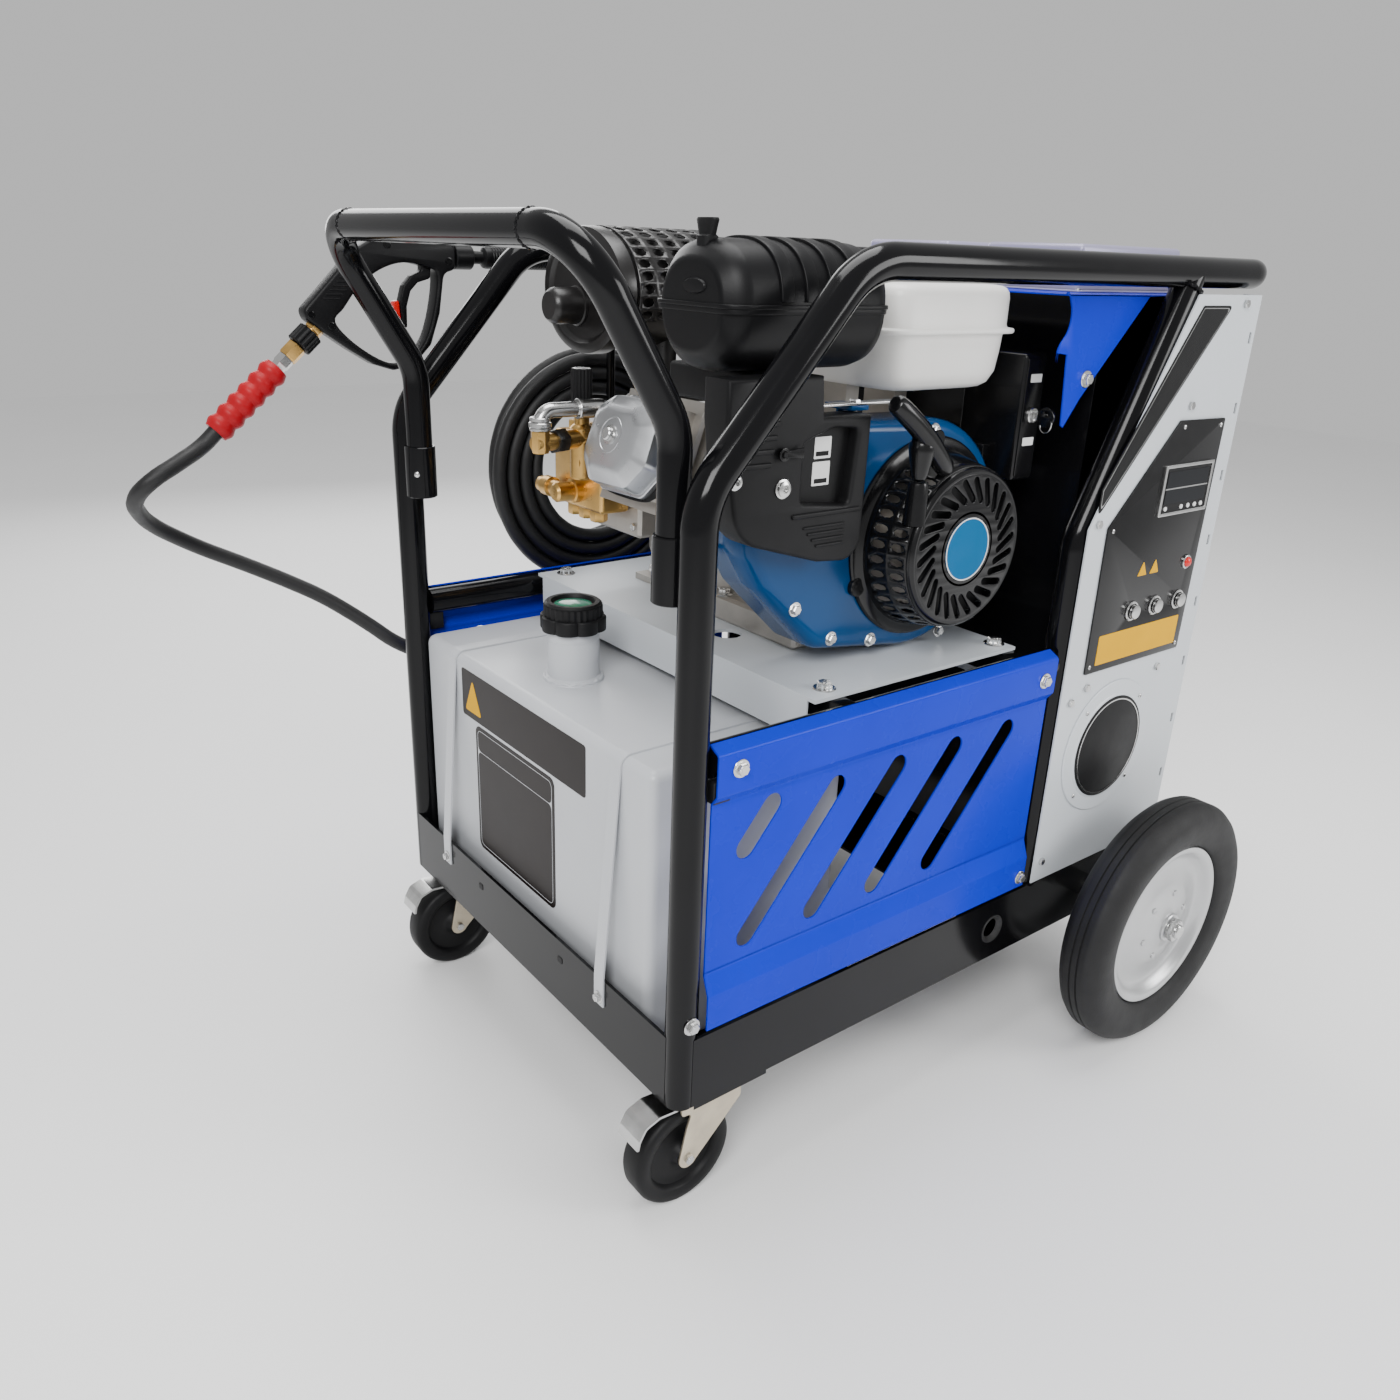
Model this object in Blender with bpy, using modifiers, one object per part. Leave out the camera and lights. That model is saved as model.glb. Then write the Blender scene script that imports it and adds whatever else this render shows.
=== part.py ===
"""Hot-water pressure washer on a tubular trolley, built as separate solids.

The petrol engine drives a plunger pump; a diesel boiler behind it heats the water.
Every place is measured in the frame's own directions, from the near front corner of
the base on the ground: x towards the big wheels, y towards the far side, z up.  One
empty carries all the parts and puts the middle of their box over the world origin.
"""

from math import cos, pi, radians, sin

import bmesh
import bpy
from mathutils import Matrix, Vector

# ---------------------------------------------------------------- driving dimensions
FIT = 0.0003                   # gap left between two touching meshes

# Trolley frame
TUBE_RADIUS = 0.017
BASE_LENGTH = 0.885
BASE_BOTTOM = 0.152
BASE_HEIGHT = 0.0855
BASE_WALL = 0.004
RAIL_HEIGHT = 0.983            # axis of the top rails
RAIL_REACH = 0.884             # axis of the rear cross tube
REAR_BEND = 0.050
FRONT_BEND_HEIGHT = 0.790
FRONT_BEND_RADIUS = 0.080
LEAN_REACH = 0.190             # where the leaning tube meets the rail
RAIL_BEND_RADIUS = 0.085
SIDE_POST_X = 0.572
SIDE_POST_KNEE = 0.690
SIDE_POST_TOP_X = 0.715
MID_RAIL_HEIGHT = 0.5415
CROSS_RAIL_WIDTH = 0.020
CROSS_RAIL_HEIGHT = 0.028
CABLE_HOLE_X = 0.500
CABLE_HOLE_RADIUS = 0.0165

# Push handle
HANDLE_RADIUS = 0.0155
HANDLE_INSET = 0.055           # legs stand this far inside the frame's sides
HANDLE_REACH = 0.078           # cross bar's axis ahead of the frame
HANDLE_KNEE = 0.843
HANDLE_HEIGHT = 0.998
HANDLE_BEND = 0.060
SLEEVE_BOTTOM = 0.690
SLEEVE_HEIGHT = 0.062
SLEEVE_WALL = 0.0025

# Sheet metal
SHEET = 0.002
SKIRT_TOP = 0.553
SKIRT_TURN = (0.012, 0.560)    # y and z of the edge turned in over the rail
SKIRT_BAND = 0.043
SKIRT_RECESS = 0.008
SKIRT_BOTTOM = 0.245
SKIRT_FOOT = 0.040
SKIRT_SLOPE = 0.022
SKIRT_REAR = 0.547
SLOT_WIDTH = 0.025
SLOT_SPAN = 0.180
SLOT_PITCH = 0.0919
SLOT_COUNT = 4
SLOT_ANGLE = radians(50.7)
FIRST_SLOT_X = 0.144
SLOT_HEIGHT = 0.406
SHORT_SLOT_X = 0.0965
SHORT_SLOT_HEIGHT = 0.460
SHORT_SLOT_SPAN = 0.050

# Engine plate
PLATE_FRONT = 0.190
PLATE_LENGTH = 0.323
PLATE_INSET = 0.036
PLATE_THICKNESS = 0.004
PLATE_FLANGE = 0.050
PLATE_HOLE_RADIUS = 0.018
PLATE_BOLT_INSET = 0.021

# Diesel tank
TANK_FRONT = 0.020
TANK_LENGTH = 0.270
TANK_NEAR = 0.083              # gap beside the tank on the near side
TANK_WIDTH = 0.520
TANK_FAR_GAP = 0.032           # gap beside the tank on the far side
TANK_HEIGHT = 0.347
TANK_ROUNDING = 0.012
NECK_X = 0.100
NECK_Y = 0.360
NECK_RADIUS = 0.031
NECK_HEIGHT = 0.062
CAP_RADIUS = 0.0395
CAP_HEIGHT = 0.034
CAP_LOBES = 8
STRAP_WIDTH = 0.018
STRAP_PLACES = (0.144, 0.520)

# Cabinet
CABINET_FRONT = 0.592
CABINET_REAR = 0.8425
PANEL_FRONT = 0.566
PANEL_REAR = 0.8455
PANEL_BOTTOM = 0.2405
PANEL_TOP = 0.960
PANEL_KNEE = 0.705
PANEL_TOP_X = 0.708
PANEL_FOLD = 0.020
VENT_COUNT = 8
VENT_LOW = 0.330
VENT_PITCH = 0.083
VENT_INSET = 0.009
VENT_WIDTH = 0.005
VENT_SPAN = 0.013
COVER_FRONT = 0.515
COVER_INSET = 0.0365
COVER_TOP = 0.9568
HOOD_FRONT = 0.620
HOOD_LENGTH = 0.205
HOOD_WIDTH = 0.140
HOOD_HEIGHT = 0.052
HOOD_PLACES = (0.100, 0.300)
INSPECTION_X = 0.681
INSPECTION_Z = 0.409
INSPECTION_RADIUS = 0.090
BUTTON_PLACES = (0.681, 0.731, 0.783)
BUTTON_HEIGHT = 0.591
BUTTON_RADIUS = 0.0088
BUTTON_TRAVEL = 0.003

# Boiler
BOILER_X = 0.7175
BOILER_RADIUS = 0.112
BOILER_HEIGHT = 0.560
COIL_RADIUS = 0.082
COIL_TUBE_RADIUS = 0.009
COIL_TURNS = 3.75
COIL_BOTTOM = 0.450
COIL_PITCH = 0.070
FEED_X = 0.5515

# Engine
CRANK_X = 0.396
CRANK_Z = 0.6965
SHAFT_RADIUS = 0.0125
CYLINDER_TILT = radians(19)
HEAD_REACH = 0.262             # crank axis to the head's outer face
CYLINDER_NEAR = 0.228
CYLINDER_FAR = 0.370
CYLINDER_HALF = 0.051
FIN_COUNT = 7
FIN_PITCH = 0.0175
FIN_THICKNESS = 0.0065
FIN_DEPTH = 0.013
CASE_NEAR = 0.1625
CASE_FAR = 0.340
BLOWER_NEAR = 0.100
BLOWER_RADIUS = 0.128
FLYWHEEL_RADIUS = 0.098
SWITCH_TAB_REACH = 0.1037      # crank axis to the tab that holds the switch box
RECOIL_FRONT = 0.032
RECOIL_RADIUS = 0.0875
RECOIL_FLANGE_RADIUS = 0.112
VENT_SLOTS = 12
AIR_CLEANER_FRONT = 0.082
AIR_CLEANER_LENGTH = 0.200
AIR_CLEANER_Y = 0.126
AIR_CLEANER_Z = 0.940
AIR_CLEANER_HALF_WIDTH = 0.062
AIR_CLEANER_HALF_HEIGHT = 0.058
FUEL_TANK_FRONT = 0.313
FUEL_TANK_LENGTH = 0.187
FUEL_TANK_NEAR = 0.085
FUEL_TANK_WIDTH = 0.210
FUEL_TANK_BOTTOM = 0.855
FUEL_TANK_HEIGHT = 0.108
FUEL_SEAM_HEIGHT = 0.061
MUFFLER_FRONT = 0.165
MUFFLER_LENGTH = 0.195
MUFFLER_Y = 0.446
MUFFLER_Z = 0.938
MUFFLER_HALF_WIDTH = 0.086
MUFFLER_HALF_HEIGHT = 0.070

# Pump
PUMP_LENGTH = 0.150
PUMP_FAR = 0.500
PUMP_BOTTOM = 0.600
PUMP_HEIGHT = 0.160
KNOB_X = 0.150
KNOB_Y = 0.420
KNOB_BASE = 0.8168
KNOB_RADIUS = 0.0125
KNOB_HEIGHT = 0.038
PIPE_RADIUS = 0.008

# Spray gun, lance and hose
GUN_OFFSET = 0.040             # gun's middle plane outside the far side
GUN_THICKNESS = 0.026
LANCE_DROP = 0.016             # lance axis below the rail axis
LANCE_RADIUS = 0.008
LANCE_START = 0.1173
LANCE_LENGTH = 0.680
CLIP_ROD = 0.004
CLIP_PLACES = (0.360, 0.700)
HOSE_RADIUS = 0.0095
HOSE_PITCH = 0.0198            # hose axis to hose axis in the coil
COIL_HANG_X = 0.320
COIL_HANG_Z = 0.690
COIL_HANG_RADIUS = 0.163
HOSE_TURNS = 7
CLIMB_TUCK = 0.0035            # loops draw in this much while they climb a layer
HOSE_ENTRY = radians(-35)
HOSE_EXIT = radians(-50)
LAYER_OFFSET = 0.022           # nearer layer of the hose coil outside the far side
HOOK_ROD = 0.006
OUTLET_OFFSET = 0.030
OUTLET_ELBOW = 0.038
GRIP_REACH = 0.233             # grip sleeve's start from the gun's end and the lance axis
GRIP_DROP = 0.129
GRIP_LENGTH = 0.105
GRIP_RADIUS = 0.0170
GRIP_WAIST = 0.0130
GRIP_RIBS = 6
GRIP_AXIS = Vector((-0.745, 0, -0.667)).normalized()
INLET_LENGTH = 0.072
INLET_TIP_RADIUS = 0.009

# Wheels
WHEEL_X = 0.732
WHEEL_RADIUS = 0.172
WHEEL_WIDTH = 0.062
WHEEL_OFFSET = 0.086           # wheel's middle plane outside the frame
RIM_RADIUS = 0.116
WHEEL_STEPS = 20                # facets round a large wheel
HUB_RADIUS = 0.020
HUB_LENGTH = 0.057
AXLE_RADIUS = 0.010
AXLE_NUT_RADIUS = 0.016
AXLE_OVERHANG = 0.128          # axle's end past the frame's side

# Casters
CASTER_RADIUS = 0.0625
CASTER_WIDTH = 0.034
CASTER_INSET = 0.041
CASTER_TRAIL = 0.041
CASTER_WHEEL_X = 0.034
CASTER_PLATE = 0.006
CASTER_PIN_RADIUS = 0.005
CASTER_STEPS = 16               # facets round a caster's wheel
PEDAL_DROP = 0.005              # brake pedal's hinge below the fork's crown
PEDAL_BARREL = 0.0034
FORK_SHEET = 0.003

# ------------------------------------------------------------------ derived dimensions
BASE_TOP = BASE_BOTTOM + BASE_HEIGHT
FRAME_WIDTH = TANK_NEAR + TANK_WIDTH + TANK_FAR_GAP
MIDDLE = FRAME_WIDTH / 2
MID_RAIL_TOP = MID_RAIL_HEIGHT + TUBE_RADIUS
PLATE_BOTTOM = MID_RAIL_TOP + FIT
PLATE_TOP = PLATE_BOTTOM + PLATE_THICKNESS
PLATE_REAR = PLATE_FRONT + PLATE_LENGTH
CROSS_RAIL_PLACES = (PLATE_FRONT + 0.032, PLATE_REAR - 0.014)
TANK_BOTTOM = BASE_BOTTOM + BASE_WALL + FIT
TANK_TOP = TANK_BOTTOM + TANK_HEIGHT
TANK_REAR = TANK_FRONT + TANK_LENGTH
PANEL_FACE = FIT + SHEET       # outer face of the side panels, outside the frame
SHELL_BOTTOM = BASE_TOP + FIT
SHELL_SHEET = 0.0015
COVER_BOTTOM = COVER_TOP - SHELL_SHEET
SHELL_TOP = COVER_BOTTOM - FIT
BOILER_BOTTOM = SHELL_BOTTOM + SHELL_SHEET + FIT
BOILER_TOP = BOILER_BOTTOM + BOILER_HEIGHT
COIL_TOP = COIL_BOTTOM + COIL_PITCH * COIL_TURNS
CASE_BOTTOM = PLATE_TOP + FIT
PUMP_NEAR = CASE_FAR + FIT
GUN_Y = FRAME_WIDTH + GUN_OFFSET
LANCE_HEIGHT = RAIL_HEIGHT - LANCE_DROP
GUN_END = LANCE_START - FIT    # where the gun meets the lance
GRIP_START = Vector((GUN_END - GRIP_REACH, GUN_Y, LANCE_HEIGHT - GRIP_DROP))
GRIP_END = GRIP_START + GRIP_AXIS * GRIP_LENGTH
LAYER_PITCH = HOSE_PITCH
HOSE_SWEEP = 2 * pi * HOSE_TURNS + HOSE_ENTRY - HOSE_EXIT
HOSE_INWARD = (HOSE_SWEEP - pi) / 2
COIL_HANG_INNER = COIL_HANG_RADIUS - HOSE_PITCH * HOSE_INWARD / (2 * pi)
AXLE_HEIGHT = WHEEL_RADIUS
SWIVEL_X = CASTER_WHEEL_X + CASTER_TRAIL
FORK_TOP = BASE_BOTTOM - CASTER_PLATE - FIT
BOX_FRONT = GRIP_START.x + GRIP_AXIS.z * INLET_TIP_RADIUS
BOX_REAR = max(WHEEL_X + WHEEL_RADIUS, RAIL_REACH + TUBE_RADIUS)
CENTRE_X = (BOX_FRONT + BOX_REAR) / 2

# colour, metallic, roughness
FINISHES = {
    "black_enamel": ((0.012, 0.012, 0.014, 1), 0.3, 0.25),
    "blue_enamel": ((0.010, 0.060, 0.550, 1), 0.2, 0.28),
    "grey_enamel": ((0.480, 0.490, 0.500, 1), 0.3, 0.40),
    "engine_blue": ((0.004, 0.075, 0.170, 1), 0.4, 0.25),
    "black_plastic": ((0.015, 0.015, 0.017, 1), 0.0, 0.50),
    "white_plastic": ((0.780, 0.760, 0.700, 1), 0.0, 0.35),
    "cast_aluminium": ((0.560, 0.550, 0.530, 1), 0.9, 0.45),
    "bright_steel": ((0.650, 0.650, 0.640, 1), 1.0, 0.25),
    "zinc": ((0.620, 0.590, 0.500, 1), 0.9, 0.35),
    "brass": ((0.620, 0.420, 0.160, 1), 1.0, 0.30),
    "black_rubber": ((0.012, 0.012, 0.012, 1), 0.0, 0.75),
    "red_rubber": ((0.550, 0.015, 0.020, 1), 0.0, 0.55),
    "hot_steel": ((0.050, 0.048, 0.045, 1), 0.7, 0.45),
}


# ------------------------------------------------------------------------ scene set-up
def clear_scene():
    """Remove every object that the file opened with."""
    for item in list(bpy.data.objects):
        bpy.data.objects.remove(item, do_unlink=True)


def new_collection(name):
    """Make a collection in the scene."""
    group = bpy.data.collections.new(name)
    bpy.context.scene.collection.children.link(group)
    return group


clear_scene()
PARTS = new_collection("pressure_washer")
BENCH = new_collection("cutters")
ORIGIN = bpy.data.objects.new("washer_origin", None)
ORIGIN.location = (-CENTRE_X, -MIDDLE, 0)
PARTS.objects.link(ORIGIN)


def material(name, finish):
    """Make the material of one part from a named finish."""
    colour, metallic, roughness = FINISHES[finish]
    made = bpy.data.materials.new(name)
    made.use_nodes = True
    shader = made.node_tree.nodes["Principled BSDF"]
    shader.inputs["Base Color"].default_value = colour
    shader.inputs["Metallic"].default_value = metallic
    shader.inputs["Roughness"].default_value = roughness
    made.diffuse_color = colour
    return made


def on_bench(data, name="shape"):
    """Put new data on the bench as an object that is not part of the model."""
    item = bpy.data.objects.new(name, data)
    item.hide_render = True
    item.display_type = "WIRE"
    BENCH.objects.link(item)
    return item


def settled(item):
    """Turn an object with its modifiers into a plain closed mesh in frame measures."""
    bpy.context.view_layer.update()
    graph = bpy.context.evaluated_depsgraph_get()
    mesh = bpy.data.meshes.new_from_object(item.evaluated_get(graph), depsgraph=graph)
    mesh.transform(item.matrix_world)
    work = bmesh.new()
    work.from_mesh(mesh)
    bmesh.ops.remove_doubles(work, verts=work.verts, dist=1e-5)
    bmesh.ops.dissolve_degenerate(work, dist=1e-6, edges=work.edges)
    bmesh.ops.recalc_face_normals(work, faces=work.faces)
    work.to_mesh(mesh)
    work.free()
    mesh.materials.clear()
    bpy.data.objects.remove(item, do_unlink=True)
    return on_bench(mesh)


def combined(operation, base, others):
    """Apply one Boolean operation of several shapes to a base shape."""
    for other in others:
        step = base.modifiers.new(operation.lower(), "BOOLEAN")
        step.operation = operation
        step.solver = "EXACT"
        step.object = other
    result = settled(base)
    for other in others:
        bpy.data.objects.remove(other, do_unlink=True)
    return result


def united(base, *others):
    """Weld shapes into one solid."""
    return combined("UNION", base, others)


def cut(base, *others):
    """Take shapes away from a solid."""
    return combined("DIFFERENCE", base, others)


def moved(shape, matrix):
    """Transform a shape's mesh and keep its faces pointing out."""
    shape.data.transform(matrix)
    if matrix.determinant() < 0:
        shape.data.flip_normals()
    return shape


def far_copy(shape):
    """Copy a shape, mirrored to the frame's far side."""
    twin = on_bench(shape.data.copy())
    flip = Matrix.Translation((0, FRAME_WIDTH, 0)) @ Matrix.Scale(-1, 4, (0, 1, 0))
    return moved(twin, flip)


def part(name, shape, finish, pivot=(0, 0, 0), sharp=35):
    """Name a finished shape, give it its material and put its origin on its pivot."""
    mesh = shape.data
    mesh.name = name
    mesh.transform(Matrix.Translation(-Vector(pivot)))
    mesh.materials.append(material(name, finish))
    mesh.shade_smooth()
    mesh.set_sharp_from_angle(angle=radians(sharp))
    BENCH.objects.unlink(shape)
    PARTS.objects.link(shape)
    shape.name = name
    shape.hide_render = False
    shape.display_type = "TEXTURED"
    shape.parent = ORIGIN
    shape.location = pivot
    return shape


# ------------------------------------------------------------------------ basic shapes
def block(low, high, rounding=0.0, steps=2):
    """Box between two corners, with rounded edges if asked."""
    low, high = Vector(low), Vector(high)
    size = high - low
    work = bmesh.new()
    bmesh.ops.create_cube(work, size=1)
    place = Matrix.Translation((low + high) / 2) @ Matrix.Diagonal((*size, 1))
    bmesh.ops.transform(work, matrix=place, verts=work.verts)
    mesh = bpy.data.meshes.new("block")
    work.to_mesh(mesh)
    work.free()
    shape = on_bench(mesh)
    if rounding:
        edge = shape.modifiers.new("rounding", "BEVEL")
        edge.width = rounding
        edge.segments = steps
        shape = settled(shape)
    return shape


def turn_to(axis):
    """Rotation that takes +Z to an axis."""
    return Vector((0, 0, 1)).rotation_difference(Vector(axis)).to_matrix().to_4x4()


def round_clear(radius, sides=12):
    """Radius of a faceted hole whose flats still clear a round piece by the fit gap."""
    return (radius + FIT) / cos(pi / sides)


def rod(start, end, radius, sides=12, end_radius=None):
    """Straight round bar or cone between two points."""
    start, end = Vector(start), Vector(end)
    work = bmesh.new()
    tip = radius if end_radius is None else end_radius
    bmesh.ops.create_cone(work, cap_ends=True, segments=sides, radius1=radius,
                          radius2=tip, depth=(end - start).length)
    place = Matrix.Translation((start + end) / 2) @ turn_to(end - start)
    bmesh.ops.transform(work, matrix=place, verts=work.verts)
    mesh = bpy.data.meshes.new("rod")
    work.to_mesh(mesh)
    work.free()
    return on_bench(mesh)


def turned(profile, base, axis, steps=20, closed=False, phase=0.0):
    """Turn a profile of (radius, height) pairs about an axis through a base point.

    The phase turns the facets on by a share of one facet, so that a wheel can stand on a flat.
    """
    mesh = bpy.data.meshes.new("profile")
    count = len(profile)
    edges = [(i, i + 1) for i in range(count - 1)]
    if closed:
        edges.append((count - 1, 0))
    mesh.from_pydata([(r, 0, h) for r, h in profile], edges, [])
    shape = on_bench(mesh)
    onward = Matrix.Rotation(2 * pi * phase / steps, 4, "Z")
    shape.matrix_world = Matrix.Translation(base) @ turn_to(axis) @ onward
    spin = shape.modifiers.new("turn", "SCREW")
    spin.steps = steps
    spin.render_steps = steps
    spin.use_merge_vertices = True
    spin.merge_threshold = 0.00001
    return settled(shape)


def tube(route, radius, resolution=2):
    """Round tube along a list of points."""
    curve = bpy.data.curves.new("tube", "CURVE")
    curve.dimensions = "3D"
    curve.bevel_depth = radius
    curve.bevel_resolution = resolution
    curve.use_fill_caps = True
    line = curve.splines.new("POLY")
    line.points.add(len(route) - 1)
    for point, place in zip(line.points, route):
        point.co = (*place, 1)
    return settled(on_bench(curve))


def bent(corners, radius, steps=4):
    """Points of a route whose corners are rounded to one radius or one each."""
    corners = [Vector(c) for c in corners]
    sizes = radius if isinstance(radius, (list, tuple)) else [radius] * (len(corners) - 2)
    route = [corners[0]]
    for before, corner, after, size in zip(corners, corners[1:], corners[2:], sizes):
        inward = (before - corner).normalized()
        onward = (after - corner).normalized()
        half = inward.angle(onward) / 2
        reach = size / abs(sin(half) / cos(half))
        centre = corner + (inward + onward).normalized() * (size / sin(half))
        first = corner + inward * reach - centre
        last = corner + onward * reach - centre
        sweep = first.angle(last)
        for i in range(steps + 1):
            t = i / steps
            a, b = sin((1 - t) * sweep) / sin(sweep), sin(t * sweep) / sin(sweep)
            route.append(centre + first * a + last * b)
    route.append(corners[-1])
    return route


FACING = {
    "side": Matrix(((1, 0, 0, 0), (0, 0, -1, 0), (0, 1, 0, 0), (0, 0, 0, 1))),
    "top": Matrix.Identity(4),
    "front": Matrix(((0, 0, 1, 0), (1, 0, 0, 0), (0, 1, 0, 0), (0, 0, 0, 1))),
}


def solid_plate(outline, low, high, facing="side"):
    """Flat plate of a given outline between two levels of the axis that it faces."""
    curve = bpy.data.curves.new("plate", "CURVE")
    curve.dimensions = "2D"
    curve.fill_mode = "BOTH"
    curve.extrude = (high - low) / 2
    line = curve.splines.new("POLY")
    line.use_cyclic_u = True
    line.points.add(len(outline) - 1)
    for point, (u, v) in zip(line.points, outline):
        point.co = (u, v, 0, 1)
    shape = on_bench(curve)
    turn = FACING[facing]
    normal = Vector([abs(turn[i][2]) for i in range(3)])
    shape.matrix_world = Matrix.Translation(normal * (low + high) / 2) @ turn
    return settled(shape)


def plate(outline, low, high, facing="side", holes=()):
    """Flat plate with holes of given outlines through it."""
    shape = solid_plate(outline, low, high, facing)
    if holes:
        cutters = [solid_plate(hole, low - 0.01, high + 0.01, facing) for hole in holes]
        shape = cut(shape, *cutters)
    return shape


def arc(centre, radius, start, end, steps):
    """Points on an arc, both ends included, angles in degrees."""
    sweep = [radians(start + (end - start) * i / steps) for i in range(steps + 1)]
    return [(centre[0] + radius * cos(a), centre[1] + radius * sin(a)) for a in sweep]


def ring_points(centre, radius, steps=16):
    """Points of a full circle."""
    return arc(centre, radius, 0, 360, steps)[:-1]


def slot_points(centre, span, width, angle, steps=3):
    """Outline of a slot with round ends; span is between the end centres."""
    along = Vector((cos(angle), sin(angle))) * span / 2
    tilt = angle * 180 / pi
    first = arc(Vector(centre) + along, width / 2, tilt - 90, tilt + 90, steps)
    second = arc(Vector(centre) - along, width / 2, tilt + 90, tilt + 270, steps)
    return first + second


def rounded_box_points(low, high, radius, steps=3):
    """Outline of a rectangle with round corners."""
    (u0, v0), (u1, v1) = low, high
    points = arc((u1 - radius, v1 - radius), radius, 0, 90, steps)
    points += arc((u0 + radius, v1 - radius), radius, 90, 180, steps)
    points += arc((u0 + radius, v0 + radius), radius, 180, 270, steps)
    points += arc((u1 - radius, v0 + radius), radius, 270, 360, steps)
    return points


def shell_along(profile, start, end, thickness, direction="x"):
    """Bent sheet: an open profile drawn along x (or y), thickened both ways."""
    mesh = bpy.data.meshes.new("sheet")
    count = len(profile)
    if direction == "x":
        points = [(x, u, v) for x in (start, end) for u, v in profile]
    else:
        points = [(u, y, v) for y in (start, end) for u, v in profile]
    faces = [(i, i + 1, count + i + 1, count + i) for i in range(count - 1)]
    mesh.from_pydata(points, [], faces)
    shape = on_bench(mesh)
    skin = shape.modifiers.new("thickness", "SOLIDIFY")
    skin.thickness = thickness
    skin.offset = 0
    skin.use_even_offset = True
    return settled(shape)


def hex_heads(seats, normal, radius=0.006, height=0.005):
    """Heads of hexagon bolts, sunk a little into the sheet that they hold."""
    normal = Vector(normal)
    sink = normal * 0.001
    return [rod(Vector(seat) - sink, Vector(seat) + normal * height, radius, 6)
            for seat in seats]


# ------------------------------------------------------------------------------- frame
def make_base():
    """Welded tray with wheel axle holes, post seats and caster plates."""
    tray = block((0, 0, BASE_BOTTOM), (BASE_LENGTH, FRAME_WIDTH, BASE_TOP))
    seat = TUBE_RADIUS * 2
    hollow = block((BASE_WALL, BASE_WALL, BASE_BOTTOM + BASE_WALL),
                   (BASE_LENGTH - BASE_WALL, FRAME_WIDTH - BASE_WALL, BASE_TOP + 0.01))
    tray = cut(tray, hollow)
    seats = []
    plates = []
    for near, inward in ((0, 1), (FRAME_WIDTH, -1)):
        rim = near + inward * BASE_WALL / 2
        ends = sorted((rim, near + inward * seat))
        seats.append(block((SIDE_POST_X - seat / 2, ends[0], BASE_BOTTOM + BASE_WALL / 2),
                           (SIDE_POST_X + seat / 2, ends[1], BASE_TOP)))
        centre = near + inward * CASTER_INSET
        plates.append(block((SWIVEL_X - 0.05, centre - 0.040, BASE_BOTTOM - CASTER_PLATE),
                            (SWIVEL_X + 0.05, centre + 0.040, BASE_BOTTOM + BASE_WALL / 2)))
    tray = united(tray, *seats, *plates)
    opening = block((TANK_REAR + 0.04, 0.06, BASE_BOTTOM - 0.01),
                    (SIDE_POST_X - 0.03, FRAME_WIDTH - 0.06, BASE_BOTTOM + 0.01))
    notches = []
    for y, edge in ((TUBE_RADIUS, 0), (FRAME_WIDTH - TUBE_RADIUS, FRAME_WIDTH)):
        low, high = sorted((y, edge + (edge - y)))
        notches.append(rod((TUBE_RADIUS, y, 0), (TUBE_RADIUS, y, 1), round_clear(TUBE_RADIUS)))
        notches.append(block((-TUBE_RADIUS, low, 0), (TUBE_RADIUS, high, 1)))
    middle = (BASE_BOTTOM + BASE_TOP) / 2
    cable = rod((CABLE_HOLE_X, -1, middle), (CABLE_HOLE_X, 1, middle), CABLE_HOLE_RADIUS)
    axle = rod((WHEEL_X, -1, AXLE_HEIGHT), (WHEEL_X, 1, AXLE_HEIGHT), round_clear(AXLE_RADIUS))
    part("base_frame", cut(tray, opening, *notches, cable, axle), "black_enamel")


def cage_tubes():
    """One side of the cage: front post, leaning tube, rail, half rear tube, side post."""
    y = TUBE_RADIUS
    rail = tube(bent([(TUBE_RADIUS, y, BASE_BOTTOM),
                      (TUBE_RADIUS, y, FRONT_BEND_HEIGHT),
                      (LEAN_REACH, y, RAIL_HEIGHT),
                      (RAIL_REACH, y, RAIL_HEIGHT),
                      (RAIL_REACH, MIDDLE - FIT / 2, RAIL_HEIGHT)],
                     [FRONT_BEND_RADIUS, RAIL_BEND_RADIUS, REAR_BEND]), TUBE_RADIUS)
    side = tube(bent([(SIDE_POST_X, y, BASE_TOP + FIT),
                      (SIDE_POST_X, y, SIDE_POST_KNEE),
                      (SIDE_POST_TOP_X, y, RAIL_HEIGHT)], 0.06), TUBE_RADIUS - FIT)
    outer = round_clear(HANDLE_RADIUS, 16) + SLEEVE_WALL
    top = SLEEVE_BOTTOM + SLEEVE_HEIGHT
    sleeve = rod((TUBE_RADIUS, HANDLE_INSET, SLEEVE_BOTTOM),
                 (TUBE_RADIUS, HANDLE_INSET, top), outer, 16)
    web = block((TUBE_RADIUS - 0.005, TUBE_RADIUS, SLEEVE_BOTTOM + 0.008),
                (TUBE_RADIUS + 0.005, HANDLE_INSET, top - 0.008))
    cage = united(rail, side, sleeve, web)
    bore = rod((TUBE_RADIUS, HANDLE_INSET, SLEEVE_BOTTOM - 0.01),
               (TUBE_RADIUS, HANDLE_INSET, top + 0.01), round_clear(HANDLE_RADIUS, 16), 16)
    return cut(cage, bore)


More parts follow.
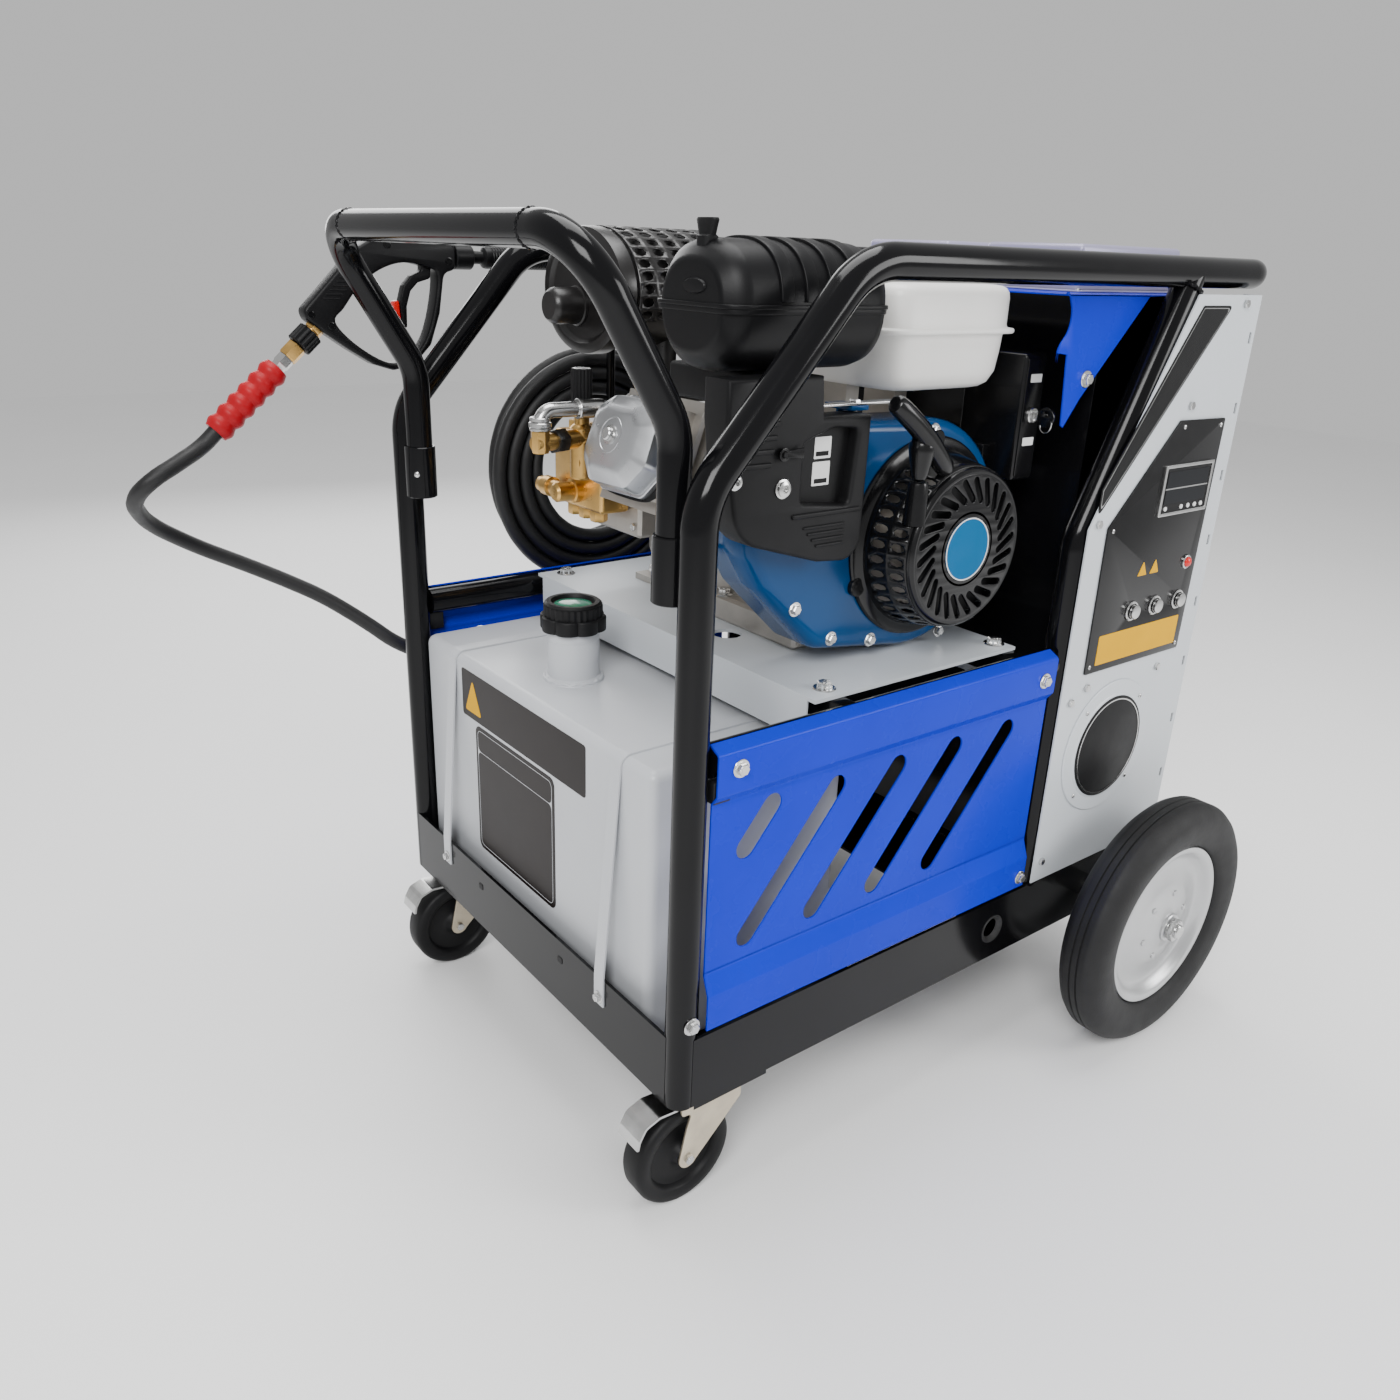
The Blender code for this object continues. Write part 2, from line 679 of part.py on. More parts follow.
def lance_clips():
    """Bent rods on the far rail that the lance lies in, and the hook of the hose coil."""
    rods = []
    low = LANCE_HEIGHT - LANCE_RADIUS - CLIP_ROD - FIT
    outer = GUN_Y + LANCE_RADIUS + CLIP_ROD + 0.002
    for x in CLIP_PLACES:
        rods.append(tube(bent([(x, FRAME_WIDTH - TUBE_RADIUS / 2, RAIL_HEIGHT - 0.006),
                               (x, FRAME_WIDTH + 0.018, low),
                               (x, outer, low),
                               (x, outer, LANCE_HEIGHT + 0.006)], 0.006, 2), CLIP_ROD, 1))
    inner = COIL_HANG_INNER - CLIMB_TUCK - HOSE_RADIUS
    hook = COIL_HANG_Z + inner - HOOK_ROD - 0.0012
    reach = FRAME_WIDTH + LAYER_OFFSET + LAYER_PITCH + HOSE_RADIUS + 0.015
    rods.append(tube(bent([(COIL_HANG_X, FRAME_WIDTH - TUBE_RADIUS, RAIL_HEIGHT),
                           (COIL_HANG_X, FRAME_WIDTH - TUBE_RADIUS, hook),
                           (COIL_HANG_X, reach, hook),
                           (COIL_HANG_X, reach, hook + 0.022)], 0.010, 2), HOOK_ROD, 1))
    return rods


def make_cage():
    """Near and far halves of the cage."""
    near = cage_tubes()
    far = united(far_copy(near), *lance_clips())
    part("near_cage_tube", near, "black_enamel")
    part("far_cage_tube", far, "black_enamel")


def make_subframe():
    """Middle rails between the posts, with the cross rails that carry the engine."""
    front = TUBE_RADIUS * 2 + FIT
    rear = SIDE_POST_X - TUBE_RADIUS - FIT
    rails = [rod((front, y, MID_RAIL_HEIGHT), (rear, y, MID_RAIL_HEIGHT), TUBE_RADIUS)
             for y in (TUBE_RADIUS, FRAME_WIDTH - TUBE_RADIUS)]
    half = CROSS_RAIL_WIDTH / 2
    bars = [block((x - half, TUBE_RADIUS, MID_RAIL_TOP - CROSS_RAIL_HEIGHT),
                  (x + half, FRAME_WIDTH - TUBE_RADIUS, MID_RAIL_TOP))
            for x in CROSS_RAIL_PLACES]
    part("engine_subframe", united(rails[0], rails[1], *bars), "black_enamel")


def make_handle():
    """Bow-shaped push handle whose legs stand in the sleeves."""
    near, far = HANDLE_INSET, FRAME_WIDTH - HANDLE_INSET
    foot = SLEEVE_BOTTOM + 0.004
    route = bent([(TUBE_RADIUS, near, foot),
                  (TUBE_RADIUS, near, HANDLE_KNEE),
                  (-HANDLE_REACH, near, HANDLE_HEIGHT),
                  (-HANDLE_REACH, far, HANDLE_HEIGHT),
                  (TUBE_RADIUS, far, HANDLE_KNEE),
                  (TUBE_RADIUS, far, foot)],
                 [0.07, HANDLE_BEND, HANDLE_BEND, 0.07])
    part("push_handle", tube(route, HANDLE_RADIUS), "black_enamel")


# ------------------------------------------------------------------------ sheet panels
def skirt():
    """Near skirt panel: proud top and foot bands round a recessed field with slots."""
    face = -(FIT * 2 + SHEET / 2)
    field = face + SKIRT_RECESS
    foot = SKIRT_BOTTOM
    profile = [SKIRT_TURN,
               (face, SKIRT_TOP),
               (face, SKIRT_TOP - SKIRT_BAND),
               (field, SKIRT_TOP - SKIRT_BAND - 0.010),
               (field, foot + SKIRT_FOOT + SKIRT_SLOPE),
               (face, foot + SKIRT_FOOT),
               (face, foot)]
    front = TUBE_RADIUS * 2 + FIT * 3
    sheet = shell_along(profile, front, SKIRT_REAR, SHEET)
    outlines = [slot_points((FIRST_SLOT_X + SLOT_PITCH * i, SLOT_HEIGHT),
                            SLOT_SPAN, SLOT_WIDTH, SLOT_ANGLE) for i in range(SLOT_COUNT)]
    outlines.append(slot_points((SHORT_SLOT_X, SHORT_SLOT_HEIGHT), SHORT_SLOT_SPAN,
                                SLOT_WIDTH, SLOT_ANGLE))
    cutters = [plate(outline, -0.03, 0.05) for outline in outlines]
    return cut(sheet, *cutters)


def make_skirts():
    """Blue skirt panels of both sides."""
    near = skirt()
    far = far_copy(near)
    part("near_skirt_panel", near, "blue_enamel")
    part("far_skirt_panel", far, "blue_enamel")


def make_engine_plate():
    """Folded plate that carries the engine and pump."""
    low, high = PLATE_INSET, FRAME_WIDTH - PLATE_INSET
    sheet = block((PLATE_FRONT, low, PLATE_BOTTOM), (PLATE_REAR, high, PLATE_TOP))
    inset = 0.012
    front = block((PLATE_FRONT, low + inset, PLATE_TOP - PLATE_FLANGE),
                  (PLATE_FRONT + SHEET, high - inset, PLATE_TOP - PLATE_THICKNESS / 2))
    rear = block((PLATE_REAR - SHEET, low + inset, PLATE_TOP - PLATE_FLANGE),
                 (PLATE_REAR, high - inset, PLATE_TOP - PLATE_THICKNESS / 2))
    hole = rod((0.249, 0.254, 0.5), (0.249, 0.254, 0.6), PLATE_HOLE_RADIUS)
    corners = [(x, y, PLATE_TOP) for x in CROSS_RAIL_PLACES
               for y in (low + PLATE_BOLT_INSET, high - PLATE_BOLT_INSET)]
    bolts = hex_heads(corners, (0, 0, 1), 0.008, 0.006)
    part("engine_plate", united(cut(united(sheet, front, rear), hole), *bolts), "grey_enamel")


def make_diesel_tank():
    """Welded diesel tank with its filler neck, hold-down straps and cap."""
    body = block((TANK_FRONT, TANK_NEAR, TANK_BOTTOM),
                 (TANK_REAR, TANK_NEAR + TANK_WIDTH, TANK_TOP), TANK_ROUNDING, 2)
    neck_top = TANK_TOP + NECK_HEIGHT
    neck = turned([(0, neck_top), (NECK_RADIUS, neck_top), (NECK_RADIUS, TANK_TOP + 0.006),
                   (NECK_RADIUS + 0.006, TANK_TOP - 0.001), (0, TANK_TOP - 0.001)],
                  (NECK_X, NECK_Y, 0), (0, 0, 1), 16)
    part("diesel_tank", united(body, neck), "grey_enamel")

    straps = []
    gap = FIT + SHEET / 2
    crown = TANK_TOP + gap
    for y in STRAP_PLACES:
        profile = [(-gap, BASE_TOP - 0.033),
                   (-gap, BASE_TOP + 0.002),
                   (TANK_FRONT - gap, TANK_TOP - TANK_ROUNDING),
                   (TANK_FRONT + TANK_ROUNDING * 0.29 - gap * 0.7,
                    TANK_TOP - TANK_ROUNDING * 0.29 + gap * 0.7),
                   (TANK_FRONT + TANK_ROUNDING, crown),
                   (TANK_REAR - TANK_ROUNDING, crown),
                   (TANK_REAR - TANK_ROUNDING * 0.29 + gap * 0.7,
                    TANK_TOP - TANK_ROUNDING * 0.29 + gap * 0.7),
                   (TANK_REAR + gap, TANK_TOP - TANK_ROUNDING),
                   (TANK_REAR + gap, TANK_BOTTOM)]
        straps.append(shell_along(profile, y - STRAP_WIDTH / 2, y + STRAP_WIDTH / 2,
                                  SHEET, "y"))
    rear = TANK_REAR + gap
    cross = block((rear - SHEET / 2, STRAP_PLACES[0], TANK_BOTTOM + 0.006),
                  (rear + SHEET / 2, STRAP_PLACES[1], TANK_BOTTOM + 0.006 + STRAP_WIDTH))
    part("tank_straps", united(straps[0], straps[1], cross), "grey_enamel")

    cap_base = neck_top + FIT
    lower = cap_base + CAP_HEIGHT * 0.5
    top = cap_base + CAP_HEIGHT
    lobes = []
    for i in range(CAP_LOBES):
        middle = 360 * i / CAP_LOBES
        lobes += arc((NECK_X, NECK_Y), CAP_RADIUS, middle - 13, middle + 13, 1)
        lobes += arc((NECK_X, NECK_Y), CAP_RADIUS - 0.003, middle + 20, middle + 25, 1)
    grip = plate(lobes, cap_base, lower, "top")
    crown_radius = CAP_RADIUS - 0.005
    crown = turned([(0, top - 0.003), (crown_radius - 0.006, top - 0.003),
                    (crown_radius - 0.006, top), (crown_radius - 0.001, top),
                    (crown_radius, top - 0.002), (crown_radius, lower - 0.003),
                    (0, lower - 0.003)], (NECK_X, NECK_Y, 0), (0, 0, 1), 16)
    part("tank_cap", united(grip, crown), "black_plastic", (NECK_X, NECK_Y, cap_base))


# ----------------------------------------------------------------------------- cabinet
def side_panel(holes):
    """Side panel of the cabinet with its rear fold, on the near side."""
    outline = [(PANEL_FRONT, PANEL_BOTTOM), (PANEL_REAR, PANEL_BOTTOM),
               (PANEL_REAR, PANEL_TOP), (PANEL_TOP_X, PANEL_TOP), (PANEL_FRONT, PANEL_KNEE)]
    vents = [slot_points((PANEL_REAR - VENT_INSET, VENT_LOW + VENT_PITCH * i), VENT_SPAN,
                         VENT_WIDTH, pi / 2, 1) for i in range(VENT_COUNT)]
    sheet = plate(outline, -PANEL_FACE, -FIT)
    fold = block((CABINET_REAR + FIT, -PANEL_FACE + SHEET / 2, PANEL_BOTTOM),
                 (PANEL_REAR, PANEL_FOLD, PANEL_TOP))
    cutters = [plate(hole, -0.01, -FIT / 2) for hole in (*holes, *vents)]
    return cut(united(sheet, fold), *cutters)


def control_outline():
    """Outline of the black control plate."""
    return [(0.603, 0.521), (0.807, 0.521), (0.814, 0.818), (0.715, 0.820), (0.601, 0.703)]


def make_cabinet():
    """Casing, side panels, top cover with its two exhaust hoods, inspection cover."""
    buttons = [ring_points((x, BUTTON_HEIGHT), 0.0048, 10) for x in BUTTON_PLACES]
    window = ring_points((INSPECTION_X, INSPECTION_Z), INSPECTION_RADIUS - 0.022, 16)
    part("near_cabinet_panel", side_panel([*buttons, window]), "grey_enamel")
    outlet = ring_points((BOILER_X + COIL_RADIUS, COIL_TOP), COIL_TUBE_RADIUS + 0.0015)
    part("far_cabinet_panel", far_copy_and_drop(side_panel([outlet])), "grey_enamel")

    half = SHELL_SHEET / 2
    floor = SHELL_BOTTOM + half
    profile = [(CABINET_FRONT + half, SHELL_TOP), (CABINET_FRONT + half, floor),
               (CABINET_REAR - half, floor), (CABINET_REAR - half, SHELL_TOP)]
    shell = shell_along(profile, FIT, FRAME_WIDTH - FIT, SHELL_SHEET, "y")
    relief = COVER_INSET + SHEET + FIT
    corner_low = SIDE_POST_KNEE - 0.03
    slots = [block((CABINET_FRONT - 0.01, low, corner_low), (CABINET_FRONT + 0.01, high, 1))
             for low, high in ((-0.01, relief), (FRAME_WIDTH - relief, FRAME_WIDTH + 0.01))]
    feed_y = MIDDLE + COIL_RADIUS
    feed = rod((FEED_X, feed_y, COIL_BOTTOM), (BOILER_X - 0.05, feed_y, COIL_BOTTOM),
               COIL_TUBE_RADIUS + 0.0015)
    part("cabinet_shell", cut(shell, *slots, feed), "black_enamel")

    edge = COVER_INSET
    cover = block((COVER_FRONT, edge, COVER_BOTTOM),
                  (CABINET_REAR, FRAME_WIDTH - edge, COVER_TOP))
    drops = [(0, 0), (0.010, -0.012), (0.013, -0.024), (0.011, -0.036), (-0.002, -0.052),
             (-0.002, -0.060), (0.015, -0.062), (0.023, -0.140), (0.050, -0.110), (0.157, 0)]
    gusset = plate([(COVER_FRONT + x, COVER_TOP + z) for x, z in drops], edge, edge + SHEET)
    hoods, openings, hood_insides = [], [], []
    wall = Vector((SHEET, SHEET, SHEET))
    below = Vector((0, 0, 0.03))
    for y in HOOD_PLACES:
        low = Vector((HOOD_FRONT, y, COVER_TOP + FIT))
        high = Vector((HOOD_FRONT + HOOD_LENGTH, y + HOOD_WIDTH, COVER_TOP + HOOD_HEIGHT))
        hoods.append(block(low, high))
        hood_insides.append((low + wall - below, high - wall))
        openings.append(block(low + wall * 5 - below, high - wall * 5))
    part("top_cover", cut(united(cover, gusset, far_copy(gusset)), *openings), "blue_enamel")
    flange = block((HOOD_FRONT - 0.012, HOOD_PLACES[0] - 0.012, COVER_TOP + FIT),
                   (HOOD_FRONT + HOOD_LENGTH + 0.012, HOOD_PLACES[-1] + HOOD_WIDTH + 0.012,
                    COVER_TOP + FIT + SHEET))
    windows = [block(low, high) for low, high in hood_insides]
    part("exhaust_hoods", cut(united(flange, *hoods), *windows), "grey_enamel")

    rim = INSPECTION_RADIUS
    disc = turned([(0, 0.0035), (rim - 0.020, 0.0035), (rim - 0.018, 0.002),
                   (rim - 0.001, 0.002), (rim, 0.001), (rim, 0), (0, 0)],
                  (INSPECTION_X, -PANEL_FACE - FIT, INSPECTION_Z), (0, -1, 0), 24)
    part("inspection_cover", disc, "grey_enamel")


def far_copy_and_drop(shape):
    """Mirror a shape to the far side and drop the near one."""
    twin = far_copy(shape)
    bpy.data.objects.remove(shape, do_unlink=True)
    return twin


def make_controls():
    """Control plate with its display and lamp, and the three push buttons."""
    face = -PANEL_FACE - FIT
    front = face - SHEET
    bores = [ring_points((x, BUTTON_HEIGHT), 0.0048, 10) for x in BUTTON_PLACES]
    sheet = plate(control_outline(), front, face, "side", bores)
    raised = [block((0.698, front - 0.003, 0.708), (0.801, front + 0.001, 0.767)),
              rod((0.787, front + 0.001, 0.640), (0.787, front - 0.006, 0.640), 0.0065)]
    part("control_plate", united(sheet, *raised), "black_plastic")

    rest = BUTTON_TRAVEL + 2 * FIT
    head = 0.0045
    for name, x in zip(("start_button", "stop_button", "burner_button"), BUTTON_PLACES):
        stem = PANEL_FACE + FIT + SHEET + rest + 0.010
        profile = [(0, head), (BUTTON_RADIUS - 0.001, head), (BUTTON_RADIUS, head - 0.001),
                   (BUTTON_RADIUS, 0), (0.0042, 0), (0.0042, -stem), (0, -stem)]
        seat = (x, front - rest, BUTTON_HEIGHT)
        part(name, turned(profile, seat, (0, -1, 0), 10), "bright_steel", seat)


# ------------------------------------------------------------------------------ boiler
def make_boiler():
    """Boiler drum, the coil in it, and the burner with its fan on top."""
    wall = 0.003
    centre = (BOILER_X, MIDDLE, 0)
    port = 0.030
    inner = BOILER_RADIUS - wall
    drum = turned([(0, BOILER_BOTTOM + wall), (inner, BOILER_BOTTOM + wall),
                   (inner, BOILER_TOP - wall), (port, BOILER_TOP - wall), (port, BOILER_TOP),
                   (BOILER_RADIUS, BOILER_TOP), (BOILER_RADIUS, BOILER_BOTTOM),
                   (0, BOILER_BOTTOM)], centre, (0, 0, 1), 16)
    flue_y = MIDDLE + BOILER_RADIUS - 0.035
    flue = rod((BOILER_X, flue_y, BOILER_TOP - 0.002), (BOILER_X, flue_y, COVER_BOTTOM - 0.02),
               0.024, 16)
    bore = rod((BOILER_X, flue_y, BOILER_TOP - 0.02), (BOILER_X, flue_y, 1), 0.021, 16)
    hole = COIL_TUBE_RADIUS + 0.0015
    feed_y = MIDDLE + COIL_RADIUS
    feed = rod((BOILER_X - 0.16, feed_y, COIL_BOTTOM), (BOILER_X - 0.03, feed_y, COIL_BOTTOM),
               hole)
    exit_x = BOILER_X + COIL_RADIUS
    leave = rod((exit_x, MIDDLE + 0.03, COIL_TOP), (exit_x, MIDDLE + 0.16, COIL_TOP), hole)
    part("boiler_drum", cut(united(drum, flue), bore, feed, leave), "hot_steel")

    steps = 12
    total = round(COIL_TURNS * steps)
    helix = []
    for i in range(total + 1):
        angle = pi / 2 + 2 * pi * i / steps
        height = COIL_BOTTOM + (COIL_TOP - COIL_BOTTOM) * i / total
        helix.append(Vector((BOILER_X + COIL_RADIUS * cos(angle),
                             MIDDLE + COIL_RADIUS * sin(angle), height)))
    bend = 0.028
    start = bent([(FEED_X, feed_y, COIL_BOTTOM + 0.05), (FEED_X, feed_y, COIL_BOTTOM),
                  (BOILER_X - 0.02, feed_y, COIL_BOTTOM)], bend, 4)
    outlet_y = FRAME_WIDTH + OUTLET_OFFSET
    finish = [Vector((exit_x, outlet_y, COIL_TOP))]
    collar = rod((exit_x, FRAME_WIDTH + PANEL_FACE + FIT, COIL_TOP),
                 (exit_x, FRAME_WIDTH + 0.014, COIL_TOP), 0.015, 6)
    elbow = rod((exit_x + 0.010, outlet_y, COIL_TOP), (exit_x - OUTLET_ELBOW, outlet_y, COIL_TOP),
                0.0125, 14)
    wound = tube(start + helix + finish, COIL_TUBE_RADIUS, 1)
    part("heating_coil", united(wound, collar, elbow), "brass")

    seat = BOILER_TOP + FIT
    fan_z = COVER_BOTTOM - 0.055
    throat = rod((BOILER_X, MIDDLE, seat), (BOILER_X, MIDDLE, fan_z), 0.036)
    flange = rod((BOILER_X, MIDDLE, seat), (BOILER_X, MIDDLE, seat + 0.005), 0.044)
    fan = rod((BOILER_X, MIDDLE - 0.045, fan_z), (BOILER_X, MIDDLE + 0.010, fan_z), 0.050, 16)
    motor = rod((BOILER_X, MIDDLE - 0.120, fan_z), (BOILER_X, MIDDLE - 0.040, fan_z), 0.030)
    part("burner_blower", united(throat, flange, fan, motor), "engine_blue")


# ------------------------------------------------------------------------------ engine
def tilt(shape):
    """Turn a shape about the crank axis from level to the cylinder's slope."""
    crank = Matrix.Translation((CRANK_X, 0, CRANK_Z))
    return moved(shape, crank @ Matrix.Rotation(CYLINDER_TILT, 4, "Y") @ crank.inverted())


def make_engine_block():
    """Crankcase with feet, finned cylinder and head, and the rocker cover on it."""
    feet = block((CRANK_X - 0.124, CASE_NEAR, CASE_BOTTOM),
                 (CRANK_X + 0.104, CASE_FAR - 0.003, CASE_BOTTOM + 0.032), 0.004, 1)
    case = block((CRANK_X - 0.106, CASE_NEAR, CASE_BOTTOM + 0.020),
                 (CRANK_X + 0.094, CASE_FAR, CRANK_Z + 0.090), 0.012, 1)
    head_end = CRANK_X - HEAD_REACH
    cylinder = [block((head_end, CYLINDER_NEAR + FIN_DEPTH, CRANK_Z - CYLINDER_HALF),
                      (CRANK_X - 0.07, CASE_FAR - 0.002, CRANK_Z + CYLINDER_HALF))]
    for i in range(FIN_COUNT):
        x = head_end + FIN_THICKNESS + 0.010 + FIN_PITCH * i
        cylinder.append(block((x, CYLINDER_NEAR, CRANK_Z - CYLINDER_HALF - FIN_DEPTH),
                              (x + FIN_THICKNESS, CYLINDER_FAR,
                               CRANK_Z + CYLINDER_HALF + FIN_DEPTH)))
    cylinder = tilt(united(*cylinder))
    stays = [block((x, 0.205, CRANK_Z + 0.08), (x + 0.02, 0.255, FUEL_TANK_BOTTOM - FIT))
             for x in (CRANK_X - 0.03, CRANK_X + 0.05)]
    bore = rod((CRANK_X, 0, CRANK_Z), (CRANK_X, 0.6, CRANK_Z), round_clear(SHAFT_RADIUS))
    seats = [(x, y, CASE_BOTTOM + 0.032) for x in (CRANK_X - 0.115, CRANK_X + 0.099)
             for y in (0.188, 0.302)]
    bolts = hex_heads(seats, (0, 0, 1), 0.007, 0.006)
    part("crankcase", cut(united(feet, case, cylinder, *stays, *bolts), bore), "cast_aluminium")

    inner = head_end - FIT
    cover = block((inner - 0.041, 0.236, CRANK_Z - 0.050), (inner + 0.03, 0.362, CRANK_Z + 0.050),
                  0.016, 3)
    trim = block((inner, 0.2, CRANK_Z - 0.1), (inner + 0.05, 0.4, CRANK_Z + 0.1))
    flange = block((inner - 0.006, 0.231, CRANK_Z - 0.055), (inner, 0.367, CRANK_Z + 0.055))
    boss = rod((inner - 0.038, 0.300, CRANK_Z), (inner - 0.046, 0.300, CRANK_Z), 0.007, 6)
    part("valve_cover", tilt(united(cut(cover, trim), flange, boss)), "bright_steel")


def blower_outline(grow=0.0):
    """Outline of the fan housing: a drum round the crank and a duct to the cylinder."""
    centre = (CRANK_X, CRANK_Z)
    points = arc(centre, BLOWER_RADIUS - grow, 92, -100, 12)
    duct = [(-0.150, -0.108), (-0.232, -0.030), (-0.256, 0.010), (-0.252, 0.085),
            (-0.140, 0.132)]
    scale = 1 - grow / 0.16
    points += [(CRANK_X + x * scale, CRANK_Z + z * scale) for x, z in duct]
    return points


def make_cooling():
    """Fan housing, flywheel with the crankshaft, recoil cover and its grip."""
    wall = 0.0025
    mouth = ring_points((CRANK_X, CRANK_Z), FLYWHEEL_RADIUS + 0.006, 16)
    face = plate(blower_outline(), BLOWER_NEAR, BLOWER_NEAR + wall, "side", [mouth])
    band = plate(blower_outline(), BLOWER_NEAR + wall / 2, CASE_NEAR - FIT, "side",
                 [blower_outline(wall)])
    pad_top = CRANK_Z + 0.152
    pad = block((0.252, BLOWER_NEAR - 0.020, pad_top - 0.006), (0.276, BLOWER_NEAR + 0.02, pad_top))
    web = block((0.252, BLOWER_NEAR, CRANK_Z + 0.10), (0.276, BLOWER_NEAR + 0.002, pad_top))
    part("blower_housing", united(face, band, pad, web), "engine_blue")

    blades, count = [], 10
    for i in range(count):
        angle = 360 * i / count
        centre = (CRANK_X, CRANK_Z)
        blades += arc(centre, FLYWHEEL_RADIUS, angle - 4, angle + 4, 1)
        blades += arc(centre, FLYWHEEL_RADIUS - 0.020, angle + 9, angle + 13, 1)
    fan = plate(blades, BLOWER_NEAR + 0.012, BLOWER_NEAR + 0.040)
    shaft = rod((CRANK_X, BLOWER_NEAR + 0.004, CRANK_Z), (CRANK_X, PUMP_FAR - 0.06, CRANK_Z),
                SHAFT_RADIUS)
    cup = rod((CRANK_X, BLOWER_NEAR - 0.008, CRANK_Z), (CRANK_X, BLOWER_NEAR + 0.02, CRANK_Z),
              0.040, 14)
    part("flywheel_and_crankshaft", united(fan, shaft, cup), "cast_aluminium", (CRANK_X, 0.2, CRANK_Z))

    depth = BLOWER_NEAR - FIT - RECOIL_FRONT
    skin = 0.003
    rim, front = RECOIL_FLANGE_RADIUS, RECOIL_RADIUS
    profile = [(0, depth), (front - 0.006, depth), (front, depth - 0.006), (front + 0.010, 0.014),
               (rim - 0.006, 0.004), (rim, 0.004), (rim, 0), (rim - 0.010, 0),
               (front + 0.006, 0.012), (front - skin, depth - 0.008),
               (front - 0.008, depth - skin), (0, depth - skin)]
    cover = turned(profile, (CRANK_X, BLOWER_NEAR - FIT, CRANK_Z), (0, -1, 0), 20)
    vents = []
    for i in range(VENT_SLOTS):
        angle = 2 * pi * i / VENT_SLOTS + 0.1
        vents.append(block((-0.019, -0.03, -0.004), (0.019, 0.03, 0.004)))
        place = (Matrix.Translation((CRANK_X, RECOIL_FRONT, CRANK_Z))
                 @ Matrix.Rotation(angle, 4, "Y") @ Matrix.Translation((0.061, 0, 0))
                 @ Matrix.Rotation(0.45, 4, "Y"))
        moved(vents[-1], place)
    hub = Vector((0.3200, RECOIL_FRONT + 0.012, 0.8190))
    seat = hub + Vector((0.0, 0, -0.045))
    guide = rod(seat - Vector((0, 0, 0.044)), seat - Vector((0, 0, FIT)), 0.011)
    part("recoil_cover", united(cut(cover, *vents), guide), "black_plastic")

    bar = tube([hub + Vector((-0.046, 0, 0.036)), hub + Vector((-0.02, -0.004, 0.017)),
                hub + Vector((0.016, -0.004, -0.014)), hub + Vector((0.040, 0, -0.036))],
               0.0105, 2)
    stem = rod(hub, seat, 0.012, 12, 0.008)
    part("recoil_grip", united(bar, stem), "black_plastic", tuple(hub))


def make_engine_tank():
    """White petrol tank with its seam and cap."""
    low = Vector((FUEL_TANK_FRONT, FUEL_TANK_NEAR, FUEL_TANK_BOTTOM))
    seam = FUEL_TANK_BOTTOM + FUEL_SEAM_HEIGHT
    rear, far = FUEL_TANK_FRONT + FUEL_TANK_LENGTH, FUEL_TANK_NEAR + FUEL_TANK_WIDTH
    top = FUEL_TANK_BOTTOM + FUEL_TANK_HEIGHT
    upper = block((low.x, low.y, seam - 0.02), (rear, far, top), 0.014, 2)
    upper = cut(upper, block((0, 0, 0), (1, 1, seam)))
    lower = block((low.x + 0.004, low.y + 0.004, low.z), (rear - 0.004, far - 0.004, seam + 0.02),
                  0.016, 1)
    for vertex in lower.data.vertices:
        if vertex.co.z < low.z + 0.02:
            vertex.co.x += (0.5 * (low.x + rear) - vertex.co.x) * 0.14
            vertex.co.y += (0.5 * (low.y + far) - vertex.co.y) * 0.10
    lower = cut(lower, block((0, 0, seam + 0.001), (1, 1, 2)))
    lip = plate(rounded_box_points((low.x - 0.007, low.y - 0.007), (rear + 0.007, far + 0.007),
                                   0.02), seam - 0.001, seam + 0.0025, "top")
    cap = rod((rear - 0.065, far - 0.075, top - 0.004), (rear - 0.065, far - 0.075, top + 0.020),
              0.030, 20)
    part("engine_fuel_tank", united(lip, lower, upper, cap), "white_plastic")


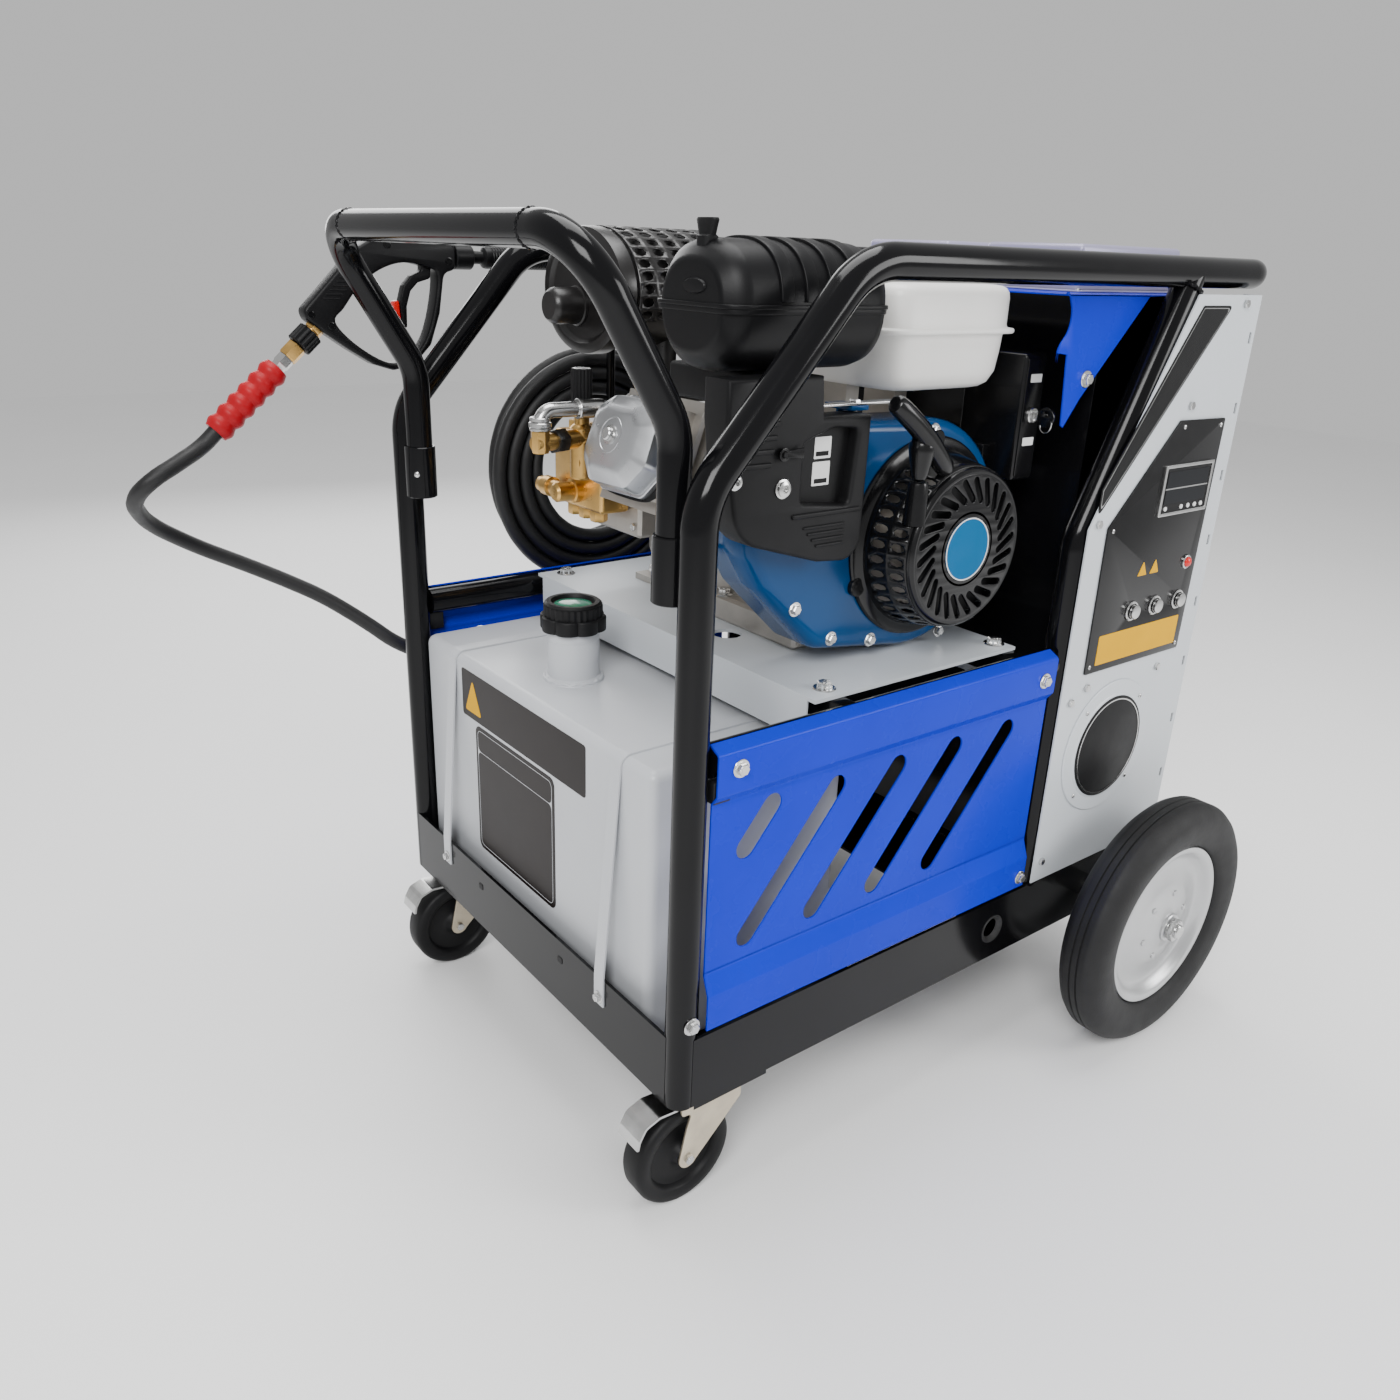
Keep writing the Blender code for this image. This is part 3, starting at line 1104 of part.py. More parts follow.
def make_intake():
    """Air cleaner and the shroud of the carburettor under it."""
    front, rear = AIR_CLEANER_FRONT, AIR_CLEANER_FRONT + AIR_CLEANER_LENGTH
    crown, edge = AIR_CLEANER_HALF_HEIGHT, 0.020
    dome = turned([(0, 0), (crown - edge, 0), (crown - edge * 0.3, edge * 0.3), (crown, edge),
                   (crown, AIR_CLEANER_LENGTH - edge),
                   (crown - edge * 0.3, AIR_CLEANER_LENGTH - edge * 0.3),
                   (crown - edge, AIR_CLEANER_LENGTH), (0, AIR_CLEANER_LENGTH)],
                  (front, AIR_CLEANER_Y, AIR_CLEANER_Z), (1, 0, 0), 16)
    widen = AIR_CLEANER_HALF_WIDTH / AIR_CLEANER_HALF_HEIGHT
    middle = Matrix.Translation((0, AIR_CLEANER_Y, 0))
    moved(dome, middle @ Matrix.Scale(widen, 4, (0, 1, 0)) @ middle.inverted())
    half = AIR_CLEANER_HALF_WIDTH + 0.003
    seam = plate(rounded_box_points((front - 0.003, AIR_CLEANER_Y - half),
                                    (rear + 0.003, AIR_CLEANER_Y + half), 0.022),
                 AIR_CLEANER_Z + 0.001, AIR_CLEANER_Z + 0.005, "top")
    knob_x = front + 0.017
    top = AIR_CLEANER_Z + crown
    knob = rod((knob_x, AIR_CLEANER_Y, top - 0.01), (knob_x, AIR_CLEANER_Y, top + 0.016), 0.011, 12)
    part("air_cleaner", united(dome, seam, knob), "black_plastic")

    near, back = 0.062, BLOWER_NEAR - FIT
    roof = AIR_CLEANER_Z - AIR_CLEANER_HALF_HEIGHT - FIT * 3
    outline = [(0.080, roof), (0.080, 0.845), (0.088, 0.780), *arc((0.137, 0.768), 0.046, 190, 255, 4),
               (0.205, 0.700), *arc((0.238, 0.722), 0.025, 260, 355, 4),
               (0.264, 0.842), (0.200, 0.842), (0.196, roof)]
    skin = plate(outline, near, back)
    recess = block((0.176, near - 0.01, 0.755), (0.246, near + 0.012, 0.832), 0.004, 1)
    carburettor = block((0.140, back - 0.002, 0.847), (0.196, 0.236, roof), 0.004, 1)
    pin = rod((0.146, near + 0.004, 0.812), (0.146, near - 0.007, 0.812), 0.003, 8)
    part("intake_shroud", cut(united(skin, carburettor, pin), recess), "black_plastic")

    choke = plate([*arc((0.146, 0.812), 0.0065, 30, 330, 6), (0.170, 0.807), (0.170, 0.817)],
                  near - 0.0055, near - 0.0025, "side", [ring_points((0.146, 0.812), 0.0034, 8)])
    part("choke_lever", choke, "bright_steel", (0.146, near - 0.004, 0.812))

    pivot = (0.264, BLOWER_NEAR - 0.011, CRANK_Z + 0.152 + FIT)
    lever = plate([(0.206, pivot[1] - 0.007), (0.330, pivot[1] - 0.009), (0.334, pivot[1] + 0.004),
                   (0.300, pivot[1] + 0.007), (0.206, pivot[1] + 0.005)],
                  pivot[2], pivot[2] + 0.0022, "top")
    screw = rod((pivot[0], pivot[1], pivot[2] + 0.001), (pivot[0], pivot[1], pivot[2] + 0.005),
                0.005, 8)
    part("throttle_lever", united(lever, screw), "bright_steel", pivot)


def make_muffler():
    """Oval muffler in its guard, with the outlet cowl and the pipe from the head."""
    edge, tall = 0.016, MUFFLER_HALF_HEIGHT
    profile = [(0, 0.004), (tall - 0.014, 0.004), (tall - 0.012, 0), (tall - 0.004, 0),
               (tall, 0.004), (tall, MUFFLER_LENGTH - edge),
               (tall - edge, MUFFLER_LENGTH), (0, MUFFLER_LENGTH)]
    can = turned(profile, (MUFFLER_FRONT, MUFFLER_Y, MUFFLER_Z), (1, 0, 0), 16)
    widen = MUFFLER_HALF_WIDTH / MUFFLER_HALF_HEIGHT
    middle = Matrix.Translation((0, MUFFLER_Y, 0))
    moved(can, middle @ Matrix.Scale(widen, 4, (0, 1, 0)) @ middle.inverted())
    cowl_y, cowl_z = MUFFLER_Y + 0.012, MUFFLER_Z - 0.017
    cowl = turned([(0, 0.036), (0.016, 0.036), (0.0205, 0.030), (0.0205, -0.010), (0, -0.010)],
                  (MUFFLER_FRONT, cowl_y, cowl_z), (-1, 0, 0), 16)
    mouth = rod((MUFFLER_FRONT - 0.018, cowl_y, cowl_z),
                (MUFFLER_FRONT - 0.018, cowl_y + 0.040, cowl_z), 0.012)
    pipe = tube(bent([(0.262, 0.412, MUFFLER_Z - 0.040), (0.262, 0.412, 0.803),
                      (0.262, CYLINDER_FAR + FIT, 0.803)], 0.018, 3), 0.014, 2)
    part("muffler", united(can, cut(cowl, mouth), pipe), "hot_steel")


def make_switch():
    """Engine switch box beside the fan housing and its key."""
    low, high = Vector((0.512, 0.075, 0.752)), Vector((0.550, 0.160, 0.893))
    box = block(low, high, 0.004, 1)
    reach = CRANK_X + SWITCH_TAB_REACH
    tab = block((reach, 0.110, 0.770), (0.516, 0.150, 0.790))
    key_at = Vector((0.531, low.y, 0.826))
    collar = rod((key_at.x, low.y + 0.004, key_at.z), (key_at.x, low.y - 0.004, key_at.z), 0.009, 14)
    part("switch_box", united(box, tab, collar), "black_plastic")

    face = low.y - 0.004 - FIT
    blade = block((key_at.x - 0.0012, face - 0.010, key_at.z - 0.004),
                  (key_at.x + 0.0012, face, key_at.z + 0.004))
    bow = plate(ring_points((0, 0), 0.011, 12), -0.0016, 0.0016, "front",
                [ring_points((0, 0), 0.003, 8)])
    moved(bow, Matrix.Translation((key_at.x, face - 0.018, key_at.z)))
    part("ignition_key", united(bow, blade), "bright_steel", (key_at.x, face, key_at.z))


# -------------------------------------------------------------------------------- pump
def make_pump():
    """Three-plunger pump, its brass manifold, the pressure knob and the outlet pipe."""
    rear = CRANK_X + 0.056
    front = rear - PUMP_LENGTH
    top = PUMP_BOTTOM + PUMP_HEIGHT
    case = block((front, PUMP_NEAR, PUMP_BOTTOM), (rear, PUMP_FAR, top), 0.010, 2)
    head_front = front - 0.095
    barrel = block((head_front, PUMP_NEAR + 0.040, PUMP_BOTTOM + 0.055),
                   (front + 0.01, PUMP_FAR - 0.004, top - 0.010), 0.004, 1)
    foot = block((front + 0.02, PUMP_NEAR + 0.02, PLATE_TOP + FIT),
                 (rear - 0.02, PUMP_FAR - 0.02, PUMP_BOTTOM + 0.01))
    ledge = block((front - 0.01, PUMP_NEAR + 0.02, PLATE_TOP + FIT),
                  (rear + 0.01, PUMP_FAR + 0.01, PLATE_TOP + 0.009))
    bore = rod((CRANK_X, 0.3, CRANK_Z), (CRANK_X, PUMP_FAR - 0.055, CRANK_Z),
               round_clear(SHAFT_RADIUS))
    part("pump_body", cut(united(case, barrel, foot, ledge), bore), "cast_aluminium")

    face = head_front - FIT
    head = block((face - 0.042, PUMP_NEAR + 0.060, PUMP_BOTTOM + 0.085),
                 (face, PUMP_FAR + 0.010, top + 0.015), 0.004, 1)
    tower = turned([(0, KNOB_BASE - FIT), (0.009, KNOB_BASE - FIT), (0.009, top + 0.030),
                    (0.014, top + 0.028), (0.014, top - 0.03), (0, top - 0.03)],
                   (KNOB_X, KNOB_Y, 0), (0, 0, 1), 10)
    shelf = rod((KNOB_X, KNOB_Y, top - 0.012), (face - 0.02, KNOB_Y, top - 0.012), 0.011, 10)
    port = Vector((0.085, 0.404, 0.776))
    arm = rod((KNOB_X, KNOB_Y, port.z), port, 0.010, 8)
    elbow = rod(port - Vector((0, 0, 0.010)), port + Vector((0, 0, 0.014)), 0.011, 8)
    inlet = rod((face - 0.075, PUMP_FAR - 0.045, 0.706), (face - 0.02, PUMP_FAR - 0.045, 0.706),
                0.012, 10)
    plug = rod((face - 0.058, PUMP_FAR - 0.045, 0.706), (face - 0.058, PUMP_FAR + 0.012, 0.706),
               0.010, 8)
    part("pump_manifold", united(head, tower, shelf, arm, elbow, inlet, plug), "brass")

    flutes = []
    for i in range(8):
        flutes += arc((KNOB_X, KNOB_Y), KNOB_RADIUS, 45 * i - 13, 45 * i + 13, 1)
        flutes += arc((KNOB_X, KNOB_Y), KNOB_RADIUS - 0.0015, 45 * i + 19, 45 * i + 26, 1)
    knob = plate(flutes, KNOB_BASE, KNOB_BASE + KNOB_HEIGHT, "top")
    part("pressure_knob", knob, "black_plastic", (KNOB_X, KNOB_Y, KNOB_BASE))

    run = 0.812
    route = bent([port + Vector((0, 0, 0.014 + FIT)), (port.x, port.y, run),
                  (0.215, 0.398, run), (0.238, 0.452, run), (0.300, 0.458, run),
                  (0.470, 0.452, run), (FEED_X, MIDDLE + COIL_RADIUS, 0.790),
                  (FEED_X, MIDDLE + COIL_RADIUS, COIL_BOTTOM + 0.05 + FIT)],
                 [0.016, 0.02, 0.02, 0.05, 0.05, 0.035], 3)
    part("outlet_pipe", tube(route, PIPE_RADIUS, 2), "black_rubber")


# ------------------------------------------------------------------ gun, lance and hose
def at_gun(points):
    """Outline given from the gun's end on the lance axis, in the frame's own place."""
    return [(GUN_END + x, LANCE_HEIGHT + z) for x, z in points]


def make_gun():
    """Spray gun with its inlet fittings, trigger, safety latch and lance."""
    half = GUN_THICKNESS / 2
    outer = at_gun([(0.000, 0.017), (-0.107, 0.019), (-0.129, 0.007), (-0.151, -0.015),
                    (-0.175, -0.039), (-0.199, -0.063), (-0.196, -0.074), (-0.179, -0.087),
                    (-0.147, -0.109), (-0.117, -0.127), (-0.091, -0.135), (-0.063, -0.129),
                    (-0.039, -0.105), (-0.025, -0.067), (-0.017, -0.019), (0.000, -0.015)])
    finger_gap = at_gun([(-0.161, -0.076), (-0.149, -0.061), (-0.129, -0.037), (-0.101, -0.017),
                         (-0.070, -0.008), (-0.039, -0.013), (-0.027, -0.023), (-0.034, -0.065),
                         (-0.047, -0.099), (-0.067, -0.120), (-0.091, -0.126), (-0.114, -0.118),
                         (-0.143, -0.098)])
    body = plate(outer, GUN_Y - half, GUN_Y + half, "side", [finger_gap])
    inlet = turned([(0, 0), (0.0085, 0), (0.0085, 0.012), (0.0155, 0.014), (0.0155, 0.034),
                    (0.0115, 0.036), (0.0115, 0.056), (INLET_TIP_RADIUS, 0.057),
                    (INLET_TIP_RADIUS, INLET_LENGTH - FIT), (0, INLET_LENGTH - FIT)],
                   GRIP_START - GRIP_AXIS * INLET_LENGTH, GRIP_AXIS, 10)
    pivot = Vector((GUN_END - 0.038, GUN_Y, LANCE_HEIGHT - 0.004))
    slot = block((pivot.x - 0.016, GUN_Y - 0.0085, pivot.z - 0.033),
                 (pivot.x + 0.012, GUN_Y + 0.0085, pivot.z + 0.011))
    bore = rod((pivot.x, GUN_Y - 0.05, pivot.z), (pivot.x, GUN_Y + 0.05, pivot.z), round_clear(0.0030, 8), 8)
    part("gun_body", cut(united(body, inlet), slot, bore), "black_plastic")

    outline = at_gun([(-0.031, 0.001), (-0.045, 0.001), (-0.045, -0.017), (-0.059, -0.023),
                      (-0.070, -0.035), (-0.076, -0.055), (-0.074, -0.083), (-0.068, -0.085),
                      (-0.067, -0.059), (-0.061, -0.041), (-0.051, -0.031), (-0.034, -0.026)])
    trigger = plate(outline, GUN_Y - 0.007, GUN_Y + 0.007)
    pin = rod((pivot.x, GUN_Y - half + 0.001, pivot.z), (pivot.x, GUN_Y + half - 0.001, pivot.z),
              0.0030, 8)
    part("gun_trigger", united(trigger, pin), "black_plastic", tuple(pivot))

    outline = at_gun([(-0.0765, -0.0555), (-0.0775, -0.052), (-0.084, -0.053), (-0.082, -0.077),
                      (-0.075, -0.079)])
    latch = plate(outline, GUN_Y - 0.005, GUN_Y + 0.005)
    part("safety_latch", latch, "red_rubber",
         (GUN_END - 0.079, GUN_Y, LANCE_HEIGHT - 0.056))

    start, end = LANCE_START, LANCE_START + LANCE_LENGTH
    length = end - start
    profile = [(0, 0), (0.0150, 0), (0.0150, 0.024), (LANCE_RADIUS, 0.026), (LANCE_RADIUS, 0.040),
               (0.0135, 0.045), (0.0135, 0.200), (LANCE_RADIUS, 0.206),
               (LANCE_RADIUS, length - 0.045), (0.0125, length - 0.043),
               (0.0125, length - 0.016), (0.0065, length - 0.012), (0.0065, length), (0, length)]
    part("lance", turned(profile, (start, GUN_Y, LANCE_HEIGHT), (1, 0, 0), 10), "black_plastic")


def smooth_route(points, spacing):
    """Points at an even spacing on a smooth curve through hand-chosen points."""
    points = [Vector(p) for p in points]
    padded = [points[0] * 2 - points[1], *points, points[-1] * 2 - points[-2]]
    dense = []
    for p0, p1, p2, p3 in zip(padded, padded[1:], padded[2:], padded[3:]):
        for i in range(24):
            t = i / 24
            dense.append(0.5 * (2 * p1 + (p2 - p0) * t + (2 * p0 - 5 * p1 + 4 * p2 - p3) * t * t
                                + (3 * p1 - p0 - 3 * p2 + p3) * t ** 3))
    dense.append(points[-1])
    lengths = [0.0]
    for a, b in zip(dense, dense[1:]):
        lengths.append(lengths[-1] + (b - a).length)
    count = max(2, round(lengths[-1] / spacing))
    route, k = [dense[0]], 0
    for i in range(1, count):
        goal = lengths[-1] * i / count
        while lengths[k + 1] < goal:
            k += 1
        share = (goal - lengths[k]) / (lengths[k + 1] - lengths[k])
        route.append(dense[k].lerp(dense[k + 1], share))
    route.append(dense[-1])
    return route


def coil_turns():
    """Axis of the hung hose coil: loops spiral in, climb one layer, and spiral out."""
    steps = 24
    total = round(steps * HOSE_SWEEP / (2 * pi))
    near = FRAME_WIDTH + LAYER_OFFSET
    route = []
    for i in range(total + 1):
        turn = HOSE_SWEEP * i / total
        into = min(turn, HOSE_SWEEP - turn, HOSE_INWARD)
        climb = min(max((turn - HOSE_INWARD) / pi, 0), 1)
        radius = COIL_HANG_RADIUS - HOSE_PITCH * into / (2 * pi) - CLIMB_TUCK * sin(pi * climb)
        y = near + LAYER_PITCH * (1 - cos(pi * climb)) / 2
        angle = HOSE_ENTRY - turn
        route.append(Vector((COIL_HANG_X + radius * cos(angle), y,
                             COIL_HANG_Z + radius * sin(angle))))
    return route


def self_gap(route, radius, skip):
    """Least gap of a wound tube to itself, measured between points of its axis."""
    least = 1.0
    for i, a in enumerate(route):
        for j in range(i + skip, len(route) - 1):
            b, c = route[j], route[j + 1]
            along = c - b
            t = min(max((a - b).dot(along) / along.length_squared, 0), 1)
            least = min(least, (a - b - along * t).length)
    return least - 2 * radius


def make_hose():
    """High-pressure hose: coil on its hook, free run to the gun and the hand grip."""
    x, z = BOILER_X + COIL_RADIUS, COIL_TOP
    y = FRAME_WIDTH + OUTLET_OFFSET
    loops = coil_turns()
    least = self_gap(loops, HOSE_RADIUS, 6)
    print(f"hose coil: least gap to itself {least * 1000:.2f} mm")
    lead_start = Vector((x - OUTLET_ELBOW - FIT, y, z))
    lead = smooth_route([lead_start, lead_start - Vector((0.022, 0, 0)), (0.660, y - 0.001, 0.712),
                         (0.580, y - 0.004, 0.694), (0.515, y - 0.007, 0.657), loops[0]], 0.028)
    leave = loops[-1] + (loops[-1] - loops[-2]).normalized() * 2 * HOSE_RADIUS
    part("hose_coil", tube(lead[:-1] + loops + [leave], HOSE_RADIUS, 1), "black_rubber")

    layer = loops[-1].y
    onward = (leave - loops[-1]).normalized()
    begin = leave + onward * FIT
    free = smooth_route([begin + onward * 0.02, (0.318, layer, 0.474), (0.240, layer, 0.446),
                         (0.150, layer, 0.434), (0.070, layer + 0.001, 0.442),
                         (0.014, layer + 0.006, 0.468), (-0.018, layer + 0.022, 0.495),
                         (-0.070, layer + 0.048, 0.536), (-0.142, layer + 0.070, 0.578),
                         (-0.212, layer + 0.078, 0.616), (-0.266, layer + 0.056, 0.655),
                         (-0.288, layer + 0.016, 0.688), (-0.283, layer - 0.018, 0.714),
                         (-0.246, layer - 0.016, 0.736),
                         GRIP_END + GRIP_AXIS * 0.022], 0.038)
    run = [begin, *free, GRIP_END + GRIP_AXIS * FIT]
    part("hose_run", tube(run, HOSE_RADIUS, 2), "black_rubber")

    profile = [(0, 0)]
    for i in range(GRIP_RIBS):
        step = GRIP_LENGTH / GRIP_RIBS
        profile += [(GRIP_WAIST, step * i), (GRIP_RADIUS, step * (i + 0.5))]
    profile += [(GRIP_WAIST, GRIP_LENGTH), (0, GRIP_LENGTH)]
    part("hose_grip_sleeve", turned(profile, GRIP_START, GRIP_AXIS, 12), "red_rubber")


# ------------------------------------------------------------------------------ wheels
def make_wheels():
    """Rear axle and the two large wheels, each a steel rim in a solid tyre."""
    axle = [rod((WHEEL_X, -AXLE_OVERHANG, AXLE_HEIGHT),
                (WHEEL_X, FRAME_WIDTH + AXLE_OVERHANG, AXLE_HEIGHT), AXLE_RADIUS)]
    hub_out = WHEEL_OFFSET + HUB_LENGTH / 2
    hub_in = WHEEL_OFFSET - HUB_LENGTH / 2
    for side, out in ((0, -1), (FRAME_WIDTH, 1)):
        nut = side + out * (hub_out + 2 * FIT)
        axle.append(rod((WHEEL_X, nut, AXLE_HEIGHT),
                        (WHEEL_X, nut + out * 0.009, AXLE_HEIGHT), AXLE_NUT_RADIUS, 6))
        collar = side + out * (hub_in - 2 * FIT)
        axle.append(rod((WHEEL_X, side + out * FIT, AXLE_HEIGHT),
                        (WHEEL_X, collar, AXLE_HEIGHT), AXLE_NUT_RADIUS))
    part("wheel_axle", united(*axle), "bright_steel")

    half, hub = WHEEL_WIDTH / 2, HUB_LENGTH / 2
    rim, bore = RIM_RADIUS, round_clear(AXLE_RADIUS, WHEEL_STEPS)
    rim_half = half - 0.010
    profile = [(bore, hub), (HUB_RADIUS, hub), (HUB_RADIUS, 0.022), (0.045, 0.016),
               (rim - 0.024, 0.006), (rim - 0.006, rim_half), (rim - 0.002, 0),
               (rim - 0.006, -rim_half), (rim - 0.024, -0.002), (0.045, 0.008),
               (HUB_RADIUS, -hub), (bore, -hub)]
    outer = WHEEL_RADIUS / cos(pi / WHEEL_STEPS)
    seat = rim + 2 * FIT
    tyre = [(seat + 0.020, half), (outer - 0.016, half), (outer, half - 0.014),
            (outer, -half + 0.014), (outer - 0.016, -half), (seat + 0.020, -half),
            (seat - 0.006, -rim_half), (seat - 0.002, 0), (seat - 0.006, rim_half)]
    for name, y, out in (("near", -WHEEL_OFFSET, -1), ("far", FRAME_WIDTH + WHEEL_OFFSET, 1)):
        place = (WHEEL_X, y, AXLE_HEIGHT)
        wheel = turned(profile, place, (0, out, 0), WHEEL_STEPS, closed=True, phase=0.5)
        part(f"{name}_rim", wheel, "bright_steel", place)
        ring = turned(tyre, place, (0, out, 0), WHEEL_STEPS, closed=True, phase=0.5)
        part(f"{name}_tyre", ring, "black_rubber", place)


def make_caster(name, y):
    """One braked swivel caster: fork with its head and pin, wheel, and brake pedal."""
    wheel_half = CASTER_WIDTH / 2
    gap = wheel_half + 0.003
    crown = FORK_TOP - 0.011
    axle = (CASTER_WHEEL_X, y, CASTER_RADIUS)
    head = turned([(0, FORK_TOP), (0.024, FORK_TOP), (0.030, FORK_TOP - 0.004),
                   (0.026, crown - 0.001), (0, crown - 0.001)], (SWIVEL_X, y, 0), (0, 0, 1), 12)
    half = gap + FORK_SHEET / 2
    bridge = block((SWIVEL_X - 0.034, y - half, crown - FORK_SHEET),
                   (SWIVEL_X + 0.029, y + half, crown))
    skirt_top = crown - FORK_SHEET / 4
    leg = [(SWIVEL_X - 0.052, skirt_top), (SWIVEL_X - 0.052, crown - 0.011),
           (SWIVEL_X - 0.038, crown - 0.012), (SWIVEL_X - 0.044, crown - 0.030),
           *arc((axle[0], axle[2]), 0.012, 170, 330, 3), (SWIVEL_X + 0.030, crown - 0.020),
           (SWIVEL_X + 0.030, skirt_top)]
    legs = [plate(leg, y - gap - FORK_SHEET, y - gap), plate(leg, y + gap, y + gap + FORK_SHEET)]
    end = gap + FORK_SHEET + 0.003
    pin = rod((axle[0], y - end, axle[2]), (axle[0], y + end, axle[2]), CASTER_PIN_RADIUS, 8)
    part(f"{name}_caster_fork", united(head, bridge, *legs, pin), "zinc",
         (SWIVEL_X, y, FORK_TOP))

    hub, bore = gap - 0.001, round_clear(CASTER_PIN_RADIUS, CASTER_STEPS)
    r = CASTER_RADIUS / cos(pi / CASTER_STEPS)
    profile = [(bore, hub), (0.013, hub), (r - 0.020, 0.005),
               (r - 0.010, wheel_half), (r, wheel_half - 0.008), (r, -wheel_half + 0.008),
               (r - 0.010, -wheel_half), (r - 0.020, -0.005), (0.013, -hub), (bore, -hub)]
    wheel = turned(profile, axle, (0, 1, 0), CASTER_STEPS, closed=True, phase=0.5)
    part(f"{name}_caster_wheel", wheel, "black_plastic", axle)

    hinge = (SWIVEL_X - 0.047, y, crown - PEDAL_DROP)
    width = gap - 0.002
    path = [(hinge[0] + 0.008, hinge[2] + 0.001), (hinge[0] - 0.030, hinge[2] + 0.004),
            (hinge[0] - 0.048, hinge[2] - 0.002), (hinge[0] - 0.056, hinge[2] - 0.016),
            (hinge[0] - 0.058, hinge[2] - 0.026)]
    pedal = shell_along(path, y - width, y + width, 0.003, "y")
    barrel = rod((hinge[0], y - gap + FIT, hinge[2]), (hinge[0], y + gap - FIT, hinge[2]),
                 PEDAL_BARREL, 8)
    part(f"{name}_caster_pedal", united(pedal, barrel), "bright_steel", hinge)


def main():
    """Build every sub-part."""
    make_base()
    make_cage()
    make_subframe()
    make_handle()
    make_skirts()
    make_engine_plate()
    make_diesel_tank()
    make_cabinet()
    make_controls()
    make_boiler()
    make_engine_block()
    make_cooling()
    make_engine_tank()
    make_intake()
    make_muffler()
    make_switch()
    make_pump()
    make_gun()
    make_hose()
    make_wheels()
    make_caster("near", CASTER_INSET)
    make_caster("far", FRAME_WIDTH - CASTER_INSET)
    for leftover in list(BENCH.objects):
        bpy.data.objects.remove(leftover, do_unlink=True)
    bpy.data.collections.remove(BENCH)


main()
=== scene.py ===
"""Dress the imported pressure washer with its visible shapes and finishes.

All sizes are in metres, measured as the source measures them: from the near front corner
of the base on the ground, x towards the big wheels, y towards the far side and z up.
CORNER carries them into the frame's own coordinates.
"""
import logging
from dataclasses import dataclass
from enum import Enum
from math import atan2, cos, pi, radians, sin
from typing import Callable, Iterable, Sequence

import bmesh
import bpy
from mathutils import Matrix, Vector


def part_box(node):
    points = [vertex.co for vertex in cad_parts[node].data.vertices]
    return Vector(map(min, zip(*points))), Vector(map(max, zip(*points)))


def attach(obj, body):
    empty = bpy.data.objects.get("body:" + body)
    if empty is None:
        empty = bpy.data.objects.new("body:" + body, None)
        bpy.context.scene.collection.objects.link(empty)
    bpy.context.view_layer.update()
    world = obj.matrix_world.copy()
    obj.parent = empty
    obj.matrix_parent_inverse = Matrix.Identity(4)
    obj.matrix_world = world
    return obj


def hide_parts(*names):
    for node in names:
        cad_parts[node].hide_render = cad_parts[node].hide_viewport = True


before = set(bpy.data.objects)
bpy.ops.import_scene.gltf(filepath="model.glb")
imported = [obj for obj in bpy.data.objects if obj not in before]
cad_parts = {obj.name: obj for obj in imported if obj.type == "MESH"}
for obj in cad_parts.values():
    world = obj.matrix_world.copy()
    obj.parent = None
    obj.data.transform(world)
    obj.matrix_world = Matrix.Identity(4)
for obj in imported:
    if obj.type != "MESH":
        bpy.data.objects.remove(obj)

LOG = logging.getLogger("washer")
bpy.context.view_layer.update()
BASE_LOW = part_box("base_frame")[0]
CORNER = Vector((BASE_LOW.x, BASE_LOW.y, 0.0))
WIDTH = 0.635
MIDDLE = WIDTH / 2
CROSS_RAILS = (0.222, 0.499)
STRAP_PLACES = (0.144, 0.520)
GRIP_START = (-0.116, 0.675, 0.838)
GRIP_AXIS = Vector((-0.745, 0, -0.667)).normalized()
TO_FRONT, TO_REAR = (-1, 0, 0), (1, 0, 0)
TO_NEAR, TO_FAR = (0, -1, 0), (0, 1, 0)
DOWN, UP = (0, 0, -1), (0, 0, 1)
Flat = tuple[float, float]
Spot = tuple[float, float, float]
Point = Vector | Spot


# --------------------------------------------------------------------------- finishes
class Grain(Enum):
    """Kinds of fine relief that a finish can have."""

    PEEL = "peel"
    PEBBLE = "pebble"
    BRUSHED = "brushed"
    WEAVE = "weave"


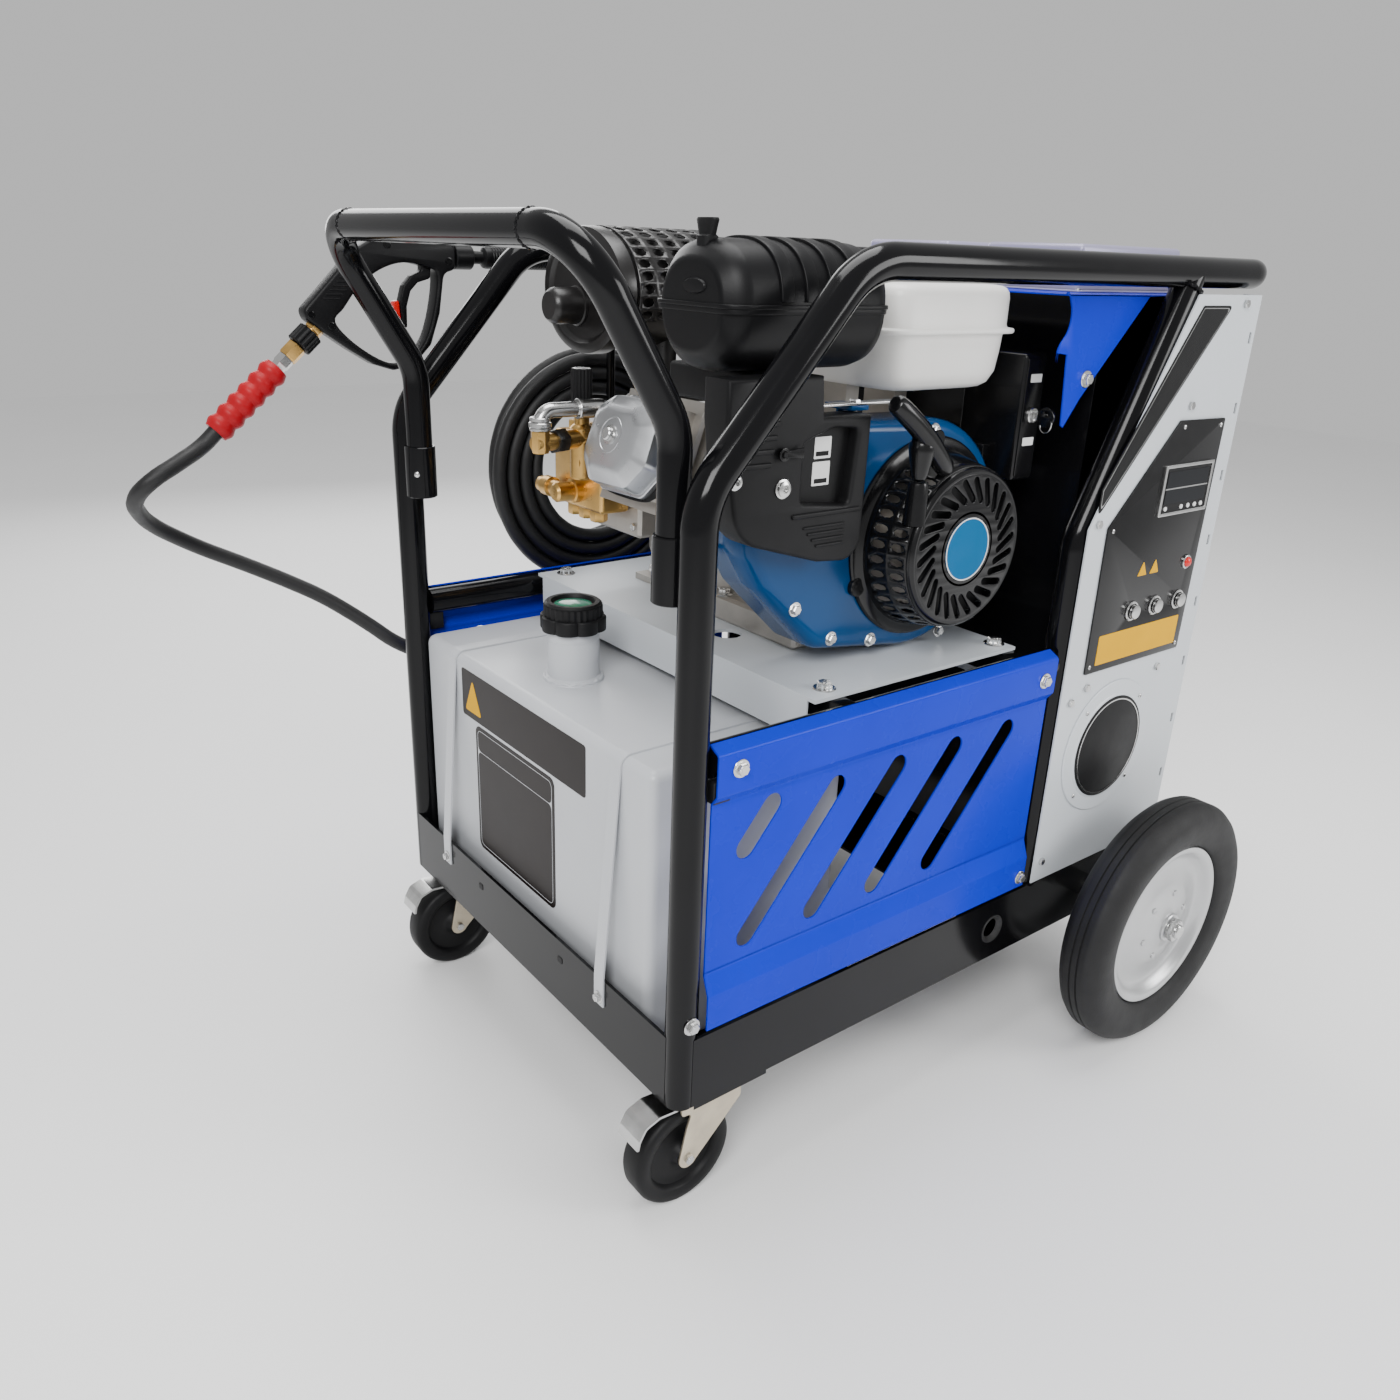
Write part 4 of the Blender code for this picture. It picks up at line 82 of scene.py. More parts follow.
@dataclass(frozen=True)
class Finish:
    """One surface finish, turned into a node material on first use."""

    name: str
    slot: str
    colour: Spot
    metallic: float = 0.0
    roughness: float = 0.4
    mottle: float = 0.12
    mottle_scale: float = 14.0
    spread: float = 0.07
    grain: Grain = Grain.PEEL
    relief: float = 0.00004
    relief_scale: float = 500.0
    glow: float = 0.0
    shine: float = 0.5

    def material(self) -> bpy.types.Material:
        """Return the finish's node material, built once.

        Returns:
            The material, with its colour, roughness and relief driven by noise.
        """
        title = f"{self.name}_finish"
        made = bpy.data.materials.get(title)
        if made is not None:
            return made
        made = bpy.data.materials.new(title)
        made.use_nodes = True
        made.diffuse_color = (*self.colour, 1.0)
        nodes, links = made.node_tree.nodes, made.node_tree.links
        shader = nodes["Principled BSDF"]
        shader.inputs["Metallic"].default_value = self.metallic
        shader.inputs["Specular IOR Level"].default_value = self.shine
        place = nodes.new("ShaderNodeTexCoord")
        patches = self._noise(made, place, self.mottle_scale, 5.0)
        ramp = nodes.new("ShaderNodeValToRGB")
        ramp.color_ramp.elements[0].position = 0.25
        ramp.color_ramp.elements[1].position = 0.75
        ramp.color_ramp.elements[0].color = (*self._shade(1 - self.mottle), 1.0)
        ramp.color_ramp.elements[1].color = (*self._shade(1 + self.mottle), 1.0)
        links.new(patches.outputs["Fac"], ramp.inputs["Fac"])
        links.new(ramp.outputs["Color"], shader.inputs["Base Color"])
        # A glow is emission: the part shines by itself, which is painted light on anything that is
        # no lamp.
        if self.glow:
            shader.inputs["Emission Color"].default_value = (*self.colour, 1.0)
            shader.inputs["Emission Strength"].default_value = self.glow
        smudges = self._noise(made, place, self.mottle_scale * 3.1, 6.0)
        span = nodes.new("ShaderNodeMapRange")
        span.inputs["To Min"].default_value = max(self.roughness - self.spread, 0.03)
        span.inputs["To Max"].default_value = min(self.roughness + self.spread, 1.0)
        links.new(smudges.outputs["Fac"], span.inputs["Value"])
        links.new(span.outputs["Result"], shader.inputs["Roughness"])
        relief = nodes.new("ShaderNodeBump")
        relief.inputs["Strength"].default_value = 1.0
        relief.inputs["Distance"].default_value = self.relief
        links.new(self._relief(made, place), relief.inputs["Height"])
        links.new(relief.outputs["Normal"], shader.inputs["Normal"])
        return made

    def _shade(self, factor: float) -> tuple[float, ...]:
        """Return the finish's colour, lighter or darker by a factor."""
        return tuple(min(part * factor, 1.0) for part in self.colour)

    def _noise(self, made: bpy.types.Material, place: bpy.types.Node, scale: float,
               detail: float) -> bpy.types.Node:
        """Add a noise texture that reads the object's own coordinates."""
        noise = made.node_tree.nodes.new("ShaderNodeTexNoise")
        noise.inputs["Scale"].default_value = scale
        noise.inputs["Detail"].default_value = detail
        made.node_tree.links.new(place.outputs["Object"], noise.inputs["Vector"])
        return noise

    def _relief(self, made: bpy.types.Material,
                place: bpy.types.Node) -> bpy.types.NodeSocket:
        """Return the height that the finish's fine relief is drawn from.

        Args:
            made: Material that the nodes are added to.
            place: Texture coordinate node of that material.

        Returns:
            The output socket with the height.
        """
        nodes, links = made.node_tree.nodes, made.node_tree.links
        if self.grain is Grain.PEBBLE:
            cells = nodes.new("ShaderNodeTexVoronoi")
            cells.inputs["Scale"].default_value = self.relief_scale
            links.new(place.outputs["Object"], cells.inputs["Vector"])
            return cells.outputs["Distance"]
        if self.grain is Grain.WEAVE:
            wave = nodes.new("ShaderNodeTexWave")
            wave.inputs["Scale"].default_value = self.relief_scale
            wave.inputs["Distortion"].default_value = 1.5
            links.new(place.outputs["Object"], wave.inputs["Vector"])
            return wave.outputs["Fac"]
        noise = self._noise(made, place, self.relief_scale, 3.0)
        if self.grain is Grain.BRUSHED:
            stretch = nodes.new("ShaderNodeMapping")
            stretch.inputs["Scale"].default_value = (0.05, 1.0, 1.0)
            links.new(place.outputs["Object"], stretch.inputs["Vector"])
            links.new(stretch.outputs["Vector"], noise.inputs["Vector"])
        return noise.outputs["Fac"]


BLACK_ENAMEL = Finish("black_enamel", "black_enamel", (0.0032, 0.0032, 0.0038), 0.0, 0.13,
                      0.25, 9.0, 0.06, Grain.PEEL, 0.00001, 220.0, shine=0.20)
BLUE_ENAMEL = Finish("blue_enamel", "blue_enamel", (0.0000, 0.0160, 0.5000), 0.0, 0.27,
                     0.08, 7.0, 0.06, Grain.PEEL, 0.00001, 320.0, shine=0.10)
GREY_ENAMEL = Finish("grey_enamel", "grey_enamel", (0.560, 0.590, 0.620), 0.0, 0.36,
                     0.04, 6.0, 0.06, Grain.PEEL, 0.00006, 420.0)
TANK_GREY = Finish("tank_grey", "grey_enamel", (0.500, 0.515, 0.540), 0.0, 0.32,
                   0.05, 6.0, 0.07, Grain.PEEL, 0.00006, 420.0)
HOOD_GREY = Finish("hood_grey", "grey_enamel", (0.3000, 0.2850, 0.4000), 0.2, 0.36,
                   0.08, 8.0, 0.06, Grain.PEEL, 0.00006, 420.0)
ENGINE_BLUE = Finish("engine_blue", "engine_blue", (0.0000, 0.0480, 0.1600), 0.0, 0.18,
                     0.12, 9.0, 0.05, Grain.PEEL, 0.00002, 170.0, shine=0.22)
BADGE_BLUE = Finish("badge_blue", "engine_blue", (0.0005, 0.1000, 0.2500), 0.0, 0.35,
                    0.06, 20.0, 0.04, shine=0.12)
BLACK_PLASTIC = Finish("black_plastic", "black_plastic", (0.0042, 0.0042, 0.0048), 0.0, 0.40,
                       0.20, 16.0, 0.08, Grain.PEBBLE, 0.00003, 900.0, shine=0.18)
GLOSS_PLASTIC = Finish("gloss_plastic", "black_plastic", (0.0040, 0.0040, 0.0045), 0.0, 0.20,
                       0.20, 16.0, 0.07, Grain.PEEL, 0.00002, 240.0, shine=0.32)
MATT_PLASTIC = Finish("matt_plastic", "black_plastic", (0.0060, 0.0060, 0.0066), 0.0, 0.50,
                      0.20, 16.0, 0.08, Grain.PEBBLE, 0.00004, 700.0, shine=0.20)
WHITE_PLASTIC = Finish("white_plastic", "white_plastic", (0.850, 0.840, 0.810), 0.0, 0.36,
                       0.03, 10.0, 0.07, Grain.PEEL, 0.00006, 260.0)
CAST_ALUMINIUM = Finish("cast_aluminium", "cast_aluminium", (0.480, 0.455, 0.420), 0.85,
                        0.46, 0.14, 24.0, 0.10, Grain.PEBBLE, 0.00016, 520.0)
POLISHED = Finish("polished_cover", "bright_steel", (0.5200, 0.5300, 0.5450), 0.95, 0.30,
                  0.08, 20.0, 0.08, Grain.PEEL, 0.00001, 300.0)
BRIGHT_STEEL = Finish("bright_steel", "bright_steel", (0.560, 0.560, 0.555), 1.0, 0.24,
                      0.12, 40.0, 0.08, Grain.BRUSHED, 0.00004, 900.0)
RIM_SILVER = Finish("rim_silver", "bright_steel", (0.500, 0.505, 0.510), 0.7, 0.32,
                    0.06, 14.0, 0.06, Grain.PEEL, 0.00005, 500.0)
ZINC = Finish("zinc", "zinc", (0.600, 0.530, 0.410), 0.85, 0.36,
              0.16, 34.0, 0.08, Grain.PEEL, 0.00005, 420.0)
BRASS = Finish("brass", "brass", (0.600, 0.370, 0.120), 1.0, 0.30,
               0.20, 40.0, 0.10, Grain.PEEL, 0.00006, 500.0)
BLACK_RUBBER = Finish("black_rubber", "black_rubber", (0.0075, 0.0075, 0.0080), 0.0, 0.48,
                      0.25, 24.0, 0.09, Grain.WEAVE, 0.00006, 420.0, shine=0.40)
TYRE_RUBBER = Finish("tyre_rubber", "tyre_rubber", (0.0080, 0.0080, 0.0085), 0.0, 0.62,
                     0.30, 18.0, 0.09, Grain.PEBBLE, 0.00012, 420.0, shine=0.35)
RED_RUBBER = Finish("red_rubber", "red_rubber", (0.3300, 0.0020, 0.0080), 0.0, 0.42,
                    0.12, 30.0, 0.08, Grain.PEEL, 0.00006, 500.0, shine=0.20)
HOT_STEEL = Finish("hot_steel", "hot_steel", (0.0060, 0.0054, 0.0054), 0.0, 0.32,
                   0.30, 22.0, 0.10, Grain.PEEL, 0.00003, 600.0, shine=0.45)
LABEL_BROWN = Finish("label_brown", "black_plastic", (0.0080, 0.0048, 0.0040), 0.0, 0.30,
                     0.10, 10.0, 0.04, Grain.PEEL, 0.00002, 200.0, shine=0.15)
SCREEN = Finish("screen", "black_plastic", (0.0060, 0.0070, 0.0090), 0.0, 0.14,
                0.20, 10.0, 0.03, Grain.PEEL, 0.00001, 100.0, shine=0.25)
LABEL_WHITE = Finish("label_white", "white_plastic", (0.700, 0.700, 0.690), 0.0, 0.45,
                     0.04, 30.0, 0.05)
LABEL_YELLOW = Finish("label_yellow", "white_plastic", (0.7000, 0.3700, 0.0000), 0.0, 0.42,
                      0.04, 30.0, 0.05, shine=0.05)
# Its glow is a painted glow on the gun's red safety latch, which gives no light of its own; the
# control lamp's lens carries the same glow.
SIGNAL_RED = Finish("signal_red", "red_rubber", (0.620, 0.006, 0.006), 0.0, 0.22,
                    0.08, 60.0, 0.04, Grain.PEEL, 0.00002, 300.0, glow=0.1)
GREEN_GLASS = Finish("green_glass", "white_plastic", (0.030, 0.180, 0.110), 0.0, 0.12,
                     0.15, 60.0, 0.03, Grain.PEEL, 0.00002, 300.0)
FLOOR = Finish("studio_floor", "", (0.900, 0.900, 0.900), 0.0, 0.60, 0.01, 2.0, 0.05)


# ----------------------------------------------------------------------- flat outlines
def arc(centre: Flat, radius: float, start: float, end: float, steps: int) -> list[Flat]:
    """Return points on an arc, both ends included, with the angles in degrees."""
    sweep = [radians(start + (end - start) * i / steps) for i in range(steps + 1)]
    return [(centre[0] + radius * cos(a), centre[1] + radius * sin(a)) for a in sweep]


def circle(centre: Flat, radius: float, steps: int = 40) -> list[Flat]:
    """Return the points of a full circle."""
    return arc(centre, radius, 0, 360, steps)[:-1]


def slot(centre: Flat, span: float, width: float, angle: float, steps: int = 10) -> list[Flat]:
    """Return the outline of a slot with round ends.

    Args:
        centre: Middle of the slot.
        span: Distance between the middles of its ends.
        width: Width of the slot.
        angle: Angle of its length in degrees.
        steps: Segments round each end.

    Returns:
        The outline's points.
    """
    along = Vector((cos(radians(angle)), sin(radians(angle)))) * span / 2
    first = arc(tuple(Vector(centre) + along), width / 2, angle - 90, angle + 90, steps)
    second = arc(tuple(Vector(centre) - along), width / 2, angle + 90, angle + 270, steps)
    return first + second


def box_outline(low: Flat, high: Flat, radius: float, steps: int = 5) -> list[Flat]:
    """Return the outline of a rectangle with round corners."""
    points = arc((high[0] - radius, high[1] - radius), radius, 0, 90, steps)
    points += arc((low[0] + radius, high[1] - radius), radius, 90, 180, steps)
    points += arc((low[0] + radius, low[1] + radius), radius, 180, 270, steps)
    points += arc((high[0] - radius, low[1] + radius), radius, 270, 360, steps)
    return points


def rounded(outline: Sequence[Flat], radius: float, steps: int = 4) -> list[Flat]:
    """Round every corner of a closed outline.

    Args:
        outline: Corners of the outline.
        radius: Radius of the corners, made smaller where a side is short.
        steps: Segments at each corner.

    Returns:
        The rounded outline.
    """
    result = []
    count = len(outline)
    for i in range(count):
        corner = Vector(outline[i])
        back = Vector(outline[i - 1]) - corner
        ahead = Vector(outline[(i + 1) % count]) - corner
        if back.length < 1e-7 or ahead.length < 1e-7:
            continue
        half = back.angle(ahead) / 2
        if half > radians(88):
            result.append(tuple(corner))
            continue
        reach = min(radius * cos(half) / sin(half), back.length * 0.48, ahead.length * 0.48)
        first, last = corner + back.normalized() * reach, corner + ahead.normalized() * reach
        for j in range(steps + 1):
            t = j / steps
            spot = first * (1 - t) ** 2 + corner * 2 * t * (1 - t) + last * t * t
            result.append(tuple(spot))
    return result


def spline(p0: Vector, p1: Vector, p2: Vector, p3: Vector, t: float) -> Vector:
    """Return a point between the middle two of four points on a smooth curve."""
    return 0.5 * (2 * p1 + (p2 - p0) * t + (2 * p0 - 5 * p1 + 4 * p2 - p3) * t * t
                  + (3 * p1 - p0 - 3 * p2 + p3) * t ** 3)


def flowing(outline: Sequence[Flat], steps: int = 5) -> list[Flat]:
    """Return a smooth closed outline that passes through the given points."""
    spots, count = [Vector(p) for p in outline], len(outline)
    return [tuple(spline(*(spots[(i + k) % count] for k in (-1, 0, 1, 2)), j / steps))
            for i in range(count) for j in range(steps)]


def wavy(centre: Flat, radius: Callable[[float], float], steps: int) -> list[Flat]:
    """Return a closed outline whose radius depends on the angle."""
    turns = [2 * pi * i / steps for i in range(steps)]
    return [(centre[0] + radius(a) * cos(a), centre[1] + radius(a) * sin(a)) for a in turns]


def symmetric(profile: list[Flat]) -> list[Flat]:
    """Return half a profile followed by its mirror image below height zero."""
    return profile + [(radius, -height) for radius, height in reversed(profile)]


def bent(corners: Sequence[Point], radius: float | Sequence[float],
         steps: int = 12) -> list[Vector]:
    """Return a route whose corners are rounded.

    Args:
        corners: Corners of the route, ends included.
        radius: One radius for all corners, or one each.
        steps: Segments in each bend.

    Returns:
        The points of the route.
    """
    corners = [Vector(c) for c in corners]
    sizes = [radius] * (len(corners) - 2) if isinstance(radius, float) else list(radius)
    route = [corners[0]]
    for before, corner, after, size in zip(corners, corners[1:], corners[2:], sizes):
        inward, onward = (before - corner).normalized(), (after - corner).normalized()
        half = inward.angle(onward) / 2
        reach = size * cos(half) / sin(half)
        centre = corner + (inward + onward).normalized() * (size / sin(half))
        first, last = corner + inward * reach - centre, corner + onward * reach - centre
        sweep = first.angle(last)
        for i in range(steps + 1):
            t = i / steps
            a, b = sin((1 - t) * sweep) / sin(sweep), sin(t * sweep) / sin(sweep)
            route.append(centre + first * a + last * b)
    return route + [corners[-1]]


class Facing(Enum):
    """Planes that a flat outline can lie in, with the matrix that turns it there."""

    SIDE = Matrix(((1, 0, 0, 0), (0, 0, -1, 0), (0, 1, 0, 0), (0, 0, 0, 1)))
    TOP = Matrix.Identity(4)
    FRONT = Matrix(((0, 0, 1, 0), (1, 0, 0, 0), (0, 1, 0, 0), (0, 0, 0, 1)))


# ------------------------------------------------------------------------------ shapes
class Shape:
    """Mesh that grows piece by piece in the source's measures."""

    def __init__(self) -> None:
        """Start with nothing."""
        self.points: list[Vector] = []
        self.faces: list[tuple[int, ...]] = []

    def loft(self, rings: Sequence[Sequence[Point]], caps: bool = True,
             closed: bool = False) -> "Shape":
        """Skin a row of rings that have the same number of points.

        Args:
            rings: The rings in order.
            caps: Whether the first and last ring are closed by a face.
            closed: Whether the last ring is joined to the first.

        Returns:
            The shape itself.
        """
        base, count = len(self.points), len(rings[0])
        for ring in rings:
            self.points.extend(Vector(p) for p in ring)
        pairs = len(rings) if closed else len(rings) - 1
        for r in range(pairs):
            a, b = base + r * count, base + (r + 1) % len(rings) * count
            for i in range(count):
                j = (i + 1) % count
                self.faces.append((a + i, a + j, b + j, b + i))
        if caps and not closed:
            self.faces.append(tuple(base + i for i in reversed(range(count))))
            last = base + (len(rings) - 1) * count
            self.faces.append(tuple(last + i for i in range(count)))
        return self

    def turned(self, profile: Sequence[Flat], base: Point, axis: Point, steps: int = 48,
               closed: bool = False, stretch: float = 1.0) -> "Shape":
        """Turn a profile of (radius, height) pairs about an axis.

        Args:
            profile: The profile; its first and last radius may be near zero.
            base: Point on the axis at height zero.
            axis: Direction of the axis.
            steps: Segments round the axis.
            closed: Whether the profile closes on itself as a ring.
            stretch: Share by which the form is wider in y.

        Returns:
            The shape itself.
        """
        turn = Vector(UP).rotation_difference(Vector(axis)).to_matrix()
        base = Vector(base)
        rings = []
        for radius, height in profile:
            ring = []
            for i in range(steps):
                angle = 2 * pi * i / steps
                spot = turn @ Vector((max(radius, 1e-5) * cos(angle),
                                      max(radius, 1e-5) * sin(angle), height))
                spot.y *= stretch
                ring.append(base + spot)
            rings.append(ring)
        return self.loft(rings, True, closed)

    def pipe(self, route: Sequence[Point], radius: float | Sequence[float],
             sides: int = 24) -> "Shape":
        """Lay a round tube along a route.

        Args:
            route: Points of the tube's axis.
            radius: One radius, or one for each point.
            sides: Points in each ring.

        Returns:
            The shape itself.
        """
        route = [Vector(p) for p in route]
        sizes = [radius] * len(route) if isinstance(radius, float) else list(radius)
        ahead = (route[1] - route[0]).normalized()
        up = ahead.orthogonal().normalized()
        rings = []
        for i, spot in enumerate(route):
            before, after = route[max(i - 1, 0)], route[min(i + 1, len(route) - 1)]
            onward = (after - before).normalized()
            up = (up - onward * up.dot(onward)).normalized()
            aside = onward.cross(up)
            rings.append([spot + (up * cos(a) + aside * sin(a)) * sizes[i]
                          for a in (2 * pi * k / sides for k in range(sides))])
        return self.loft(rings)

    def plate(self, outline: Sequence[Flat], low: float, high: float,
              facing: Facing = Facing.SIDE, holes: Iterable[Sequence[Flat]] = (),
              edge: float = 0.0) -> "Shape":
        """Add a flat plate of an outline between two levels, with holes through it.

        Args:
            outline: Outline in the plane's own two directions.
            low: Lower level along the plane's normal.
            high: Upper level along the plane's normal.
            facing: Plane that the outline lies in.
            holes: Outlines of the holes.
            edge: Rounding of the edges.

        Returns:
            The shape itself.
        """
        curve = bpy.data.curves.new("plate", "CURVE")
        curve.dimensions = "2D"
        curve.fill_mode = "BOTH"
        curve.extrude = (high - low) / 2 - edge
        curve.bevel_depth = edge
        curve.bevel_resolution = 2
        curve.offset = -edge
        for points in (outline, *holes):
            line = curve.splines.new("POLY")
            line.use_cyclic_u = True
            line.points.add(len(points) - 1)
            for point, (u, v) in zip(line.points, points):
                point.co = (u, v, 0, 1)
        item = bpy.data.objects.new("plate", curve)
        bpy.context.scene.collection.objects.link(item)
        bpy.context.view_layer.update()
        graph = bpy.context.evaluated_depsgraph_get()
        mesh = bpy.data.meshes.new_from_object(item.evaluated_get(graph), depsgraph=graph)
        turn = facing.value
        normal = Vector([abs(turn[i][2]) for i in range(3)])
        mesh.transform(Matrix.Translation(normal * (low + high) / 2) @ turn)
        self.take(mesh)
        bpy.data.objects.remove(item, do_unlink=True)
        return self

    def block(self, low: Point, high: Point, edge: float = 0.0, steps: int = 3) -> "Shape":
        """Add a box between two corners with rounded edges.

        Args:
            low: Lowest corner.
            high: Highest corner.
            edge: Rounding of the edges.
            steps: Segments of the rounding.

        Returns:
            The shape itself.
        """
        low, high = Vector(low), Vector(high)
        work = bmesh.new()
        bmesh.ops.create_cube(work, size=1)
        place = Matrix.Translation((low + high) / 2) @ Matrix.Diagonal((*(high - low), 1))
        bmesh.ops.transform(work, matrix=place, verts=work.verts)
        if edge:
            bmesh.ops.bevel(work, geom=list(work.edges), offset=edge, segments=steps,
                            profile=0.5, affect="EDGES")
        mesh = bpy.data.meshes.new("block")
        work.to_mesh(mesh)
        work.free()
        return self.take(mesh)

    def sheet(self, profile: Sequence[Flat], start: float, end: float, thickness: float,
              along: str = "x", lift: float = 0.0) -> "Shape":
        """Add a bent sheet: an open profile drawn along x or y and given a thickness.

        Args:
            profile: Middle line of the sheet in the other two directions.
            start: First place along the direction.
            end: Last place along the direction.
            thickness: Thickness of the sheet.
            along: Direction in which the profile is drawn, x or y.
            lift: Offset of the middle line to its left.

        Returns:
            The shape itself.
        """
        line = [Vector(p) for p in profile]
        sides: list[tuple[Vector, Vector]] = []
        for i, spot in enumerate(line):
            onward = (line[min(i + 1, len(line) - 1)] - line[max(i - 1, 0)]).normalized()
            left = Vector((-onward.y, onward.x))
            spread = 1.0
            if 0 < i < len(line) - 1:
                turn = (line[i] - line[i - 1]).angle(line[i + 1] - line[i])
                spread = 1 / max(cos(turn / 2), 0.5)
            sides.append((spot + left * (lift + thickness / 2 * spread),
                          spot + left * (lift - thickness / 2 * spread)))
        ring = [s[0] for s in sides] + [s[1] for s in reversed(sides)]
        rings = []
        for level in (start, end):
            if along == "x":
                rings.append([(level, p.x, p.y) for p in ring])
            else:
                rings.append([(p.x, level, p.y) for p in ring])
        base, count = len(self.points), len(ring)
        half = len(sides)
        self.loft(rings, caps=False)
        for r in (0, count):
            for i in range(half - 1):
                self.faces.append((base + r + i, base + r + i + 1,
                                   base + r + count - 2 - i, base + r + count - 1 - i))
        return self

    def bolt(self, at: Point, normal: Point, radius: float = 0.006,
             washer: bool = True) -> "Shape":
        """Add a hexagon bolt head with its washer and the end of its thread.

        Args:
            at: Middle of the seat.
            normal: Direction in which the head stands.
            radius: Radius over the head's corners.
            washer: Whether a washer lies under the head.

        Returns:
            The shape itself.
        """
        at, normal = Vector(at), Vector(normal).normalized()
        foot = 0.0
        if washer:
            foot = radius * 0.22
            self.turned([(0, -0.0005), (radius * 1.45, -0.0005), (radius * 1.5, foot * 0.5),
                         (radius * 1.4, foot), (0, foot)], at, normal, 24)
        tall = radius * 0.75
        self.turned([(0, foot), (radius * 0.96, foot), (radius, foot + tall * 0.15),
                     (radius, foot + tall * 0.8), (radius * 0.86, foot + tall),
                     (0, foot + tall)], at, normal, 6)
        self.turned([(radius * 0.62, foot + tall * 0.8), (radius * 0.60, foot + tall * 1.04),
                     (0, foot + tall * 1.04)], at, normal, 16)
        return self

    def screw(self, at: Point, normal: Point, radius: float = 0.003) -> "Shape":
        """Add a round screw head with a socket."""
        return self.turned([(0, -0.0003), (radius, -0.0003), (radius * 0.95, radius * 0.35),
                            (radius * 0.6, radius * 0.6), (radius * 0.38, radius * 0.62),
                            (radius * 0.34, radius * 0.2), (0, radius * 0.2)], at, normal, 20)

    def pierced(self, surface: Callable[[float, float], Vector], columns: int, rows: int,
                share: Flat, around: bool = False,
                keep: Callable[[int, int], bool] | None = None) -> "Shape":
        """Add a sheet with one oval hole in each cell of a grid.

        Args:
            surface: Point of the sheet for two numbers from 0 to 1.
            columns: Cells in the first direction.
            rows: Cells in the second direction.
            share: Share of a cell that its hole takes, in both directions.
            around: Whether the first direction closes on itself.
            keep: Says which cells stay without a hole.

        Returns:
            The shape itself.
        """
        points: dict[tuple[float, float], int] = {}

        def corner(u: float, v: float) -> int:
            key = (round(u % 1.0 if around else u, 6), round(v, 6))
            if key not in points:
                points[key] = len(self.points)
                self.points.append(surface(u, v))
            return points[key]

        edge = [(0, 0), (0.5, 0), (1, 0), (1, 0.5), (1, 1), (0.5, 1), (0, 1), (0, 0.5)]
        for c in range(columns):
            for r in range(rows):
                outer = [corner((c + a) / columns, (r + b) / rows) for a, b in edge]
                if keep and keep(c, r):
                    self.faces.append(tuple(outer))
                    continue
                inner = []
                for a, b in edge:
                    angle = atan2(b - 0.5, a - 0.5)
                    u = (c + 0.5 + share[0] / 2 * cos(angle)) / columns
                    v = (r + 0.5 + share[1] / 2 * sin(angle)) / rows
                    inner.append(len(self.points))
                    self.points.append(surface(u, v))
                for i in range(8):
                    j = (i + 1) % 8
                    self.faces.append((outer[i], outer[j], inner[j], inner[i]))
        return self

    def weld(self, at: Point, axis: Point, radius: float) -> "Shape":
        """Add an uneven weld bead round a tube.

        Args:
            at: Middle of the bead's ring.
            axis: Axis of the tube.
            radius: Radius of the bead's middle line.

        Returns:
            The shape itself.
        """
        turn = Vector(UP).rotation_difference(Vector(axis)).to_matrix()
        steps = 56
        route = [Vector(at) + turn @ Vector((radius * cos(2 * pi * i / steps),
                                             radius * sin(2 * pi * i / steps),
                                             0.0008 * sin(i * 1.7)))
                 for i in range(steps)]
        rings = []
        for i, spot in enumerate(route):
            onward = (route[(i + 1) % steps] - route[i - 1]).normalized()
            out = (spot - Vector(at)).normalized()
            aside = onward.cross(out)
            size = 0.0021 + 0.0005 * sin(i * 2.4)
            rings.append([spot + (out * cos(a) + aside * sin(a)) * size
                          for a in (2 * pi * k / 8 for k in range(8))])
        return self.loft(rings, caps=False, closed=True)

    def add(self, other: "Shape") -> "Shape":
        """Add another shape's points and faces."""
        base = len(self.points)
        self.points.extend(other.points)
        self.faces.extend(tuple(base + i for i in f) for f in other.faces)
        return self

    def take(self, mesh: bpy.types.Mesh) -> "Shape":
        """Add a mesh's points and faces, and remove the mesh."""
        base = len(self.points)
        self.points.extend(v.co.copy() for v in mesh.vertices)
        self.faces.extend(tuple(base + i for i in p.vertices) for p in mesh.polygons)
        bpy.data.meshes.remove(mesh)
        return self

    def moved(self, matrix: Matrix) -> "Shape":
        """Transform every point."""
        self.points = [matrix @ p for p in self.points]
        return self

    def mirrored(self) -> "Shape":
        """Return a copy on the frame's other side."""
        twin = Shape()
        twin.points = [Vector((p.x, WIDTH - p.y, p.z)) for p in self.points]
        twin.faces = [tuple(reversed(f)) for f in self.faces]
        return twin

    def piece(self, name: str, finish: Finish, body: str = "frame",
              stands_for: Sequence[str] = (), sharp: float = 32.0, thickness: float = 0.0,
              smooth: int = 0) -> bpy.types.Object:
        """Make the shape an object that rides on a body.

        Args:
            name: Name of the piece.
            finish: Its finish.
            body: Body that carries it.
            stands_for: Nodes that it replaces.
            sharp: Angle in degrees above which an edge stays sharp.
            thickness: Thickness given to an open sheet.
            smooth: Levels of subdivision.

        Returns:
            The object.
        """
        mesh = bpy.data.meshes.new(name)
        mesh.from_pydata([tuple(p) for p in self.points], [], self.faces)
        work = bmesh.new()
        work.from_mesh(mesh)
        bmesh.ops.remove_doubles(work, verts=work.verts, dist=1e-6)
        bmesh.ops.dissolve_degenerate(work, dist=1e-7, edges=work.edges)
        bmesh.ops.recalc_face_normals(work, faces=work.faces)
        work.to_mesh(mesh)
        work.free()
        mesh.shade_smooth()
        mesh.set_sharp_from_angle(angle=radians(sharp))
        mesh.materials.append(finish.material())
        item = bpy.data.objects.new(name, mesh)
        item.location = CORNER
        bpy.context.scene.collection.objects.link(item)
        if thickness:
            skin = item.modifiers.new("thickness", "SOLIDIFY")
            skin.thickness = thickness
            skin.offset = 0
        if smooth:
            finer = item.modifiers.new("finer", "SUBSURF")
            finer.levels = smooth
            finer.render_levels = smooth
        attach(item, body)
        if stands_for:
            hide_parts(*stands_for)
        LOG.info("%s on %s", name, body)
        return item

